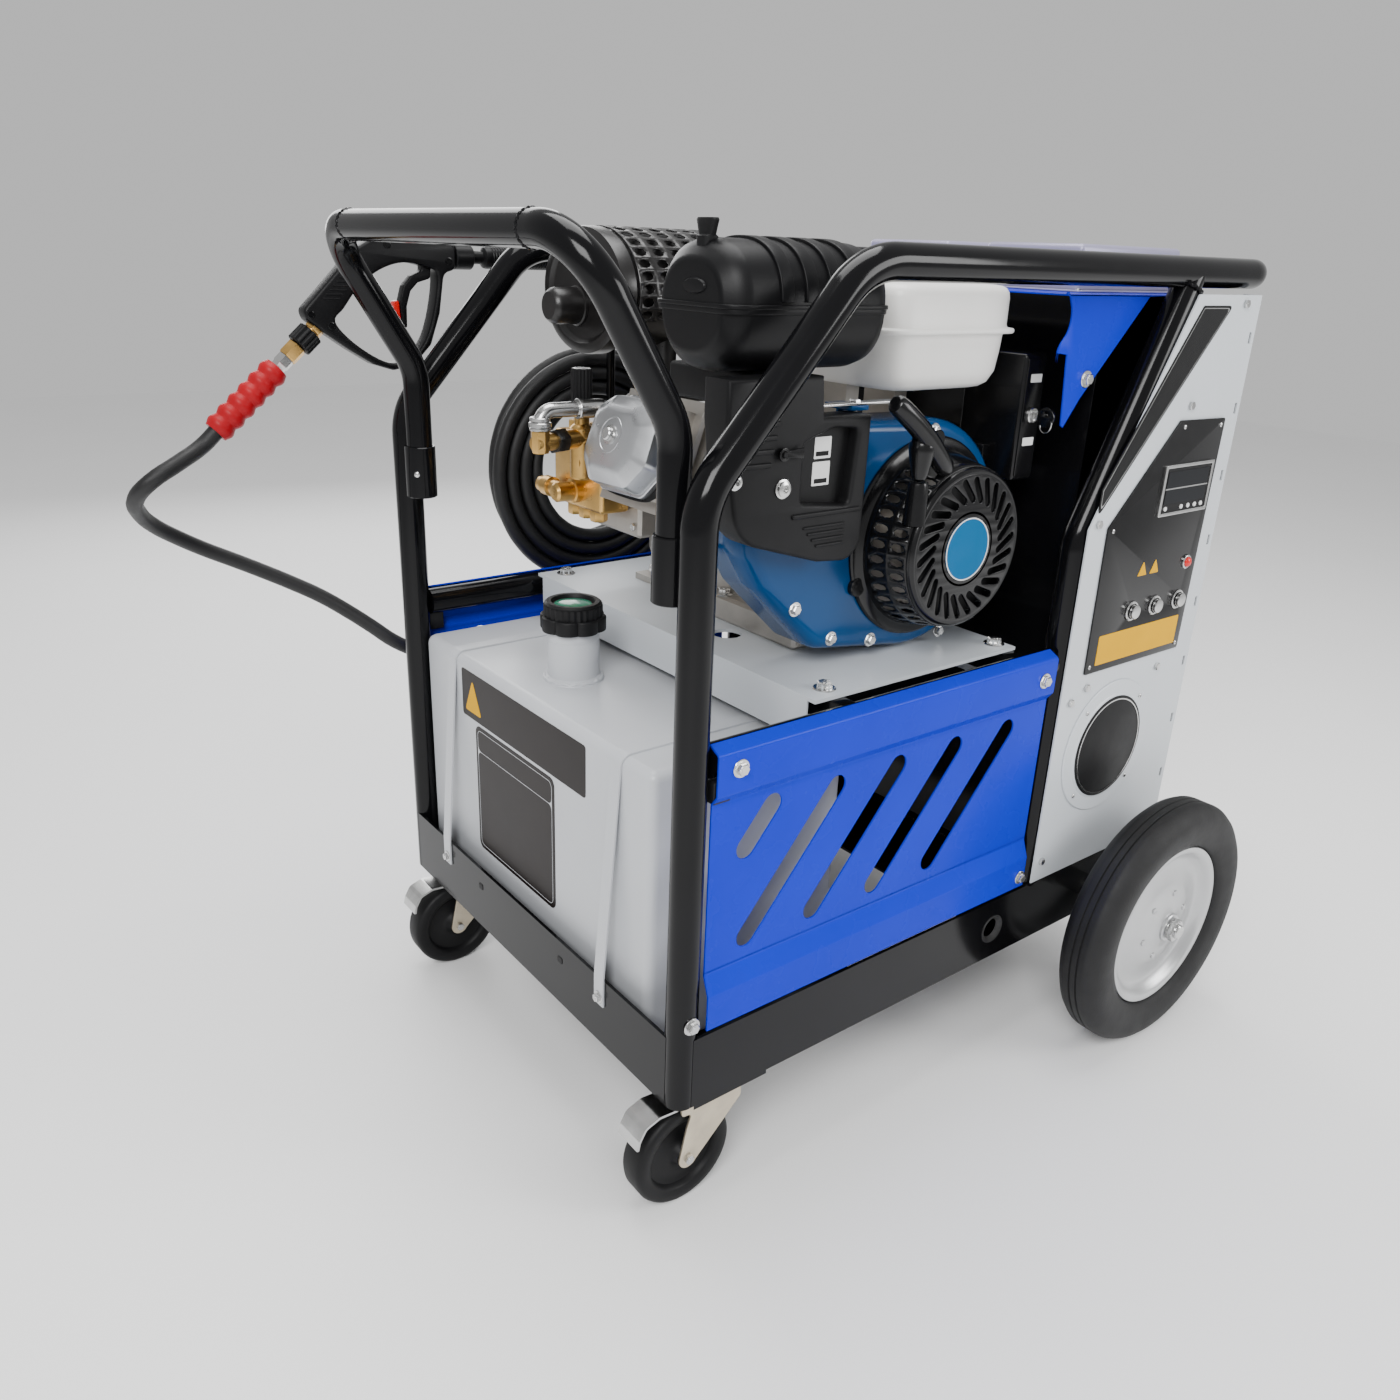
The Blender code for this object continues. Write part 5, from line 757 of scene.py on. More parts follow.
    def both(self, name: str, finish: Finish, node: str = "") -> None:
        """Make the shape a piece of the near side, and its mirror image one of the far side."""
        for side, shape in (("far", self.mirrored()), ("near", self)):
            shape.piece(f"{side}_{name}", finish, "frame", [f"{side}_{node}"] if node else ())


def oval(centre: Point, half: Flat, power: float, facing: Facing, count: int = 48) -> list[Vector]:
    """Return a ring between an ellipse and a rectangle.

    Args:
        centre: Middle of the ring.
        half: Half sizes in the plane's own two directions.
        power: 2 for an ellipse, more for squarer corners.
        facing: Plane of the ring.
        count: Number of points.

    Returns:
        The ring's points.
    """
    turn, ring = facing.value.to_3x3(), []
    for i in range(count):
        angle = 2 * pi * i / count
        c, s = cos(angle), sin(angle)
        u = half[0] * abs(c) ** (2 / power) * (1 if c >= 0 else -1)
        v = half[1] * abs(s) ** (2 / power) * (1 if s >= 0 else -1)
        ring.append(Vector(centre) + turn @ Vector((u, v, 0)))
    return ring


def dress(name: str, finish: Finish) -> None:
    """Give a CAD node that stays visible a finish."""
    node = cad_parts[name]
    if not node.material_slots:
        node.data.materials.append(None)
    for place in node.material_slots:
        place.material = finish.material()
    LOG.info("%s keeps its solid", name)


# ------------------------------------------------------------------------------- stage
@dataclass
class Studio:
    """Camera at the photograph's angle, plain pale floor and soft lights."""

    eye: Spot = (-0.5672, -0.7343, 0.9870)
    right: Spot = (0.7936, -0.6074, 0.0357)
    ahead: Spot = (0.5750, 0.7296, -0.3704)
    lens: float = 29.04
    floor_size: float = 14.0
    air: float = 0.62

    def build(self) -> None:
        """Make the camera, the floor and the lights."""
        self.camera()
        self.floor()
        self.light("key", (-2.4, -1.9, 2.7), (0.0, 0.0, 0.5), 1.5, 120.0)
        self.light("fill", (1.9, -2.6, 1.7), (0.1, 0.0, 0.5), 1.4, 60.0)
        self.light("top", (0.1, 0.3, 3.2), (0.0, 0.0, 0.4), 1.8, 75.0)
        self.light("back", (0.6, 3.0, 1.9), (0.0, 0.0, 0.6), 2.0, 45.0)

    def camera(self) -> None:
        """Make the camera."""
        data = bpy.data.cameras.new("camera")
        data.lens = self.lens
        data.sensor_width = 36.0
        eye = bpy.data.objects.new("camera", data)
        right, ahead = Vector(self.right).normalized(), Vector(self.ahead).normalized()
        up = right.cross(ahead).normalized()
        turn = Matrix((right, up, -ahead)).transposed().to_4x4()
        eye.matrix_world = Matrix.Translation(Vector(self.eye) + CORNER) @ turn
        bpy.context.scene.collection.objects.link(eye)
        bpy.context.scene.camera = eye

    def floor(self) -> None:
        """Make the floor and the pale surroundings."""
        half = self.floor_size / 2
        mesh = bpy.data.meshes.new("floor")
        mesh.from_pydata([(-half, -half, 0), (half, -half, 0), (half, half, 0),
                          (-half, half, 0)], [], [(0, 1, 2, 3)])
        mesh.materials.append(FLOOR.material())
        floor = bpy.data.objects.new("floor", mesh)
        bpy.context.scene.collection.objects.link(floor)
        world = bpy.data.worlds.new("studio")
        world.use_nodes = True
        sky = world.node_tree.nodes["Background"]
        sky.inputs["Color"].default_value = (1.0, 1.0, 1.0, 1.0)
        sky.inputs["Strength"].default_value = self.air
        bpy.context.scene.world = world

    def light(self, name: str, at: Point, to: Point, size: float, power: float) -> None:
        """Make one soft square light that faces a point."""
        data = bpy.data.lights.new(name, "AREA")
        data.size = size
        data.energy = power
        lamp = bpy.data.objects.new(name, data)
        lamp.location = at
        lamp.rotation_euler = (Vector(to) - Vector(at)).to_track_quat("-Z", "Y").to_euler()
        bpy.context.scene.collection.objects.link(lamp)


# -------------------------------------------------------------------------------- hose
@dataclass
class Hose:
    """High-pressure hose: lead from the boiler, hung coil and free run to the gun."""

    radius: float = 0.0095
    pitch: float = 0.0198
    hang: tuple[float, float] = (0.320, 0.690)
    hang_radius: float = 0.163
    turns: int = 7
    tuck: float = 0.0035
    entry: float = radians(-35)
    leave: float = radians(-50)
    layer: float = WIDTH + 0.022
    lead_start: Spot = (0.7612, 0.665, 0.7125)
    grip_length: float = 0.105
    length: float = 7.3
    steps: int = 24

    def coil(self) -> list[Vector]:
        """Return the axis of the hung coil, as the source winds it."""
        sweep = 2 * pi * self.turns + self.entry - self.leave
        inward = (sweep - pi) / 2
        total = round(self.steps * sweep / (2 * pi))
        route = []
        for i in range(total + 1):
            turn = sweep * i / total
            into = min(turn, sweep - turn, inward)
            climb = min(max((turn - inward) / pi, 0), 1)
            radius = self.hang_radius - self.pitch * into / (2 * pi) - self.tuck * sin(pi * climb)
            y = self.layer + self.pitch * (1 - cos(pi * climb)) / 2
            angle = self.entry - turn
            route.append(Vector((self.hang[0] + radius * cos(angle), y,
                                 self.hang[1] + radius * sin(angle))))
        return route

    def route(self) -> list[Vector]:
        """Return the whole hose's axis from the boiler's outlet to the grip sleeve."""
        coil = self.coil()
        start = Vector(self.lead_start)
        lead = self.smooth([start, start - Vector((0.022, 0, 0)), (0.660, 0.664, 0.712),
                            (0.580, 0.661, 0.694), (0.515, 0.658, 0.657), coil[0]], 0.028)
        onward = (coil[-1] - coil[-2]).normalized()
        leave = coil[-1] + onward * 2 * self.radius
        y = coil[-1].y
        tip = Vector(GRIP_START) + GRIP_AXIS * self.grip_length
        run = self.smooth([leave + onward * 0.02, (0.318, y, 0.474), (0.240, y, 0.446),
                           (0.150, y, 0.434), (0.070, y + 0.001, 0.442),
                           (0.014, y + 0.006, 0.468), (-0.018, y + 0.022, 0.495),
                           (-0.070, y + 0.048, 0.536), (-0.142, y + 0.070, 0.578),
                           (-0.212, y + 0.078, 0.616), (-0.266, y + 0.056, 0.655),
                           (-0.288, y + 0.016, 0.688), (-0.283, y - 0.018, 0.714),
                           (-0.246, y - 0.016, 0.736), tip + GRIP_AXIS * 0.022], 0.038)
        return lead[:-1] + coil + [leave] + run + [tip - GRIP_AXIS * 0.004]

    def smooth(self, points: Sequence[Point], spacing: float) -> list[Vector]:
        """Return evenly spaced points on a smooth curve through chosen points.

        Args:
            points: Points that the curve passes through.
            spacing: Distance between the returned points.

        Returns:
            The points, both ends included.
        """
        points = [Vector(p) for p in points]
        padded = [points[0] * 2 - points[1], *points, points[-1] * 2 - points[-2]]
        dense = [spline(*four, i / 24) for four in zip(padded, padded[1:], padded[2:], padded[3:])
                 for i in range(24)]
        dense.append(points[-1])
        lengths = [0.0]
        for a, b in zip(dense, dense[1:]):
            lengths.append(lengths[-1] + (b - a).length)
        count = max(2, round(lengths[-1] / spacing))
        route, k = [dense[0]], 0
        for i in range(1, count):
            goal = lengths[-1] * i / count
            while lengths[k + 1] < goal:
                k += 1
            share = (goal - lengths[k]) / (lengths[k + 1] - lengths[k])
            route.append(dense[k].lerp(dense[k + 1], share))
        return route + [dense[-1]]

    def build(self) -> None:
        sleeve = self.sleeve()
        curve = bpy.data.curves.new("pressure_hose", "CURVE")
        curve.dimensions = "3D"
        curve.bevel_depth = self.radius
        curve.bevel_resolution = 5
        curve.resolution_u = 4
        curve.use_fill_caps = True
        line = curve.splines.new("BEZIER")
        route = self.route()
        line.bezier_points.add(len(route) - 1)
        for knot, spot in zip(line.bezier_points, route):
            knot.co = spot + CORNER
            knot.handle_left_type = knot.handle_right_type = "AUTO"
        curve.materials.append(BLACK_RUBBER.material())
        hose = bpy.data.objects.new("pressure_hose", curve)
        bpy.context.scene.collection.objects.link(hose)
        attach(hose, "frame")
        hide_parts("hose_coil", "hose_run")
        LOG.info("pressure_hose is %d points", len(route))

    def sleeve(self) -> bpy.types.Object:
        """Make the ribbed red grip sleeve."""
        ribs, waist, crest = 6, 0.0140, 0.0170
        step = self.grip_length / ribs
        profile = [(0, 0), (waist - 0.001, 0.0)]
        for i in range(ribs * 8 + 1):
            share = i / 8
            swell = (1 - cos(2 * pi * share)) / 2
            profile.append((waist + (crest - waist) * swell ** 0.75, step * share))
        profile += [(0.0105, self.grip_length), (0, self.grip_length - 0.001)]
        return Shape().turned(profile, GRIP_START, GRIP_AXIS, 40).piece(
            "grip_sleeve", RED_RUBBER, "frame", ["hose_grip_sleeve"])


# ----------------------------------------------------------------------------- trolley
@dataclass
class Trolley:
    """Tubular cage, base box, engine subframe and push handle."""

    tube: float = 0.017
    base_top: float = 0.2375
    base_length: float = 0.885
    rail: float = 0.983
    reach: float = 0.884
    post_x: float = 0.572
    handle_tube: float = 0.0155
    sleeve_low: float = 0.690
    sleeve_high: float = 0.752

    def build(self) -> None:
        """Make every piece of the trolley."""
        self.cage()
        self.subframe()
        self.handle()
        self.base()

    def side(self) -> Shape:
        """Return one side of the cage, on the near side."""
        y, shape = self.tube, Shape()
        shape.pipe(bent([(y, y, 0.152), (y, y, 0.790), (0.190, y, self.rail),
                         (self.reach, y, self.rail), (self.reach, MIDDLE, self.rail)],
                        [0.080, 0.085, 0.050]), self.tube, 32)
        shape.pipe(bent([(self.post_x, y, self.base_top), (self.post_x, y, 0.690),
                         (0.715, y, self.rail)], [0.060]), self.tube - 0.0003, 32)
        outer, bore = 0.0187, self.handle_tube + 0.0006
        shape.turned([(outer - 0.001, self.sleeve_low), (outer, self.sleeve_low + 0.001),
                      (outer, self.sleeve_high - 0.001), (outer - 0.001, self.sleeve_high),
                      (bore, self.sleeve_high), (bore, self.sleeve_low)],
                     (self.tube, 0.055, 0), UP, 40, closed=True)
        shape.block((0.012, 0.017, 0.698), (0.022, 0.055 - bore, 0.744), 0.001)
        shape.weld((self.post_x, y, self.base_top), UP, self.tube + 0.0012)
        lean = Vector((0.715 - self.post_x, 0, self.rail - 0.690)).normalized()
        top = Vector((0.715, y, self.rail)) - lean * 0.0205
        return shape.weld(top, lean, self.tube + 0.0014)

    def cage(self) -> None:
        """Make both halves of the cage, with the lance's clips on the far one."""
        near = self.side()
        rivets = Shape()
        for y, out in ((0.055, 0.78), (WIDTH - 0.055, -0.78)):
            aim = Vector((-0.62, out, 0))
            rivets.screw(Vector((self.tube, y, 0.720)) + aim * 0.0186, aim, 0.0036)
        rivets.piece("sleeve_rivets", BRIGHT_STEEL)
        far = near.mirrored()
        near.piece("near_cage", BLACK_ENAMEL, "frame", ["near_cage_tube"])
        low, outer = 0.9547, 0.689
        for x in (0.360, 0.700):
            far.pipe(bent([(x, WIDTH - 0.0085, self.rail - 0.006), (x, WIDTH + 0.018, low),
                           (x, outer, low), (x, outer, 0.973)], 0.006, 6), 0.004, 16)
        hose, wire, layers = Hose(), 0.006, 3.46
        x, drop = hose.hang[0], WIDTH - 0.017
        inner = hose.hang_radius - hose.pitch * layers - hose.tuck - hose.radius
        hook = hose.hang[1] + inner - wire - 0.0012
        reach = hose.layer + hose.pitch + hose.radius + 0.015
        far.pipe(bent([(x, drop, self.rail), (x, drop, hook), (x, reach, hook),
                       (x, reach, hook + 0.022)], 0.010, 6), wire, 16)
        far.piece("far_cage", BLACK_ENAMEL, "frame", ["far_cage_tube"])

    def subframe(self) -> None:
        """Make the middle rails and the cross rails under the engine."""
        shape, height = Shape(), 0.5415
        for y in (0.017, WIDTH - 0.017):
            shape.pipe([(0.0343, y, height), (0.300, y, height), (0.5547, y, height)],
                       self.tube, 32)
        for x in CROSS_RAILS:
            shape.block((x - 0.010, 0.017, 0.5305), (x + 0.010, WIDTH - 0.017, 0.5585), 0.0015)
        shape.piece("engine_rails", BLACK_ENAMEL, "frame", ["engine_subframe"])

    def handle(self) -> None:
        """Make the push handle with the welds at its bar's ends."""
        near, far, foot = 0.055, WIDTH - 0.055, 0.694
        route = bent([(0.017, near, foot), (0.017, near, 0.843), (-0.078, near, 0.998),
                      (-0.078, far, 0.998), (0.017, far, 0.843), (0.017, far, foot)],
                     [0.07, 0.06, 0.06, 0.07], 16)
        shape = Shape().pipe(route, self.handle_tube, 32)
        for y in (near + 0.072, far - 0.072):
            shape.weld((-0.078, y, 0.998), TO_FAR, self.handle_tube - 0.0010)
        shape.piece("handle_bow", BLACK_ENAMEL, "handle", ["push_handle"])

    def base(self) -> None:
        """Dress the base box and add its slots, grommet and bolts."""
        dress("base_frame", BLACK_ENAMEL)
        seams = Shape()
        for y in (0.0, WIDTH):
            seams.pipe([(self.base_length - 0.0012, abs(y - 0.0012), 0.1525 + 0.0057 * i)
                        for i in range(16)],
                       [0.0016 + 0.0004 * sin(i * 2.1) for i in range(16)], 8)
        seams.piece("base_welds", BLACK_ENAMEL)
        slots = Shape()
        for y in (0.230, 0.427):
            slots.plate(box_outline((y - 0.005, 0.2085), (y + 0.005, 0.2165), 0.0020),
                        -0.0006, 0.0004, Facing.FRONT)
        slots.piece("base_slots", MATT_PLASTIC)
        grommet = Shape().turned([(0.0125, 0.004), (0.0165, -0.0005), (0.0190, -0.0012),
                                  (0.0195, 0.0), (0.0165, 0.0008), (0.0150, 0.006)],
                                 (0.500, 0, 0.19475), TO_FAR, 40, closed=True)
        grommet.piece("cable_grommet", BLACK_RUBBER)
        bolts = Shape()
        for y in STRAP_PLACES:
            bolts.bolt((-0.0022, y, 0.214), TO_FRONT, 0.0052)
        bolts.piece("strap_bolts", BRIGHT_STEEL)


# ------------------------------------------------------------------------ sheet panels
@dataclass
class Skirts:
    """Blue slotted skirt panels of both sides with their bolts."""

    face: float = -0.0016
    field_y: float = 0.0064
    front: float = 0.0349
    rear: float = 0.547
    thickness: float = 0.002
    slot_angle: float = 50.7
    bolt_places: tuple[Flat, ...] = ((0.062, 0.535), (0.526, 0.529))

    def near(self) -> Shape:
        """Return the near panel: folds and bands round a recessed field with slots."""
        shape = Shape()
        lap = 0.0015
        top = [(v.x, v.z) for v in bent([(0.012, 0, 0.560), (self.face, 0, 0.553),
                                         (self.face, 0, 0.510), (self.field_y, 0, 0.500),
                                         (self.field_y, 0, 0.496)],
                                        [0.004, 0.004, 0.003], 5)]
        foot = [(v.x, v.z) for v in bent([(self.field_y, 0, 0.311), (self.field_y, 0, 0.307),
                                          (self.face, 0, 0.285), (self.face, 0, 0.245)],
                                         [0.004, 0.005], 5)]
        shape.sheet(top, self.front, self.rear, self.thickness)
        shape.sheet(foot, self.front, self.rear, self.thickness)
        half = self.thickness / 2
        slots = [slot((0.144 + 0.0919 * i, 0.406), 0.180, 0.025, self.slot_angle)
                 for i in range(4)]
        slots.append(slot((0.0965, 0.460), 0.050, 0.025, self.slot_angle))
        shape.plate(box_outline((self.front, 0.311 - lap), (self.rear, 0.496 + lap), 0.0005, 1),
                    self.field_y - half, self.field_y + half, Facing.SIDE, slots)
        return shape

    def build(self) -> None:
        """Make both panels and the bolts that hold them."""
        self.near().both("skirt", BLUE_ENAMEL, "skirt_panel")
        bolts = Shape()
        seat = self.face - self.thickness / 2
        for x, z in self.bolt_places:
            bolts.bolt((x, seat, z), TO_NEAR, 0.0065)
        bolts.bolt((0.017, 0.0, 0.257), TO_NEAR, 0.0065)
        bolts.bolt((0.538, seat, 0.259), TO_NEAR, 0.0060)
        bolts.both("skirt_bolts", BRIGHT_STEEL)
        Shape().block((0.0350, 0.0030, 0.500), (0.0560, 0.0150, 0.5235), 0.0015).both(
            "skirt_buffer", BLACK_RUBBER)


@dataclass
class FuelStore:
    """Diesel tank with its neck, straps, labels and cap."""

    low: Spot = (0.020, 0.083, 0.1563)
    high: Spot = (0.290, 0.603, 0.5033)
    neck: Flat = (0.100, 0.360)
    neck_radius: float = 0.031
    neck_top: float = 0.5653
    cap_radius: float = 0.0395
    lobes: int = 8
    ribs: int = 30

    def build(self) -> None:
        """Make the tank, its straps and its cap."""
        self.tank()
        self.labels()
        self.straps()
        self.cap()

    def tank(self) -> None:
        """Make the welded tank and the bead at its neck."""
        top, r = self.high[2], self.neck_radius
        shape = Shape().block(self.low, self.high, 0.012, 5)
        rows = [(r, self.neck_top), (r + 0.0005, self.neck_top - 0.001), (r, top + 0.052),
                (r - 0.0006, top + 0.050), (r, top + 0.048), (r, top + 0.006),
                (r + 0.003, top + 0.004), (r + 0.0055, top + 0.001), (r + 0.006, top - 0.002),
                (0, top - 0.002)]
        shape.turned([(0, self.neck_top)] + rows, (*self.neck, 0), UP, 64)
        shape.weld((*self.neck, top + 0.0025), UP, r + 0.0035)
        edge = [(self.high[0] - 0.0115, self.low[1] + 0.004 + 0.0064 * i, top - 0.0035)
                for i in range(81)]
        shape.pipe(edge, [0.0018 + 0.0004 * sin(i * 1.9) for i in range(81)], 8)
        shape.piece("tank_shell", TANK_GREY, "frame", ["diesel_tank"])

    def labels(self) -> None:
        """Make the two bare label plates on the tank's front and a plain triangle."""
        front = self.low[0]
        shape = Shape().plate(box_outline((0.205, 0.4270), (0.497, 0.4895), 0.004),
                              front - 0.0006, front + 0.0002, Facing.FRONT)
        shape.plate(box_outline((0.272, 0.2500), (0.464, 0.4225), 0.010), front - 0.0006,
                    front + 0.0002, Facing.FRONT)
        shape.piece("tank_labels", LABEL_BROWN)
        Shape().plate(rounded([(0.447, 0.4360), (0.489, 0.4360), (0.468, 0.4800)], 0.003),
                      front - 0.0009, front - 0.0004, Facing.FRONT).piece(
            "tank_triangle", LABEL_YELLOW)
        windows = [box_outline((0.2776, low), (0.4584, high), 0.0074)
                   for low, high in ((0.2556, 0.3880), (0.3886, 0.4169))]
        Shape().plate(box_outline((0.277, 0.2550), (0.459, 0.4175), 0.008), front - 0.0008,
                      front - 0.0004, Facing.FRONT, windows).piece("tank_label_line", TANK_GREY)

    def straps(self) -> None:
        """Make the two hold-down straps and the strip that joins them behind."""
        gap, top = 0.0013, self.high[2] + 0.0013
        front, rear = self.low[0] - gap, self.high[0] + gap
        line = bent([(-gap, 0, 0.2045), (-gap, 0, 0.2400), (front, 0, 0.490), (front, 0, top),
                     (rear, 0, top), (rear, 0, self.low[2])],
                    [0.006, 0.004, 0.013, 0.013], 6)
        shape = Shape()
        for y in STRAP_PLACES:
            shape.sheet([(v.x, v.z) for v in line], y - 0.009, y + 0.009, 0.002, "y")
        first, last = STRAP_PLACES
        shape.block((rear - 0.001, first, 0.1623), (rear + 0.001, last, 0.1803))
        shape.piece("hold_down_straps", TANK_GREY, "frame", ["tank_straps"])

    def cap(self) -> None:
        """Make the lobed cap with its ribbed crown and its sight glass."""
        base, x, y = self.neck_top + 0.0003, *self.neck
        middle, top = base + 0.017, base + 0.034
        lobed = wavy((x, y), lambda a: self.cap_radius - 0.0040 * (
            1 - (0.5 + 0.5 * cos(self.lobes * a)) ** 0.35), 160)
        crown = wavy((x, y), lambda a: self.cap_radius - 0.0052 + 0.0007 * cos(self.ribs * a),
                     self.ribs * 6)
        shape = Shape().plate(lobed, base, middle, Facing.TOP, edge=0.0016)
        shape.plate(crown, middle - 0.002, top - 0.004, Facing.TOP)
        rim = self.cap_radius - 0.0062
        shape.turned([(0, top - 0.0070), (rim, top - 0.0070), (rim + 0.0004, top - 0.002),
                      (rim - 0.002, top), (rim - 0.007, top), (rim - 0.009, top - 0.003),
                      (rim - 0.0095, top - 0.006), (0, top - 0.006)], (x, y, 0), UP, 64)
        shape.piece("filler_cap_shell", MATT_PLASTIC, "filler_cap", ["tank_cap"])
        glass = rim - 0.0100
        Shape().turned([(0, top - 0.0062), (glass, top - 0.0062), (glass, top - 0.0042),
                        (glass * 0.6, top - 0.0028), (0, top - 0.0022)],
                       (x, y, 0), UP, 48).piece("sight_glass", GREEN_GLASS, "filler_cap")


# ----------------------------------------------------------------------------- cabinet
@dataclass
class Cabinet:
    """Boiler cabinet: panels, top cover, hoods, inspection cover and controls."""

    face: float = -0.0023
    plate_front: float = -0.0046
    cover_top: float = 0.9568
    inspection: Flat = (0.681, 0.409)
    inspection_radius: float = 0.090
    button_places: tuple[float, ...] = (0.681, 0.731, 0.783)
    button_height: float = 0.591
    panel_screws: tuple[Flat, ...] = ((0.811, 0.950), (0.732, 0.836), (0.582, 0.710),
                                      (0.769, 0.501), (0.615, 0.502), (0.586, 0.488),
                                      (0.580, 0.269))
    plate_screws: tuple[Flat, ...] = ((0.724, 0.812), (0.805, 0.810), (0.611, 0.699),
                                      (0.610, 0.530), (0.799, 0.529))

    def build(self) -> None:
        """Make and dress every piece of the cabinet."""
        for name in ("near_cabinet_panel", "far_cabinet_panel"):
            dress(name, GREY_ENAMEL)
        dress("cabinet_shell", BLACK_ENAMEL)
        dress("boiler_drum", HOT_STEEL)
        dress("heating_coil", BRASS)
        dress("burner_blower", ENGINE_BLUE)
        self.top()
        self.panel_details()
        self.round_cover()
        self.controls()
        self.outlet()

    def top(self) -> None:
        """Make the blue top cover with its scalloped gussets, and the hoods."""
        x, top = 0.515, self.cover_top
        scallop = [(0.0, 0.0), (0.010, -0.010), (0.0135, -0.024), (0.0105, -0.038),
                   (0.001, -0.050), (-0.002, -0.054)]
        line = [(x + a, top + b) for a, b in flowing(scallop, 6)[:31]]
        rest = [(x + a, top + b) for a, b in ((-0.002, -0.060), (0.015, -0.062),
                                              (0.0225, -0.138), (0.0265, -0.1405),
                                              (0.050, -0.110), (0.157, 0.0))]
        gusset = Shape().plate(line + rest, 0.0365, 0.0385, edge=0.0004)
        shape = gusset.mirrored().add(gusset)
        openings = [box_outline((0.632, y + 0.012), (0.813, y + 0.128), 0.004)
                    for y in (0.100, 0.300)]
        shape.plate(box_outline((x, 0.0365), (0.8425, 0.5985), 0.003), top - 0.0015, top,
                    Facing.TOP, openings)
        shape.piece("blue_top_cover", BLUE_ENAMEL, "frame", ["top_cover"])
        Shape().bolt((0.571, 0.0365, 0.868), TO_NEAR, 0.0065).both("gusset_bolt", BRIGHT_STEEL)
        hoods = Shape()
        for y in (0.100, 0.300):
            hoods.block((0.620, y, top), (0.825, y + 0.140, top + 0.052), 0.006, 4)
        hoods.plate(box_outline((0.608, 0.088), (0.837, 0.452), 0.006), top + 0.0003,
                    top + 0.0023, Facing.TOP, edge=0.0006)
        hoods.piece("hood_pair", HOOD_GREY, "frame", ["exhaust_hoods"])
        screws = Shape()
        for place in ((0.614, 0.094), (0.831, 0.094), (0.614, 0.446), (0.831, 0.446),
                      (0.614, 0.270), (0.831, 0.270)):
            screws.screw((*place, top + 0.0023), UP, 0.0030)
        screws.piece("hood_screws", BRIGHT_STEEL)
        # A low matt black block over the dark patch beyond the two hoods.
        Shape().block((0.622, 0.462, top), (0.700, 0.502, top + 0.006), 0.0015).piece(
            "dark_patch", MATT_PLASTIC)

    def panel_details(self) -> None:
        """Make the panels' screws and the bare slanted strip."""
        screws = Shape()
        for x, z in self.panel_screws:
            screws.bolt((x, self.face, z), TO_NEAR, 0.0052, washer=False)
        screws.both("panel_screws", BRIGHT_STEEL)
        strip = [(0.5775, 0.7185), (0.5775, 0.7500), (0.7200, 0.9480), (0.7830, 0.9480)]
        Shape().plate(rounded(strip, 0.004), self.face - 0.0007, self.face + 0.0002).piece(
            "near_strip", GLOSS_PLASTIC)
        inner = [(0.5800, 0.7250), (0.5800, 0.7490), (0.7210, 0.9455), (0.7780, 0.9455)]
        outer = rounded(inner, 0.003)
        edge = rounded([(0.5809, 0.7277), (0.5809, 0.7487), (0.7214, 0.9446),
                        (0.7762, 0.9446)], 0.003)
        Shape().plate(outer, self.face - 0.0010, self.face - 0.0005, Facing.SIDE, [edge]).piece(
            "near_strip_line", BRIGHT_STEEL)

    def round_cover(self) -> None:
        """Make the round inspection cover with its bare disc, thin ring and screws."""
        base, rim = self.face - 0.0003, self.inspection_radius
        place, disc = (self.inspection[0], base, self.inspection[1]), rim - 0.021
        Shape().turned([(0, 0), (rim, 0), (rim, 0.0012), (rim - 0.001, 0.0020),
                        (rim - 0.0175, 0.0020), (rim - 0.0195, 0.0034), (disc, 0.0036),
                        (0, 0.0036)], place, TO_NEAR, 72).piece(
            "inspection_plate", GREY_ENAMEL, "frame", ["inspection_cover"])
        Shape().turned([(0, 0.003), (disc, 0.003), (disc, 0.0043), (disc - 0.001, 0.0048),
                        (0, 0.0048)], place, TO_NEAR, 72).piece("inspection_disc", MATT_PLASTIC)
        Shape().turned([(disc - 0.0035, 0.0046), (disc - 0.0035, 0.0051),
                        (disc - 0.0050, 0.0051), (disc - 0.0050, 0.0046)], place, TO_NEAR, 72,
                       closed=True).piece("inspection_line", BRIGHT_STEEL)
        pins = Shape()
        for u, v in arc((place[0], place[2]), rim - 0.009, 45, 315, 3):
            pins.screw((u, base - 0.002, v), TO_NEAR, 0.0030)
        pins.piece("inspection_screws", BRIGHT_STEEL)

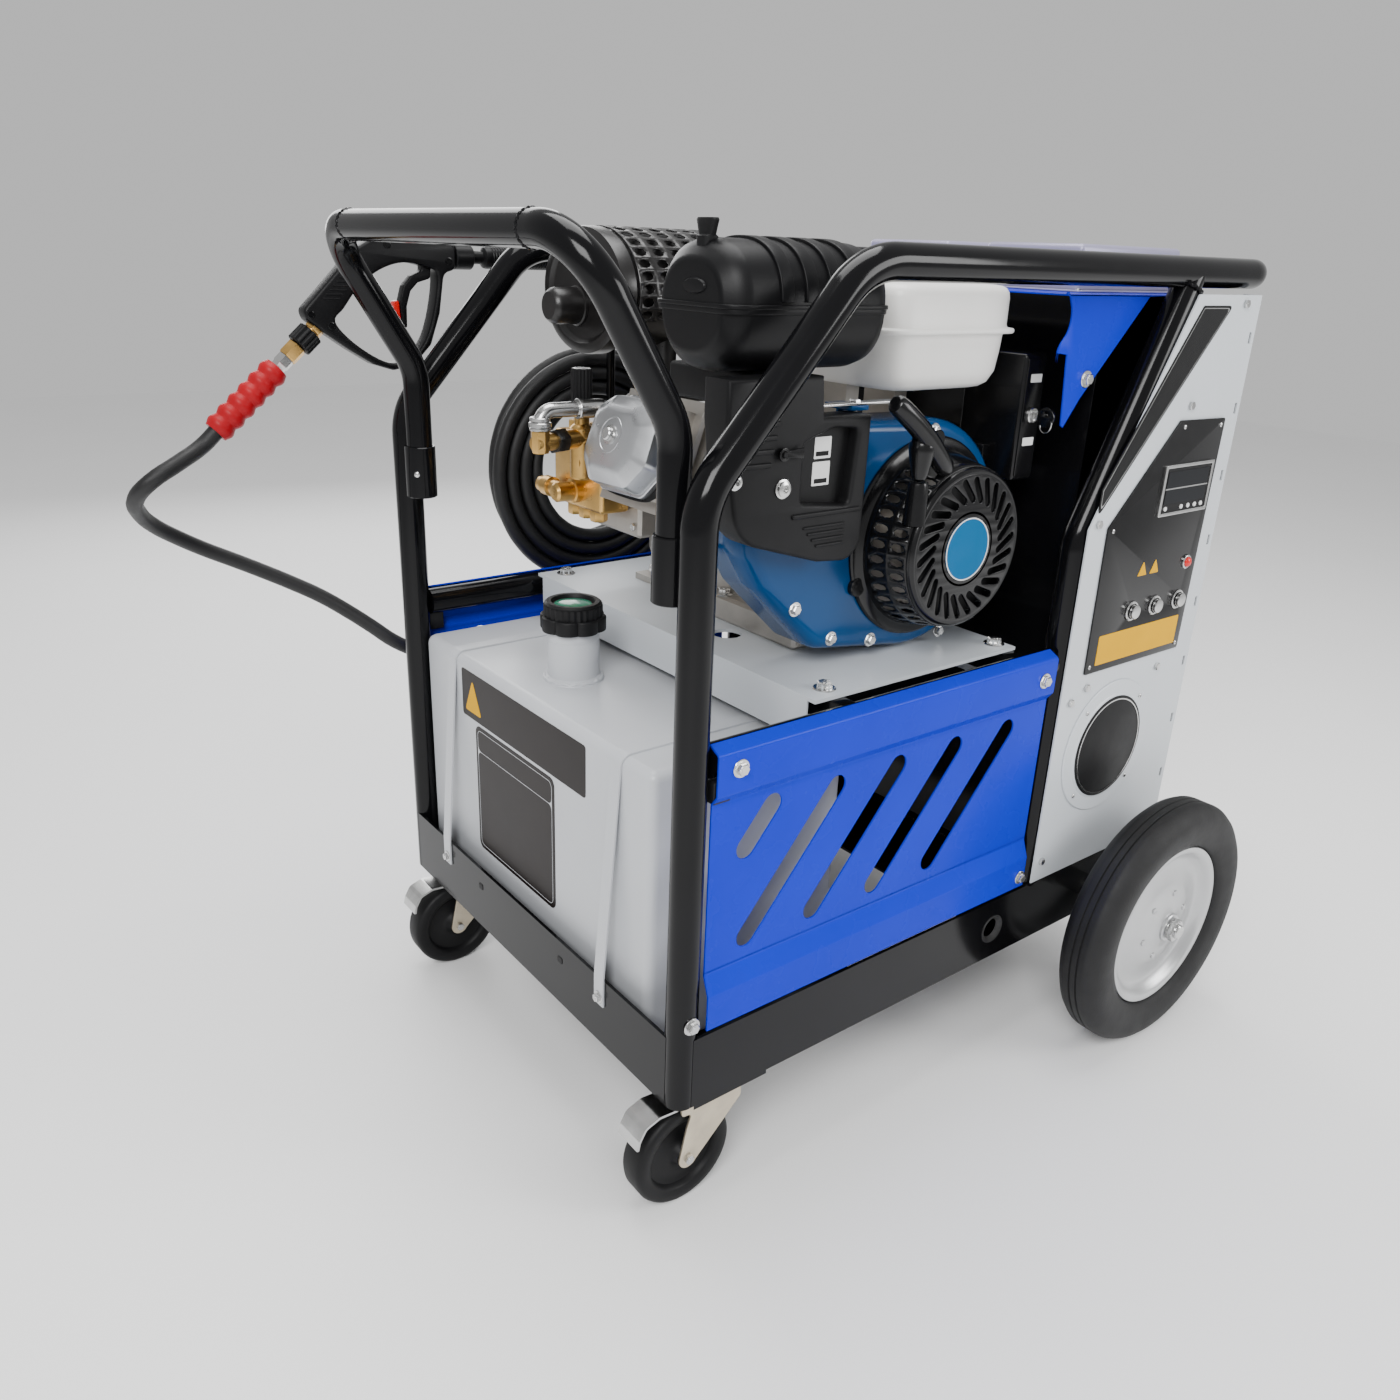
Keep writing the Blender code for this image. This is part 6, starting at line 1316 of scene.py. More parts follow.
    def controls(self) -> None:
        """Make the control plate, its display, lamp, labels and buttons."""
        outline = [(0.603, 0.521), (0.807, 0.521), (0.814, 0.818), (0.715, 0.820),
                   (0.601, 0.703)]
        bores = [circle((x, self.button_height), 0.0050, 24) for x in self.button_places]
        front = self.plate_front
        Shape().plate(rounded(outline, 0.003), front, self.face - 0.0003, Facing.SIDE, bores,
                      0.0003).piece("control_panel", GLOSS_PLASTIC, "frame", ["control_plate"])
        screws = Shape()
        for x, z in self.plate_screws:
            screws.screw((x, front, z), TO_NEAR, 0.0028)
        screws.piece("control_screws", BRIGHT_STEEL)
        bezel = box_outline((0.6965, 0.7065), (0.8025, 0.7685), 0.0015)
        window = box_outline((0.7005, 0.7105), (0.7985, 0.7645), 0.001)
        Shape().plate(bezel, front - 0.0035, front + 0.0005, Facing.SIDE, [window],
                      0.0005).piece("display_bezel", BRIGHT_STEEL)
        Shape().plate(box_outline((0.7000, 0.7100), (0.7990, 0.7650), 0.001), front - 0.0020,
                      front + 0.0005).piece("display_body", MATT_PLASTIC)
        glass = Shape()
        glass.plate(box_outline((0.7050, 0.7405), (0.7940, 0.7600), 0.0008), front - 0.0026,
                    front - 0.0016)
        glass.plate(box_outline((0.7050, 0.7210), (0.7940, 0.7385), 0.0008), front - 0.0026,
                    front - 0.0016)
        glass.piece("display_glass", SCREEN)
        Shape().plate(box_outline((0.7030, 0.7385), (0.7960, 0.7402), 0.0003, 1),
                      front - 0.0027, front - 0.0016).piece("display_bar", BRIGHT_STEEL)
        keys = Shape()
        for x in (0.710, 0.745, 0.760, 0.775, 0.789):
            keys.turned([(0, 0), (0.0028, 0), (0.0028, 0.0012), (0.0020, 0.0018), (0, 0.0018)],
                        (x, front - 0.0020, 0.7155), TO_NEAR, 20)
        keys.piece("display_keys", LABEL_WHITE)
        signs = Shape()
        for x in (0.6895, 0.7155):
            signs.plate(rounded([(x - 0.0095, 0.635), (x + 0.0095, 0.635), (x, 0.6525)], 0.001),
                        front - 0.0004, front + 0.0001)
        signs.plate(box_outline((0.6210, 0.5300), (0.7950, 0.5680), 0.002), front - 0.0004,
                    front + 0.0001)
        signs.piece("yellow_plates", LABEL_YELLOW)
        lamp = (0.787, front, 0.640)
        Shape().turned([(0, 0), (0.0090, 0), (0.0090, 0.0018), (0.0080, 0.0026),
                        (0.0068, 0.0026), (0.0066, 0.001), (0, 0.001)], lamp, TO_NEAR,
                       40).piece("lamp_ring", BRIGHT_STEEL)
        Shape().turned([(0.0064, 0.001), (0.0064, 0.0035), (0.0050, 0.0052), (0.0028, 0.0062),
                        (0, 0.0065)], lamp, TO_NEAR, 32).piece("lamp_lens", SIGNAL_RED)
        self.buttons()

    def buttons(self) -> None:
        """Make the three push buttons and the rings that they stand in."""
        bodies = ("start_push", "stop_push", "burner_push")
        nodes = ("start_button", "stop_button", "burner_button")
        rings = Shape()
        for x, body, node in zip(self.button_places, bodies, nodes):
            spot = (x, self.plate_front, self.button_height)
            rings.turned([(0.0100, 0.0001), (0.0125, 0.0001), (0.0127, 0.0012),
                          (0.0118, 0.0022), (0.0100, 0.0022)], spot, TO_NEAR, 40,
                         closed=True)
            r = 0.0088
            Shape().turned([(0, 0.0081), (r - 0.0022, 0.0081), (r - 0.0008, 0.0078),
                            (r, 0.0070), (r, 0.0036), (0.0042, 0.0034), (0.0042, -0.0140),
                            (0, -0.0140)], spot, TO_NEAR, 40).piece(
                f"{node}_cap", BRIGHT_STEEL, body, [node])
        rings.piece("button_rings", BRIGHT_STEEL)

    def outlet(self) -> None:
        """Make the hexagon nut of the water outlet on the far panel."""
        Shape().turned([(0.0128, 0.0), (0.0155, 0.0), (0.0160, 0.0012), (0.0160, 0.0095),
                        (0.0150, 0.0110), (0.0128, 0.0110)], (0.7995, WIDTH + 0.0028, 0.7125),
                       TO_FAR, 6, closed=True).piece("outlet_nut", BRASS)


# ------------------------------------------------------------------------------ engine
@dataclass
class Engine:
    """Petrol engine with its fan housing, starter, tank, intake and muffler."""

    crank: Flat = (0.396, 0.6965)
    blower_near: float = 0.100
    blower_back: float = 0.1622
    blower_radius: float = 0.128
    recoil_front: float = 0.032
    recoil_radius: float = 0.0875
    flange_radius: float = 0.112
    grille_slots: int = 26
    grip_hub: Spot = (0.3200, 0.044, 0.8190)
    tilt: float = radians(19)
    shroud_near: float = 0.062
    choke_pivot: Flat = (0.146, 0.812)
    cleaner: tuple[float, float] = (0.126, 0.940)
    muffler: tuple[float, float] = (0.446, 0.938)

    def build(self) -> None:
        """Make and dress every piece of the engine."""
        dress("crankcase", CAST_ALUMINIUM)
        dress("flywheel_and_crankshaft", CAST_ALUMINIUM)
        self.plate()
        self.housing()
        self.starter()
        self.grip()
        self.petrol_tank()
        self.air_cleaner()
        self.shroud()
        self.levers()
        self.exhaust()
        self.rocker_cover()
        self.key_box()

    def plate(self) -> None:
        """Dress the engine plate and add its bolts."""
        dress("engine_plate", GREY_ENAMEL)
        bolts = Shape()
        for x in CROSS_RAILS:
            for y in (0.057, 0.578):
                bolts.bolt((x, y, 0.5628), UP, 0.0085)
        for x in (0.281, 0.495):
            for y in (0.188, 0.302):
                bolts.bolt((x, y, 0.5951), UP, 0.0078)
        bolts.piece("engine_bolts", BRIGHT_STEEL)

    def outline(self, grow: float = 0.0) -> list[Flat]:
        """Return the fan housing's outline about the crank, larger or smaller."""
        x, z = self.crank
        duct = [(-0.150, -0.108), (-0.232, -0.030), (-0.256, 0.010), (-0.252, 0.085),
                (-0.140, 0.132)]
        points = arc((x, z), self.blower_radius + grow, 92, -100, 40)
        scale = 1 + grow / 0.16
        # The closing corners' own rounding, nine points at each end, is cut off again.
        points += rounded([(x - 0.024 * scale, z - 0.1262 * scale)]
                          + [(x + a * scale, z + b * scale) for a, b in duct]
                          + [(x - 0.0045, z + (self.blower_radius + grow))], 0.030, 8)[9:-9]
        return points

    def housing(self) -> None:
        """Make the blue fan housing as a shell with a rounded front edge."""
        mouth = 0.104
        x, z = self.crank
        rings = []
        for y, grow in ((self.blower_near + 0.004, None), (self.blower_near, None),
                        (self.blower_near, -0.012), (self.blower_near + 0.0006, -0.008),
                        (self.blower_near + 0.0025, -0.0045), (self.blower_near + 0.0060, -0.0015),
                        (self.blower_near + 0.0110, 0.0), (self.blower_back, 0.0)):
            base = self.outline(grow or 0.0)
            if grow is None:
                ring = []
                for u, v in base:
                    angle = atan2(v - z, u - x)
                    ring.append((x + mouth * cos(angle), y, z + mouth * sin(angle)))
            else:
                ring = [(u, y, v) for u, v in base]
            rings.append(ring)
        shape = Shape().loft(rings, caps=False)
        shape.piece("fan_housing", ENGINE_BLUE, "frame", ["blower_housing"], 40,
                    thickness=0.0022)
        pad_top = z + 0.152
        Shape().block((0.252, self.blower_near - 0.020, pad_top - 0.005),
                      (0.276, self.blower_near + 0.020, pad_top), 0.0012).block(
            (0.253, self.blower_near + 0.001, z + 0.098),
            (0.275, self.blower_near + 0.004, pad_top - 0.001), 0.0008).piece(
            "lever_bracket", ENGINE_BLUE)
        bolts = Shape()
        for u, v in ((0.401, 0.8130), (0.304, 0.694), (0.446, 0.577), (0.212, 0.640),
                     (0.268, 0.598), (0.330, 0.586)):
            bolts.bolt((u, self.blower_near, v), TO_NEAR, 0.0056)
        bolts.piece("housing_bolts", BRIGHT_STEEL)

    def starter(self) -> None:
        """Make the ribbed recoil cover, its grille, badge and rope guide."""
        x, z = self.crank
        back, front = self.blower_near - 0.0003, self.recoil_front
        wall_back, wall_front = back - 0.014, front + 0.007

        def wall(u: float, v: float) -> Vector:
            angle = 2 * pi * u
            radius = 0.0975 + (self.recoil_radius - 0.0975) * v
            return Vector((x + radius * cos(angle), wall_back + (wall_front - wall_back) * v,
                           z + radius * sin(angle)))

        shape = Shape().pierced(wall, 36, 2, (0.56, 0.74), around=True,
                                keep=lambda c, r: 5 <= c <= 11)
        shape.piece("recoil_wall", GLOSS_PLASTIC, "frame", ["recoil_cover"], 40,
                    thickness=0.0016)
        r = self.flange_radius
        flange = Shape().turned([(0.0955, 0.0145), (0.0985, 0.0150), (0.0990, 0.0090),
                                 (r - 0.008, 0.0055), (r - 0.002, 0.0050), (r, 0.0035),
                                 (r, 0.0), (0.0965, 0.0)], (x, back, z), TO_NEAR, 72,
                                closed=True)
        for angle in (87, 204, 293, 330):
            a = radians(angle)
            flange.turned([(0, 0.0), (0.0105, 0.0), (0.0105, 0.0060), (0.0095, 0.0070),
                           (0, 0.0070)],
                          (x + (r - 0.004) * cos(a), back, z + (r - 0.004) * sin(a)),
                          TO_NEAR, 24)
        flange.piece("recoil_flange", GLOSS_PLASTIC)
        slots = []
        for i in range(self.grille_slots):
            angle = 360 * i / self.grille_slots
            out, turn = 0.0640, radians(angle)
            slots.append(slot((x + out * cos(turn), z + out * sin(turn)), 0.0245, 0.0078,
                              angle + 34, 5))
        grille = Shape().plate(circle((x, z), 0.0815, 96), front, front + 0.0035, Facing.SIDE,
                               slots, 0.0006)
        grille.turned([(0.0800, -0.0002), (0.0835, 0.0), (0.0862, -0.0018), (0.0875, -0.0045),
                       (0.0875, -0.0075), (0.0855, -0.0075), (0.0850, -0.0045),
                       (0.0800, -0.0034)], (x, front, z), TO_NEAR, 96, closed=True)
        grille.turned([(0.0385, -0.001), (0.0425, -0.001), (0.0410, 0.0012), (0.0385, 0.0012)],
                      (x, front + 0.0012, z), TO_NEAR, 72, closed=True)
        grille.piece("recoil_grille", GLOSS_PLASTIC)
        Shape().turned([(0, 0.0), (0.080, 0.0), (0.080, 0.0015), (0, 0.0015)],
                       (x, front + 0.014, z), TO_NEAR, 64).piece("starter_pulley",
                                                                    MATT_PLASTIC)
        badge = (x, front, z)
        Shape().turned([(0, -0.0005), (0.0345, -0.0005), (0.0345, 0.0006), (0, 0.0008)],
                       badge, TO_NEAR, 64).piece("starter_badge", BADGE_BLUE)
        Shape().turned([(0.0332, 0.0005), (0.0345, 0.0005), (0.0345, 0.0009),
                        (0.0332, 0.0009)], badge, TO_NEAR, 64, closed=True).piece(
            "badge_ring", LABEL_WHITE)
        hub = Vector(self.grip_hub)
        seat = hub - Vector((0, 0, 0.045))
        Shape().turned([(0, -0.044), (0.0125, -0.044), (0.0115, -0.020), (0.0110, -0.004),
                        (0.0100, -0.0003), (0, -0.0003)], seat, UP, 32).piece(
            "rope_guide", GLOSS_PLASTIC)

    def grip(self) -> None:
        """Make the starter's pull grip."""
        hub = Vector(self.grip_hub)
        line = [(-0.0475, 0, 0.0365), (-0.046, 0, 0.0360), (-0.038, -0.0020, 0.0305),
                (-0.020, -0.0040, 0.0170), (0.0, -0.0045, 0.0010), (0.016, -0.0040, -0.0140),
                (0.032, -0.0018, -0.0290), (0.040, 0, -0.0360), (0.0412, 0, -0.0372)]
        sizes = [0.0065, 0.0098, 0.0112, 0.0110, 0.0112, 0.0110, 0.0112, 0.0098, 0.0065]
        shape = Shape().pipe([hub + Vector(p) for p in line], sizes, 24)
        for top, low in ((0.014, -0.012), (0.010, -0.020)):
            shape.block(hub + Vector((-top, -0.0070, low)), hub + Vector((top, 0.0050, 0.004)),
                        0.004, 3)
        shape.turned([(0, 0.0), (0.0150, -0.003), (0.0135, -0.014), (0.0105, -0.030),
                      (0.0085, -0.0440), (0, -0.0447)], hub, UP, 24)
        shape.piece("pull_grip", GLOSS_PLASTIC, "starter_grip", ["recoil_grip"], smooth=1)

    def petrol_tank(self) -> None:
        """Make the white petrol tank and its cap."""
        cx, cy = 0.4065, 0.190
        rows = ((0.8560, 0.070, 0.084), (0.8575, 0.075, 0.089), (0.8620, 0.081, 0.095),
                (0.8740, 0.0865, 0.1005), (0.8950, 0.0890, 0.1025), (0.9120, 0.0900, 0.1035),
                (0.9135, 0.0920, 0.1040), (0.9140, 0.0998, 0.1110), (0.9155, 0.1005, 0.1120),
                (0.9175, 0.1005, 0.1120), (0.9190, 0.0998, 0.1110), (0.9200, 0.0945, 0.1060),
                (0.9230, 0.0935, 0.1050), (0.9500, 0.0935, 0.1050), (0.9560, 0.0925, 0.1040),
                (0.9600, 0.0900, 0.1015), (0.9622, 0.0860, 0.0975), (0.9630, 0.0800, 0.0915))
        rings = [oval((cx, cy, z), (a, b), 8.0, Facing.TOP, 128) for z, a, b in rows]
        Shape().loft(rings).piece("petrol_tank", WHITE_PLASTIC, "frame",
                                  ["engine_fuel_tank"], 55)
        cap = wavy((0.435, 0.220), lambda a: 0.0290 + 0.0009 * cos(18 * a), 180)
        Shape().plate(cap, 0.9625, 0.9830, Facing.TOP, edge=0.0018).piece(
            "petrol_cap", MATT_PLASTIC)

    def air_cleaner(self) -> None:
        """Make the air cleaner with its ribs, seam, end boss and wing knob."""
        y, z = self.cleaner
        rows = ((0.0822, 0.0400, 0.0370), (0.0824, 0.0440, 0.0410), (0.0845, 0.0465, 0.0435),
                (0.0900, 0.0530, 0.0495), (0.0960, 0.0585, 0.0550), (0.1020, 0.0610, 0.0570),
                (0.1060, 0.0620, 0.0580), (0.1800, 0.0620, 0.0580), (0.2600, 0.0620, 0.0580),
                (0.2720, 0.0590, 0.0550), (0.2790, 0.0520, 0.0480), (0.2820, 0.0420, 0.0380))
        rings = [oval((x, y, z), (a, b), 2.35, Facing.FRONT, 72) for x, a, b in rows]
        shape = Shape().loft(rings)
        for x in (0.136, 0.166, 0.196, 0.226):
            arch = []
            for grow in (0.0028, -0.0030):
                line = []
                for i in range(41):
                    angle = radians(4 + 172 * i / 40)
                    c, v = cos(angle), sin(angle)
                    line.append((y + (0.0620 + grow) * abs(c) ** (2 / 2.35) * (1 if c > 0 else -1),
                                 z + (0.0580 + grow) * abs(v) ** (2 / 2.35)))
                arch += line if grow > 0 else line[::-1]
            shape.plate(arch, x, x + 0.015, Facing.FRONT, edge=0.0012)
        half = 0.0645
        shape.plate(box_outline((0.0800, y - half), (0.2850, y + half), 0.024, 10),
                    z - 0.0005, z + 0.0035, Facing.TOP, edge=0.0010)
        shape.plate(box_outline((0.0812, y - half + 0.0012), (0.2838, y + half - 0.0012),
                                0.023, 10), z - 0.0050, z + 0.0010, Facing.TOP, edge=0.0010)
        boss = [oval((x, y - 0.006, z + 0.017), (a, b), 2.0, Facing.FRONT, 40)
                for x, a, b in ((0.0840, 0.0170, 0.0075), (0.0815, 0.0165, 0.0070),
                                (0.0800, 0.0150, 0.0058), (0.0796, 0.0110, 0.0035))]
        shape.loft(boss)
        shape.piece("air_cleaner_shell", BLACK_PLASTIC, "frame", ["air_cleaner"], 38)
        knob = [oval((0.0990, y, h), (a, b), 3.0, Facing.TOP, 40)
                for h, a, b in ((0.9900, 0.0085, 0.0085), (0.9985, 0.0085, 0.0090),
                                (1.0000, 0.0050, 0.0095), (1.0070, 0.0050, 0.0120),
                                (1.0120, 0.0050, 0.0140), (1.0138, 0.0042, 0.0132))]
        Shape().loft(knob).piece("cleaner_knob", MATT_PLASTIC)

    def shroud(self) -> None:
        """Make the carburettor's shroud, its window, louvres, labels and screws."""
        near, back, roof = self.shroud_near, 0.0997, 0.8811
        outline = [(0.080, roof), (0.080, 0.845), (0.088, 0.780),
                   *arc((0.137, 0.768), 0.046, 190, 255, 10), (0.205, 0.700),
                   *arc((0.238, 0.722), 0.025, 260, 355, 10), (0.264, 0.842),
                   (0.200, 0.842), (0.196, roof)]
        window = rounded([(0.176, 0.762), (0.240, 0.755), (0.247, 0.830), (0.214, 0.832),
                          (0.176, 0.820)], 0.006)
        shape = Shape().plate(outline, near, back, Facing.SIDE, [window], 0.0045)
        shape.block((0.168, near + 0.014, 0.748), (0.252, near + 0.018, 0.838))
        shape.block((0.140, back - 0.002, 0.847), (0.196, 0.236, roof), 0.004)
        for i in range(5):
            z = 0.800 + 0.0125 * i
            shape.block((0.098, near - 0.0018, z), (0.134 + 0.003 * i, near + 0.004, z + 0.0052),
                        0.0016)
        for i in range(4):
            z = 0.716 + 0.0065 * i
            shape.block((0.180 + 0.006 * (3 - i), near - 0.0016, z), (0.236, near + 0.004,
                                                                      z + 0.0030), 0.0012)
        shape.block((0.164, near - 0.0025, 0.7475), (0.256, near + 0.004, 0.7525), 0.0018)
        shape.turned([(0, 0.0), (0.003, 0.0), (0.003, 0.0090), (0.0024, 0.0100), (0, 0.0100)],
                     (self.choke_pivot[0], near + 0.003, self.choke_pivot[1]), TO_NEAR, 20)
        shape.piece("intake_cover", MATT_PLASTIC, "frame", ["intake_shroud"], 38)
        inset = near + 0.0136
        labels = Shape()
        labels.plate(box_outline((0.2010, 0.8010), (0.2230, 0.8220), 0.001), inset, inset + 0.001)
        labels.plate(box_outline((0.2000, 0.7745), (0.2230, 0.7980), 0.001), inset, inset + 0.001)
        labels.piece("intake_labels", LABEL_WHITE)
        bands = Shape()
        for z in (0.8035, 0.7768):
            bands.plate(box_outline((0.2030, z), (0.2200, z + 0.0045), 0.0004, 1),
                        inset - 0.0002, inset + 0.0005)
        bands.piece("intake_label_bands", GLOSS_PLASTIC)
        screws = Shape()
        for u, v, r in ((0.091, 0.7905, 0.0062), (0.150, 0.7790, 0.0075)):
            screws.turned([(0, -0.0005), (r * 1.25, -0.0005), (r * 1.25, 0.0012), (r, 0.0016),
                           (r, 0.0042), (r * 0.7, 0.0052), (r * 0.45, 0.0052),
                           (r * 0.42, 0.0020), (0, 0.0020)], (u, near, v), TO_NEAR, 32)
        screws.piece("intake_screws", BRIGHT_STEEL)

    def levers(self) -> None:
        """Make the choke lever and the throttle lever."""
        near, pivot = self.shroud_near, self.choke_pivot
        outline = [*arc(pivot, 0.0065, 30, 330, 20), (0.170, 0.8070), (0.170, 0.8170)]
        Shape().plate(outline, near - 0.0055, near - 0.0025, Facing.SIDE,
                      [circle(pivot, 0.0034, 20)], 0.0005).piece(
            "choke_plate", GLOSS_PLASTIC, "choke", ["choke_lever"])
        x, y, z = 0.264, self.blower_near - 0.011, self.crank[1] + 0.152 + 0.0003
        blade = rounded([(0.206, y - 0.007), (0.300, y - 0.0085), (0.332, y - 0.009),
                         (0.334, y + 0.004), (0.300, y + 0.007), (0.206, y + 0.005)], 0.003)
        shape = Shape().plate(blade, z, z + 0.0022, Facing.TOP, edge=0.0003)
        shape.turned([(0, 0.001), (0.0058, 0.001), (0.0058, 0.0032), (0.0050, 0.0048),
                      (0, 0.0050)], (x, y, z), UP, 6)
        shape.piece("throttle_blade", BRIGHT_STEEL, "throttle", ["throttle_lever"])

    def exhaust(self) -> None:
        """Make the muffler with its pierced guard, its stub and its pipe."""
        y, z = self.muffler
        front, wide, tall = 0.165, 0.086, 0.070
        widen = wide / tall
        can = Shape().turned([(0, 0.005), (tall - 0.018, 0.005), (tall - 0.015, 0.0035),
                              (tall - 0.012, 0.0), (tall - 0.006, 0.0), (tall - 0.001, 0.002),
                              (tall, 0.006), (tall, 0.020), (tall - 0.003, 0.023),
                              (tall - 0.005, 0.030), (tall - 0.005, 0.165),
                              (tall - 0.003, 0.172), (tall - 0.006, 0.186),
                              (tall - 0.016, 0.195), (0, 0.195)], (front, y, z), TO_REAR, 72,
                             stretch=widen)
        route = bent([(0.262, 0.412, z - 0.040), (0.262, 0.412, 0.803), (0.262, 0.3703, 0.803)],
                     [0.018], 8)
        can.pipe(route, 0.014, 24)
        can.piece("muffler_can", HOT_STEEL, "frame", ["muffler"], 34)

        def guard(u: float, v: float) -> Vector:
            angle = radians(-24 + 228 * u)
            return Vector((front + 0.024 + 0.146 * v, y + wide * cos(angle),
                           z + tall * sin(angle)))

        Shape().pierced(guard, 20, 6, (0.74, 0.66)).piece(
            "muffler_guard", HOT_STEEL, "frame", (), 40, thickness=0.0014)
        stub = Shape().turned([(0, 0.036), (0.0150, 0.036), (0.0165, 0.0350), (0.0195, 0.0310),
                               (0.0205, 0.0280), (0.0205, 0.0), (0.0225, -0.001),
                               (0.0225, -0.008), (0, -0.008)],
                              (front, y + 0.012, z - 0.017), TO_FRONT, 48)
        stub.piece("muffler_stub", HOT_STEEL)

    def rocker_cover(self) -> None:
        """Make the polished rocker cover, tilted with the cylinder."""
        inner = self.crank[0] - 0.262 - 0.0003
        y, z = 0.299, self.crank[1]
        corners = [(-0.066, -0.020), (-0.040, -0.052), (0.040, -0.054), (0.067, -0.026),
                   (0.062, 0.036), (0.030, 0.054), (-0.044, 0.054), (-0.066, 0.030)]
        flat = rounded(corners, 0.016, 5)
        rows = ((0.0, 1.0), (-0.0055, 1.0), (-0.0064, 0.985), (-0.0066, 0.945), (-0.0200, 0.925),
                (-0.0270, 0.890), (-0.0360, 0.700), (-0.0385, 0.620), (-0.0398, 0.540))
        rings = [[(inner + x, y + 0.002 + u * k, z + v * k) for u, v in flat] for x, k in rows]
        shape = Shape().loft(rings)
        shape.turned([(0.0215, -0.0015), (0.0200, 0.0018), (0.0180, 0.0018), (0.0165, -0.0005),
                      (0.0160, -0.0020)], (inner - 0.0385, y + 0.002, z + 0.004), TO_FRONT, 48,
                     closed=True)
        crank = Matrix.Translation((self.crank[0], 0, self.crank[1]))
        turn = crank @ Matrix.Rotation(self.tilt, 4, "Y") @ crank.inverted()
        shape.moved(turn).piece("rocker_cover", POLISHED, "frame", ["valve_cover"], 28)
        bolt = Shape().turned([(0, 0.0), (0.0110, 0.0), (0.0110, 0.0015), (0.0075, 0.0018),
                               (0.0072, 0.0055), (0.0060, 0.0068), (0, 0.0068)],
                              (inner - 0.0396, y + 0.002, z + 0.004), TO_FRONT, 24)
        bolt.moved(turn).piece("rocker_bolt", BRIGHT_STEEL)
        gasket = Shape().loft([oval((inner + x, y, z), (0.0690, 0.0560), 3.4, Facing.FRONT, 72)
                               for x in (0.0002, 0.0022)])
        gasket.moved(turn).piece("rocker_gasket", MATT_PLASTIC)

    def key_box(self) -> None:
        """Make the engine switch box, its lock and its key."""
        low, high = (0.512, 0.075, 0.752), (0.550, 0.160, 0.893)
        shape = Shape().block(low, high, 0.0045, 4)
        shape.block((0.4997, 0.110, 0.770), (0.516, 0.150, 0.790), 0.001)
        shape.block((0.5155, 0.0735, 0.758), (0.5465, 0.0760, 0.887), 0.0008)
        shape.piece("key_box", GLOSS_PLASTIC, "frame", ["switch_box"])
        Shape().turned([(0, 0.0), (0.0090, 0.0), (0.0090, 0.0040), (0.0078, 0.0050),
                        (0.0060, 0.0050), (0.0055, 0.0040), (0, 0.0040)],
                       (0.531, 0.0745, 0.826), TO_NEAR, 36).piece("key_lock", BRIGHT_STEEL)
        strips = Shape()
        for v in (0.862, 0.792):
            strips.plate(box_outline((0.522, v), (0.541, v + 0.009), 0.0008), 0.0730, 0.0736)
        strips.piece("key_box_strips", LABEL_WHITE)
        face = 0.0705
        blade = Shape().block((0.5298, face - 0.012, 0.8222), (0.5322, face - 0.0002, 0.8298),
                              0.0004)
        bow = Shape().plate(circle((0, 0), 0.011, 36), -0.0022, 0.0022, Facing.FRONT,
                            [circle((0, 0.004), 0.0030, 20)], 0.0006)
        bow.moved(Matrix.Translation((0.531, face - 0.018, 0.826)))
        blade.piece("key_blade", BRIGHT_STEEL, "key", ["ignition_key"])
        bow.piece("key_bow", GLOSS_PLASTIC, "key")
        ring = []
        for i in range(49):
            angle = 2 * pi * i / 48
            ring.append((0.531 + 0.0016 * sin(angle), face - 0.018 + 0.009 * sin(angle),
                         0.8195 + 0.010 * cos(angle) - 0.0005))
        Shape().pipe(ring, 0.0008, 10).piece("key_ring", BRIGHT_STEEL, "key")


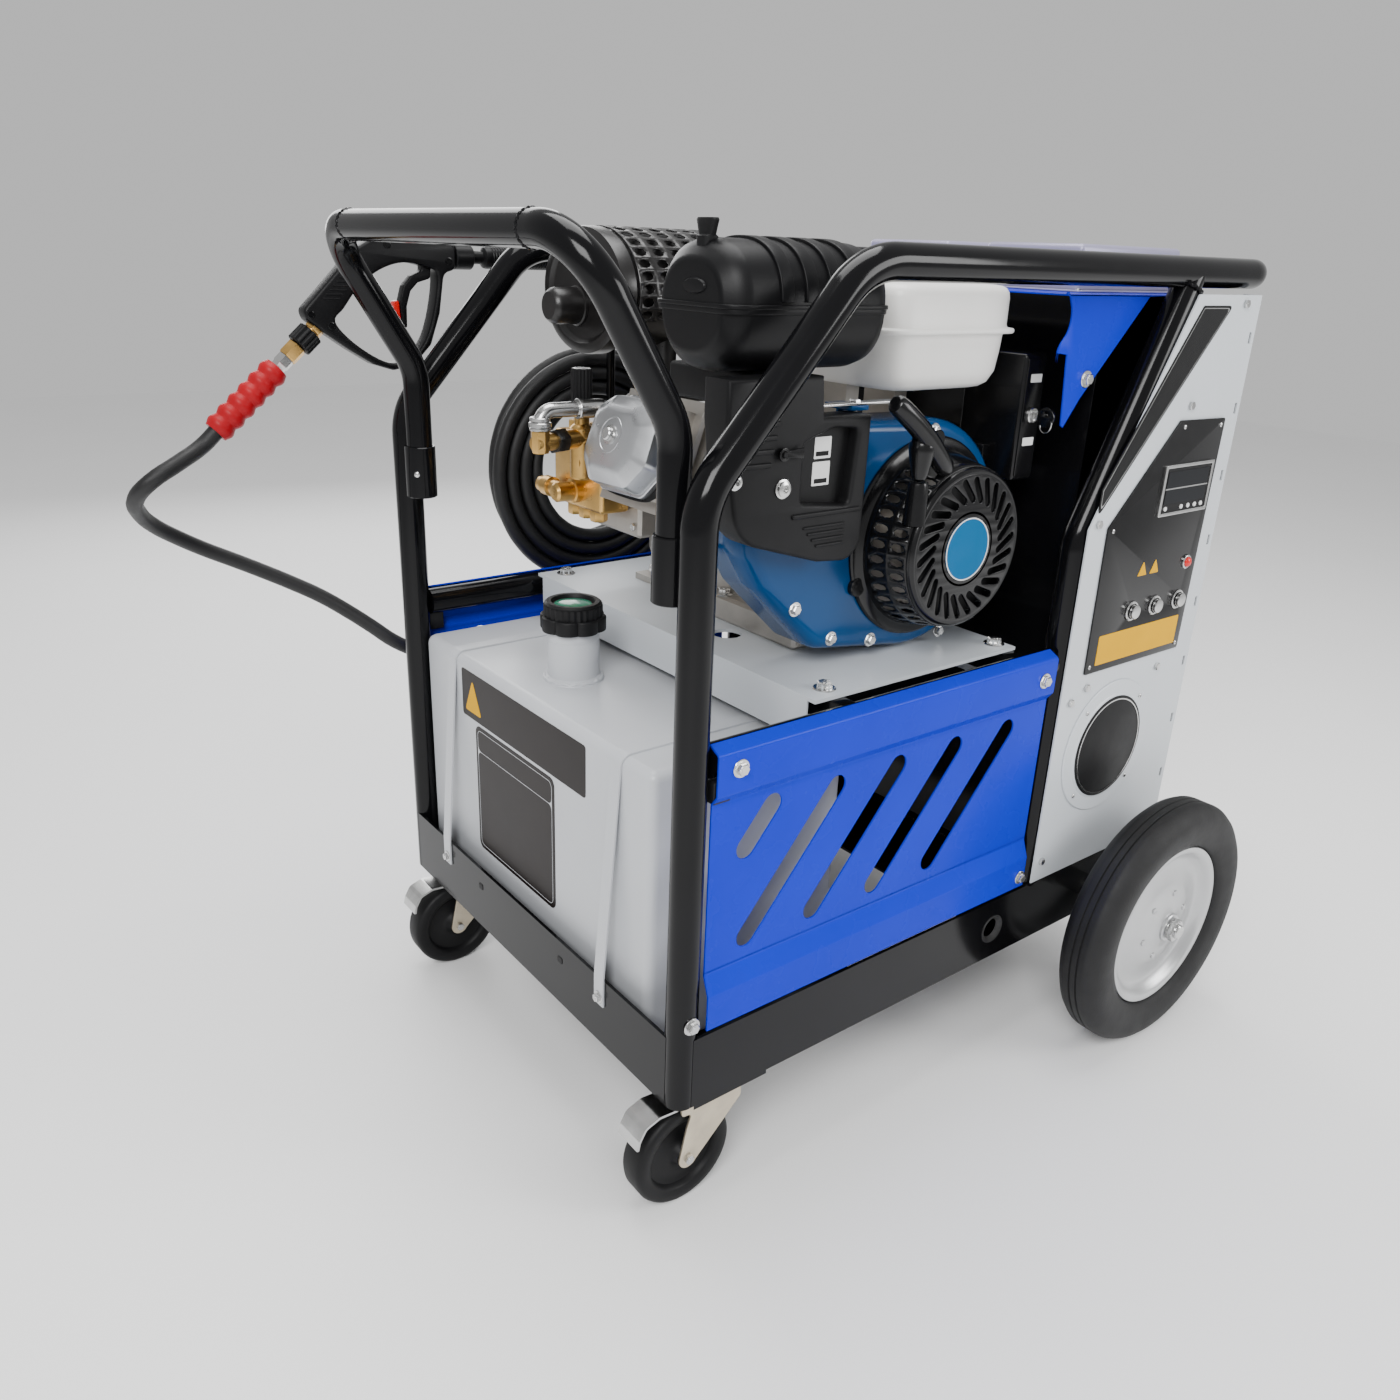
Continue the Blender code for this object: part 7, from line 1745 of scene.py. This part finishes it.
# -------------------------------------------------------------------------------- pump
@dataclass
class Pump:
    """Plunger pump with its brass manifold, pressure knob and outlet pipe."""

    face: float = 0.2067
    tower: Flat = (0.150, 0.420)
    port: Spot = (0.085, 0.404, 0.776)
    knob_base: float = 0.8168

    def build(self) -> None:
        """Make and dress every piece of the pump."""
        dress("pump_body", CAST_ALUMINIUM)
        self.body_details()
        self.manifold()
        self.fittings()
        self.knob()
        self.pipe()

    def body_details(self) -> None:
        """Make the pump's cover bolts, sight glass and ribs."""
        bolts = Shape()
        for x in (0.316, 0.438):
            for z in (0.614, 0.746):
                bolts.bolt((x, 0.500, z), TO_FAR, 0.0055)
        for y in (0.392, 0.484):
            for z in (0.668, 0.736):
                bolts.bolt((0.2073, y, z), TO_FRONT, 0.0050, washer=False)
        bolts.piece("pump_bolts", BRIGHT_STEEL)
        Shape().turned([(0, 0), (0.018, 0), (0.018, 0.003), (0.014, 0.005), (0.012, 0.003),
                        (0, 0.003)], (0.377, 0.4995, 0.660), TO_FAR, 40).piece(
            "oil_glass", GREEN_GLASS)
        ribs = Shape()
        for i in range(6):
            x = 0.312 + 0.024 * i
            ribs.block((x, 0.352, 0.7585), (x + 0.004, 0.490, 0.7655), 0.0012)
        ribs.piece("pump_ribs", CAST_ALUMINIUM)
        Shape().turned([(0, 0), (0.013, 0), (0.013, 0.012), (0.011, 0.016), (0, 0.016)],
                       (0.350, 0.420, 0.7590), UP, 12).piece("oil_plug", MATT_PLASTIC)

    def manifold(self) -> None:
        """Make the brass block, tower, arm and lower fittings."""
        x, y = self.tower
        shape = Shape().block((self.face - 0.042, 0.4003, 0.685), (self.face, 0.510, 0.775),
                              0.005, 4)
        shape.turned([(0, 0.728), (0.0130, 0.728), (0.0142, 0.730), (0.0142, 0.772),
                      (0.0130, 0.774), (0.0128, 0.776), (0.0142, 0.778), (0.0142, 0.787),
                      (0.0120, 0.790), (0.0090, 0.792), (0.0090, 0.8160), (0, 0.8160)],
                     (x, y, 0), UP, 32)
        shape.turned([(0, -0.010), (0.0110, -0.010), (0.0110, 0.045), (0, 0.045)],
                     (x, y, 0.748), TO_REAR, 24)
        port = Vector(self.port)
        start = Vector((x, y, port.z))
        arm = (port - start)
        reach = arm.length
        shape.turned([(0, 0), (0.0115, 0.0), (0.0115, reach * 0.42), (0.0100, reach * 0.43),
                      (0.0100, reach + 0.004), (0.0085, reach + 0.009), (0, reach + 0.010)],
                     start, arm, 28)
        shape.turned([(0, -0.011), (0.0095, -0.011), (0.0110, -0.006), (0.0110, 0.0135),
                      (0.0100, 0.0140), (0, 0.0140)], port, UP, 8)
        shape.turned([(0, 0), (0.0120, 0.0), (0.0120, 0.020), (0.0150, 0.021), (0.0150, 0.030),
                      (0.0120, 0.031), (0.0118, 0.052), (0.0090, 0.055), (0, 0.0555)],
                     (self.face - 0.020, 0.4553, 0.706), TO_FRONT, 28)
        shape.turned([(0, 0), (0.0100, 0), (0.0100, 0.030), (0.0125, 0.031), (0.0125, 0.045),
                      (0.0110, 0.047), (0.0100, 0.057), (0, 0.057)],
                     (self.face - 0.058, 0.4553, 0.706), TO_FAR, 24)
        shape.piece("brass_manifold", BRASS, "frame", ["pump_manifold"], 30)

    def fittings(self) -> None:
        """Make the steel and black hexagons on the manifold."""
        x, y = self.tower
        port = Vector(self.port)
        arm = (port - Vector((x, y, port.z))).normalized()
        dark = Shape().turned([(0.0100, 0.0), (0.0138, 0.0), (0.0145, 0.001), (0.0145, 0.016),
                               (0.0138, 0.017), (0.0100, 0.017)],
                              Vector((x, y, port.z)) + arm * 0.030, arm, 6, closed=True)
        dark.piece("dark_hexagon", HOT_STEEL)
        nut = Shape()
        for low, high, radius in ((0.0142, 0.0175, 0.0122), (0.0180, 0.0235, 0.0130),
                                  (0.0240, 0.0290, 0.0118)):
            nut.turned([(0.0084, low), (radius - 0.0008, low), (radius, low + 0.0008),
                        (radius, high - 0.0008), (radius - 0.0008, high), (0.0084, high)],
                       port, UP, 32, closed=True)
        nut.piece("banjo_nut", BRIGHT_STEEL)
        legs = Shape()
        for dy in (-0.022, 0.004, 0.030):
            legs.turned([(0, 0.0), (0.0105, 0.0), (0.0110, 0.001), (0.0110, 0.014),
                         (0.0100, 0.016), (0, 0.016)],
                        (self.face - 0.024, 0.4553 + dy, 0.6858), DOWN, 6)
            legs.turned([(0, 0.0), (0.0100, 0.0), (0.0105, 0.001), (0.0105, 0.010),
                         (0.0095, 0.012), (0, 0.012)],
                        (self.face - 0.024, 0.4553 + dy, 0.7745), UP, 6)
        legs.piece("valve_plugs", BRASS)

    def knob(self) -> None:
        """Make the fluted pressure knob with its pale top ring."""
        x, y = self.tower
        base = self.knob_base
        flutes = wavy((x, y), lambda a: 0.0125 - 0.0011 * (0.5 - 0.5 * cos(16 * a)) ** 2, 192)
        Shape().plate(flutes, base, base + 0.038, Facing.TOP, edge=0.0009).piece(
            "fluted_knob", MATT_PLASTIC, "regulator_knob", ["pressure_knob"])
        Shape().turned([(0.0078, 0.0376), (0.0100, 0.0376), (0.0100, 0.0383),
                        (0.0078, 0.0383)], (x, y, base), UP, 40, closed=True).piece(
            "knob_ring", BRIGHT_STEEL, "regulator_knob")

    def pipe(self) -> None:
        """Make the outlet pipe: bright bend and ferrule, then rubber hose."""
        x, y, z = self.port
        run = 0.812
        corners = [(x, y, z + 0.0143), (x, y, run), (0.215, 0.398, run), (0.238, 0.452, run),
                   (0.300, 0.458, run), (0.470, 0.452, run), (0.5515, 0.3995, 0.790),
                   (0.5515, 0.3995, 0.5003)]
        route = bent(corners, [0.016, 0.02, 0.02, 0.05, 0.05, 0.035], 12)
        Shape().pipe(route, 0.0080, 24).piece("boiler_feed_hose", BLACK_RUBBER, "frame",
                                              ["outlet_pipe"])
        bright = [p for p in route if p.x < 0.130]
        bright.append(Vector((0.140, 0.4015, run)))
        Shape().pipe(bright, 0.0086, 28).piece("bright_bend", BRIGHT_STEEL)
        Shape().turned([(0.0078, 0.0), (0.0112, 0.0), (0.0118, 0.0008), (0.0118, 0.0035),
                        (0.0108, 0.0042), (0.0108, 0.0300), (0.0104, 0.0330),
                        (0.0078, 0.0330)], (0.132, 0.4017, run), (1, -0.045, 0), 32,
                       closed=True).piece("ferrule", BRIGHT_STEEL)


# ---------------------------------------------------------------------- gun and lance
@dataclass
class SprayGear:
    """Spray gun with its trigger, latch and inlet, and the lance."""

    plane: float = 0.675
    half: float = 0.013
    inlet_length: float = 0.072
    lance_start: float = 0.1173
    lance_length: float = 0.680
    lance_height: float = 0.967
    outer: tuple[Flat, ...] = (
        (0.117, 0.984), (0.010, 0.986), (-0.012, 0.974), (-0.034, 0.952), (-0.058, 0.928),
        (-0.082, 0.904), (-0.079, 0.893), (-0.062, 0.880), (-0.030, 0.858), (0.000, 0.840),
        (0.026, 0.832), (0.054, 0.838), (0.078, 0.862), (0.092, 0.900), (0.100, 0.948),
        (0.117, 0.952))
    gap: tuple[Flat, ...] = (
        (-0.044, 0.891), (-0.032, 0.906), (-0.012, 0.930), (0.016, 0.950), (0.047, 0.959),
        (0.078, 0.954), (0.090, 0.944), (0.083, 0.902), (0.070, 0.868), (0.050, 0.847),
        (0.026, 0.841), (0.003, 0.849), (-0.026, 0.869))
    bosses: tuple[Flat, ...] = ((-0.074, 0.899), (-0.050, 0.886), (0.026, 0.979),
                                (0.106, 0.962))

    def build(self) -> None:
        """Make every piece of the gun and the lance."""
        self.body()
        self.trigger()
        self.inlet()
        self.lance()

    def body(self) -> None:
        """Make the gun's body with its guard, ribs and screw bosses."""
        near, far = self.plane - self.half, self.plane + self.half
        shape = Shape().plate(rounded(self.outer, 0.012, 6), near, far, Facing.SIDE,
                              [flowing(self.gap, 5)], 0.0042)
        for i in range(7):
            x, z = -0.0475 + 0.0044 * i, 0.9170 + 0.0048 * i
            for y in (near, far):
                shape.block((x - 0.0105, y - 0.0006, z - 0.0008),
                            (x + 0.0105, y + 0.0006, z + 0.0008), 0.0004)
        shape.piece("gun_shell", BLACK_PLASTIC, "frame", ["gun_body"], 35)
        holes = Shape()
        for x, z in self.bosses:
            for y, out in ((near, -1), (far, 1)):
                holes.turned([(0, 0.0), (0.0045, 0.0), (0.0045, 0.0007), (0.0036, 0.0009),
                              (0.0034, 0.0003), (0, 0.0003)], (x, y, z), (0, out, 0), 24)
        holes.piece("gun_screws", GLOSS_PLASTIC)

    def trigger(self) -> None:
        """Make the trigger and its red safety latch."""
        outline = [(0.086, 0.968), (0.072, 0.968), (0.072, 0.950), (0.058, 0.944),
                   (0.047, 0.932), (0.041, 0.912), (0.043, 0.884), (0.049, 0.882),
                   (0.050, 0.908), (0.056, 0.926), (0.066, 0.936), (0.083, 0.941)]
        shape = Shape().plate(rounded(outline, 0.005, 5), self.plane - 0.007, self.plane + 0.007,
                              edge=0.0018)
        shape.pipe([(0.079, self.plane - self.half + 0.001, 0.963),
                    (0.079, self.plane + self.half - 0.001, 0.963)], 0.003, 16)
        shape.piece("trigger_blade", BLACK_PLASTIC, "trigger", ["gun_trigger"])
        latch = [(0.0405, 0.9115), (0.0395, 0.9150), (0.0330, 0.9140), (0.0350, 0.8900),
                 (0.0420, 0.8880)]
        Shape().plate(rounded(latch, 0.002), self.plane - 0.005, self.plane + 0.005,
                      edge=0.0010).piece("red_latch", SIGNAL_RED, "latch", ["safety_latch"])

    def inlet(self) -> None:
        """Make the fittings between the gun and the hose's grip sleeve."""
        foot = Vector(GRIP_START) - GRIP_AXIS * self.inlet_length
        brass = Shape().turned([(0, 0.0), (0.0085, 0.0), (0.0085, 0.012), (0, 0.012)], foot,
                               GRIP_AXIS, 24)
        brass.turned([(0, 0.0), (0.0108, 0.002), (0.0112, 0.0030), (0.0112, 0.0090),
                      (0.0105, 0.0100), (0, 0.0100)], foot, GRIP_AXIS, 6)
        brass.turned([(0, 0.0345), (0.0105, 0.0350), (0.0116, 0.0362), (0.0116, 0.0530),
                      (0.0108, 0.0545), (0, 0.0545)], foot, GRIP_AXIS, 6)
        brass.piece("inlet_brass", BRASS)
        turn = Vector(UP).rotation_difference(GRIP_AXIS).to_matrix()
        nut = []
        for level, shrink in ((0.0120, 0.0014), (0.0132, 0.0), (0.0330, 0.0), (0.0342, 0.0014)):
            flutes = wavy((0, 0), lambda a: 0.0155 - 0.0020 * (0.5 - 0.5 * cos(12 * a)) ** 3
                          - shrink, 144)
            nut.append([foot + turn @ Vector((u, v, level)) for u, v in flutes])
        Shape().loft(nut).piece("inlet_nut", MATT_PLASTIC)
        steel = Shape().turned([(0, 0.0540), (0.0090, 0.0540), (0.0102, 0.0550),
                                (0.0102, 0.0655), (0.0092, 0.0668), (0.0085, 0.0720),
                                (0, 0.0720)], foot, GRIP_AXIS, 6)
        steel.piece("inlet_steel", BRIGHT_STEEL)

    def lance(self) -> None:
        """Make the lance with its insulated sleeve and nozzle."""
        base, length = (self.lance_start, self.plane, self.lance_height), self.lance_length
        profile = [(0, 0.0), (0.0140, 0.0), (0.0150, 0.001), (0.0150, 0.023), (0.0140, 0.0245),
                   (0.0080, 0.026), (0.0080, 0.040), (0.0125, 0.043), (0.0135, 0.046)]
        for i in range(36):
            at = 0.050 + 0.004 * i
            profile += [(0.0135, at), (0.0128, at + 0.0010), (0.0128, at + 0.0018),
                        (0.0135, at + 0.0028)]
        profile += [(0.0135, 0.199), (0.0125, 0.203), (0.0080, 0.206)]
        Shape().turned(profile + [(0, 0.206)], base, TO_REAR, 36).piece(
            "lance_grip", BLACK_PLASTIC, "frame", ["lance"])
        Shape().turned([(0, 0.200), (0.0078, 0.200), (0.0078, length - 0.044), (0, length - 0.044)],
                       base, TO_REAR, 32).piece("lance_tube", BRIGHT_STEEL)
        Shape().turned([(0, length - 0.046), (0.0118, length - 0.046), (0.0125, length - 0.044),
                        (0.0125, length - 0.018), (0.0110, length - 0.014),
                        (0.0075, length - 0.012), (0.0065, length - 0.010),
                        (0.0062, length), (0, length)], base, TO_REAR, 24).piece(
            "lance_nozzle", BRASS)


# ------------------------------------------------------------------------------ wheels
@dataclass
class Wheels:
    """Two large wheels on their axle and two braked casters."""

    wheel_x: float = 0.732
    radius: float = 0.172
    half: float = 0.031
    offset: float = 0.086
    hub: float = 0.020
    hub_half: float = 0.0285
    caster_x: float = 0.034
    swivel_x: float = 0.075
    caster_radius: float = 0.0625
    caster_inset: float = 0.041
    fork_top: float = 0.1457

    def build(self) -> None:
        """Make the axle, the large wheels and both casters."""
        self.axle()
        for side, y, out in (("near", -self.offset, -1), ("far", WIDTH + self.offset, 1)):
            self.wheel(side, y, out)
        self.caster("near", self.caster_inset)
        self.caster("far", WIDTH - self.caster_inset)

    def axle(self) -> None:
        """Make the axle with its collars, washers and cap nuts."""
        ends, z, x = 0.128, self.radius, self.wheel_x
        shape = Shape().turned([(0, -ends), (0.0088, -ends), (0.0100, -ends + 0.0015),
                                (0.0100, WIDTH + ends - 0.0015), (0.0088, WIDTH + ends),
                                (0, WIDTH + ends)], (x, 0, z), TO_FAR, 32)
        for side, out in ((0.0, -1), (WIDTH, 1)):
            outer = side + out * (self.offset + self.hub_half + 0.0006)
            shape.turned([(0.0095, 0.0), (0.0148, 0.0), (0.0148, 0.0016), (0.0095, 0.0016)],
                         (x, outer, z), (0, out, 0), 36, closed=True)
            shape.turned([(0.0095, 0.0016), (0.0150, 0.0016), (0.0158, 0.0028),
                          (0.0158, 0.0080), (0.0145, 0.0092), (0.0095, 0.0092)],
                         (x, outer, z), (0, out, 0), 6, closed=True)
            inner = self.offset - self.hub_half - 0.0006
            shape.turned([(0.0095, 0.0004), (0.0152, 0.0004), (0.0160, 0.0012),
                          (0.0160, inner - 0.001), (0.0152, inner), (0.0095, inner)],
                         (x, side, z), (0, out, 0), 36, closed=True)
        shape.piece("axle_rod", BRIGHT_STEEL, "frame", ["wheel_axle"])

    def wheel(self, side: str, y: float, out: int) -> None:
        """Make one large wheel: dished steel rim in a solid tyre.

        Args:
            side: Name of the side, near or far.
            y: Place of the wheel's middle plane.
            out: Direction away from the frame, -1 or 1.
        """
        hub, place = self.hub_half, (self.wheel_x, y, self.radius)
        profile = [(0.0103, hub), (self.hub - 0.0012, hub), (self.hub, hub - 0.0012),
                   (self.hub, 0.0245), (self.hub + 0.003, 0.0225), (0.040, 0.0185),
                   (0.052, 0.0175), (0.060, 0.0140), (0.078, 0.0085), (0.088, 0.0070),
                   (0.094, 0.0085), (0.1000, 0.0150), (0.1040, 0.0195), (0.1085, 0.0212),
                   (0.1125, 0.0212), (0.1140, 0.0185), (0.1140, -0.0185), (0.1125, -0.0212),
                   (0.1085, -0.0212), (0.1040, -0.0195), (0.0985, -0.0080), (0.088, 0.0030),
                   (0.078, 0.0050), (0.052, 0.0130), (self.hub + 0.003, 0.0120),
                   (self.hub, -hub + 0.0012), (self.hub - 0.0012, -hub), (0.0103, -hub)]
        Shape().turned(profile, place, (0, out, 0), 96, closed=True).piece(
            f"{side}_wheel_disc", RIM_SILVER, f"{side}_wheel", [f"{side}_rim"], 40)
        r, half = self.radius, self.half
        tyre = [(0.1142, 0.0190), (0.1170, 0.0240), (0.1260, 0.0280), (0.1400, half),
                (0.1520, half), (0.1600, half - 0.0030), (0.1670, half - 0.0085),
                (0.1705, half - 0.0140), (r - 0.0004, 0.0150), (r, 0.0120), (r, 0.0065),
                (r - 0.0022, 0.0055), (r - 0.0022, 0.0042), (r, 0.0032)]
        Shape().turned(symmetric(tyre), place, (0, out, 0), 120, closed=True).piece(
            f"{side}_wheel_tyre", TYRE_RUBBER, f"{side}_wheel", [f"{side}_tyre"], 40)
        beads = Shape()
        for angle in range(0, 360, 60):
            a = radians(angle + 15)
            beads.turned([(0, 0.0), (0.0045, 0.0), (0.0042, 0.0016), (0.0025, 0.0024),
                          (0, 0.0026)],
                         (self.wheel_x + 0.046 * cos(a), y + out * 0.0178,
                          self.radius + 0.046 * sin(a)), (0, out, 0), 20)
        beads.piece(f"{side}_wheel_rivets", RIM_SILVER, f"{side}_wheel")

    def caster(self, side: str, y: float) -> None:
        """Make one braked swivel caster.

        Args:
            side: Name of the side, near or far.
            y: Place of the caster's middle plane.
        """
        top, x, gap, sheet = self.fork_top, self.swivel_x, 0.020, 0.003
        crown = top - 0.011
        axle = (self.caster_x, y, self.caster_radius)
        fork = Shape().turned([(0, top), (0.0235, top), (0.0245, top - 0.0008),
                               (0.0300, top - 0.0040), (0.0300, top - 0.0055),
                               (0.0265, crown - 0.001), (0, crown - 0.001)], (x, y, 0),
                              UP, 56)
        half = gap + sheet / 2
        fork.block((x - 0.034, y - half - 0.001, crown - sheet), (x + 0.029, y + half + 0.001,
                                                                  crown), 0.0012)
        leg = rounded([(x - 0.052, crown - 0.0006), (x - 0.052, crown - 0.011),
                       (x - 0.038, crown - 0.012), (x - 0.044, crown - 0.030),
                       *arc((axle[0], axle[2]), 0.012, 170, 330, 12), (x + 0.030, crown - 0.020),
                       (x + 0.030, crown - 0.0006)], 0.006, 5)
        for low in (y - gap - sheet, y + gap):
            fork.plate(leg, low, low + sheet, Facing.SIDE, edge=0.0005)
        fork.piece(f"{side}_fork", ZINC, f"{side}_caster", [f"{side}_caster_fork"])
        pin = Shape()
        for out in (-1, 1):
            pin.bolt((axle[0], y + out * (gap + sheet), axle[2]), (0, out, 0), 0.0058, False)
        pin.pipe([(axle[0], y - gap - 0.002, axle[2]), (axle[0], y + gap + 0.002, axle[2])],
                 0.005, 20)
        pin.piece(f"{side}_caster_pin", BRIGHT_STEEL, f"{side}_caster")
        r, half, hub = self.caster_radius, 0.017, gap - 0.001
        wheel = [(0.0053, hub), (0.0120, hub), (0.0130, hub - 0.001), (0.0150, 0.0120),
                 (0.0200, 0.0085), (0.0380, 0.0070), (0.0420, 0.0085), (0.0440, 0.0140),
                 (0.0465, 0.0160), (0.0520, half), (r - 0.0050, half),
                 (r - 0.0018, half - 0.0022), (r, half - 0.0060)]
        Shape().turned(symmetric(wheel), axle, TO_FAR, 72, closed=True).piece(
            f"{side}_caster_roller_wheel", MATT_PLASTIC, f"{side}_caster_roller",
            [f"{side}_caster_wheel"], 40)
        hx, hz, width = x - 0.047, crown - 0.006, gap - 0.002
        line = bent([(hx + 0.008, 0, hz + 0.001), (hx - 0.030, 0, hz + 0.004),
                     (hx - 0.048, 0, hz - 0.002), (hx - 0.056, 0, hz - 0.016),
                     (hx - 0.058, 0, hz - 0.026)], [0.010, 0.008, 0.010], 5)
        pedal = Shape().sheet([(v.x, v.z) for v in line], y - width, y + width, 0.0028, "y")
        pedal.pipe([(hx, y - gap + 0.0003, hz), (hx, y + gap - 0.0003, hz)], 0.0034, 16)
        pedal.piece(f"{side}_brake_pedal", BRIGHT_STEEL, f"{side}_caster_brake",
                    [f"{side}_caster_pedal"])
        bolts = Shape()
        for dx in (-0.040, 0.040):
            for dy in (-0.030, 0.030):
                bolts.bolt((x + dx, y + dy, 0.1460), DOWN, 0.0055, False)
        bolts.piece(f"{side}_caster_bolts", BRIGHT_STEEL)


def main() -> None:
    """Build every sub-assembly, the camera and the cord first."""
    logging.basicConfig(level=logging.INFO, format="%(message)s")
    for assembly in (Studio(), Hose(), Trolley(), Skirts(), FuelStore(), Cabinet(), Engine(),
                     Pump(), SprayGear(), Wheels()):
        assembly.build()


if __name__ == "__main__":
    main()
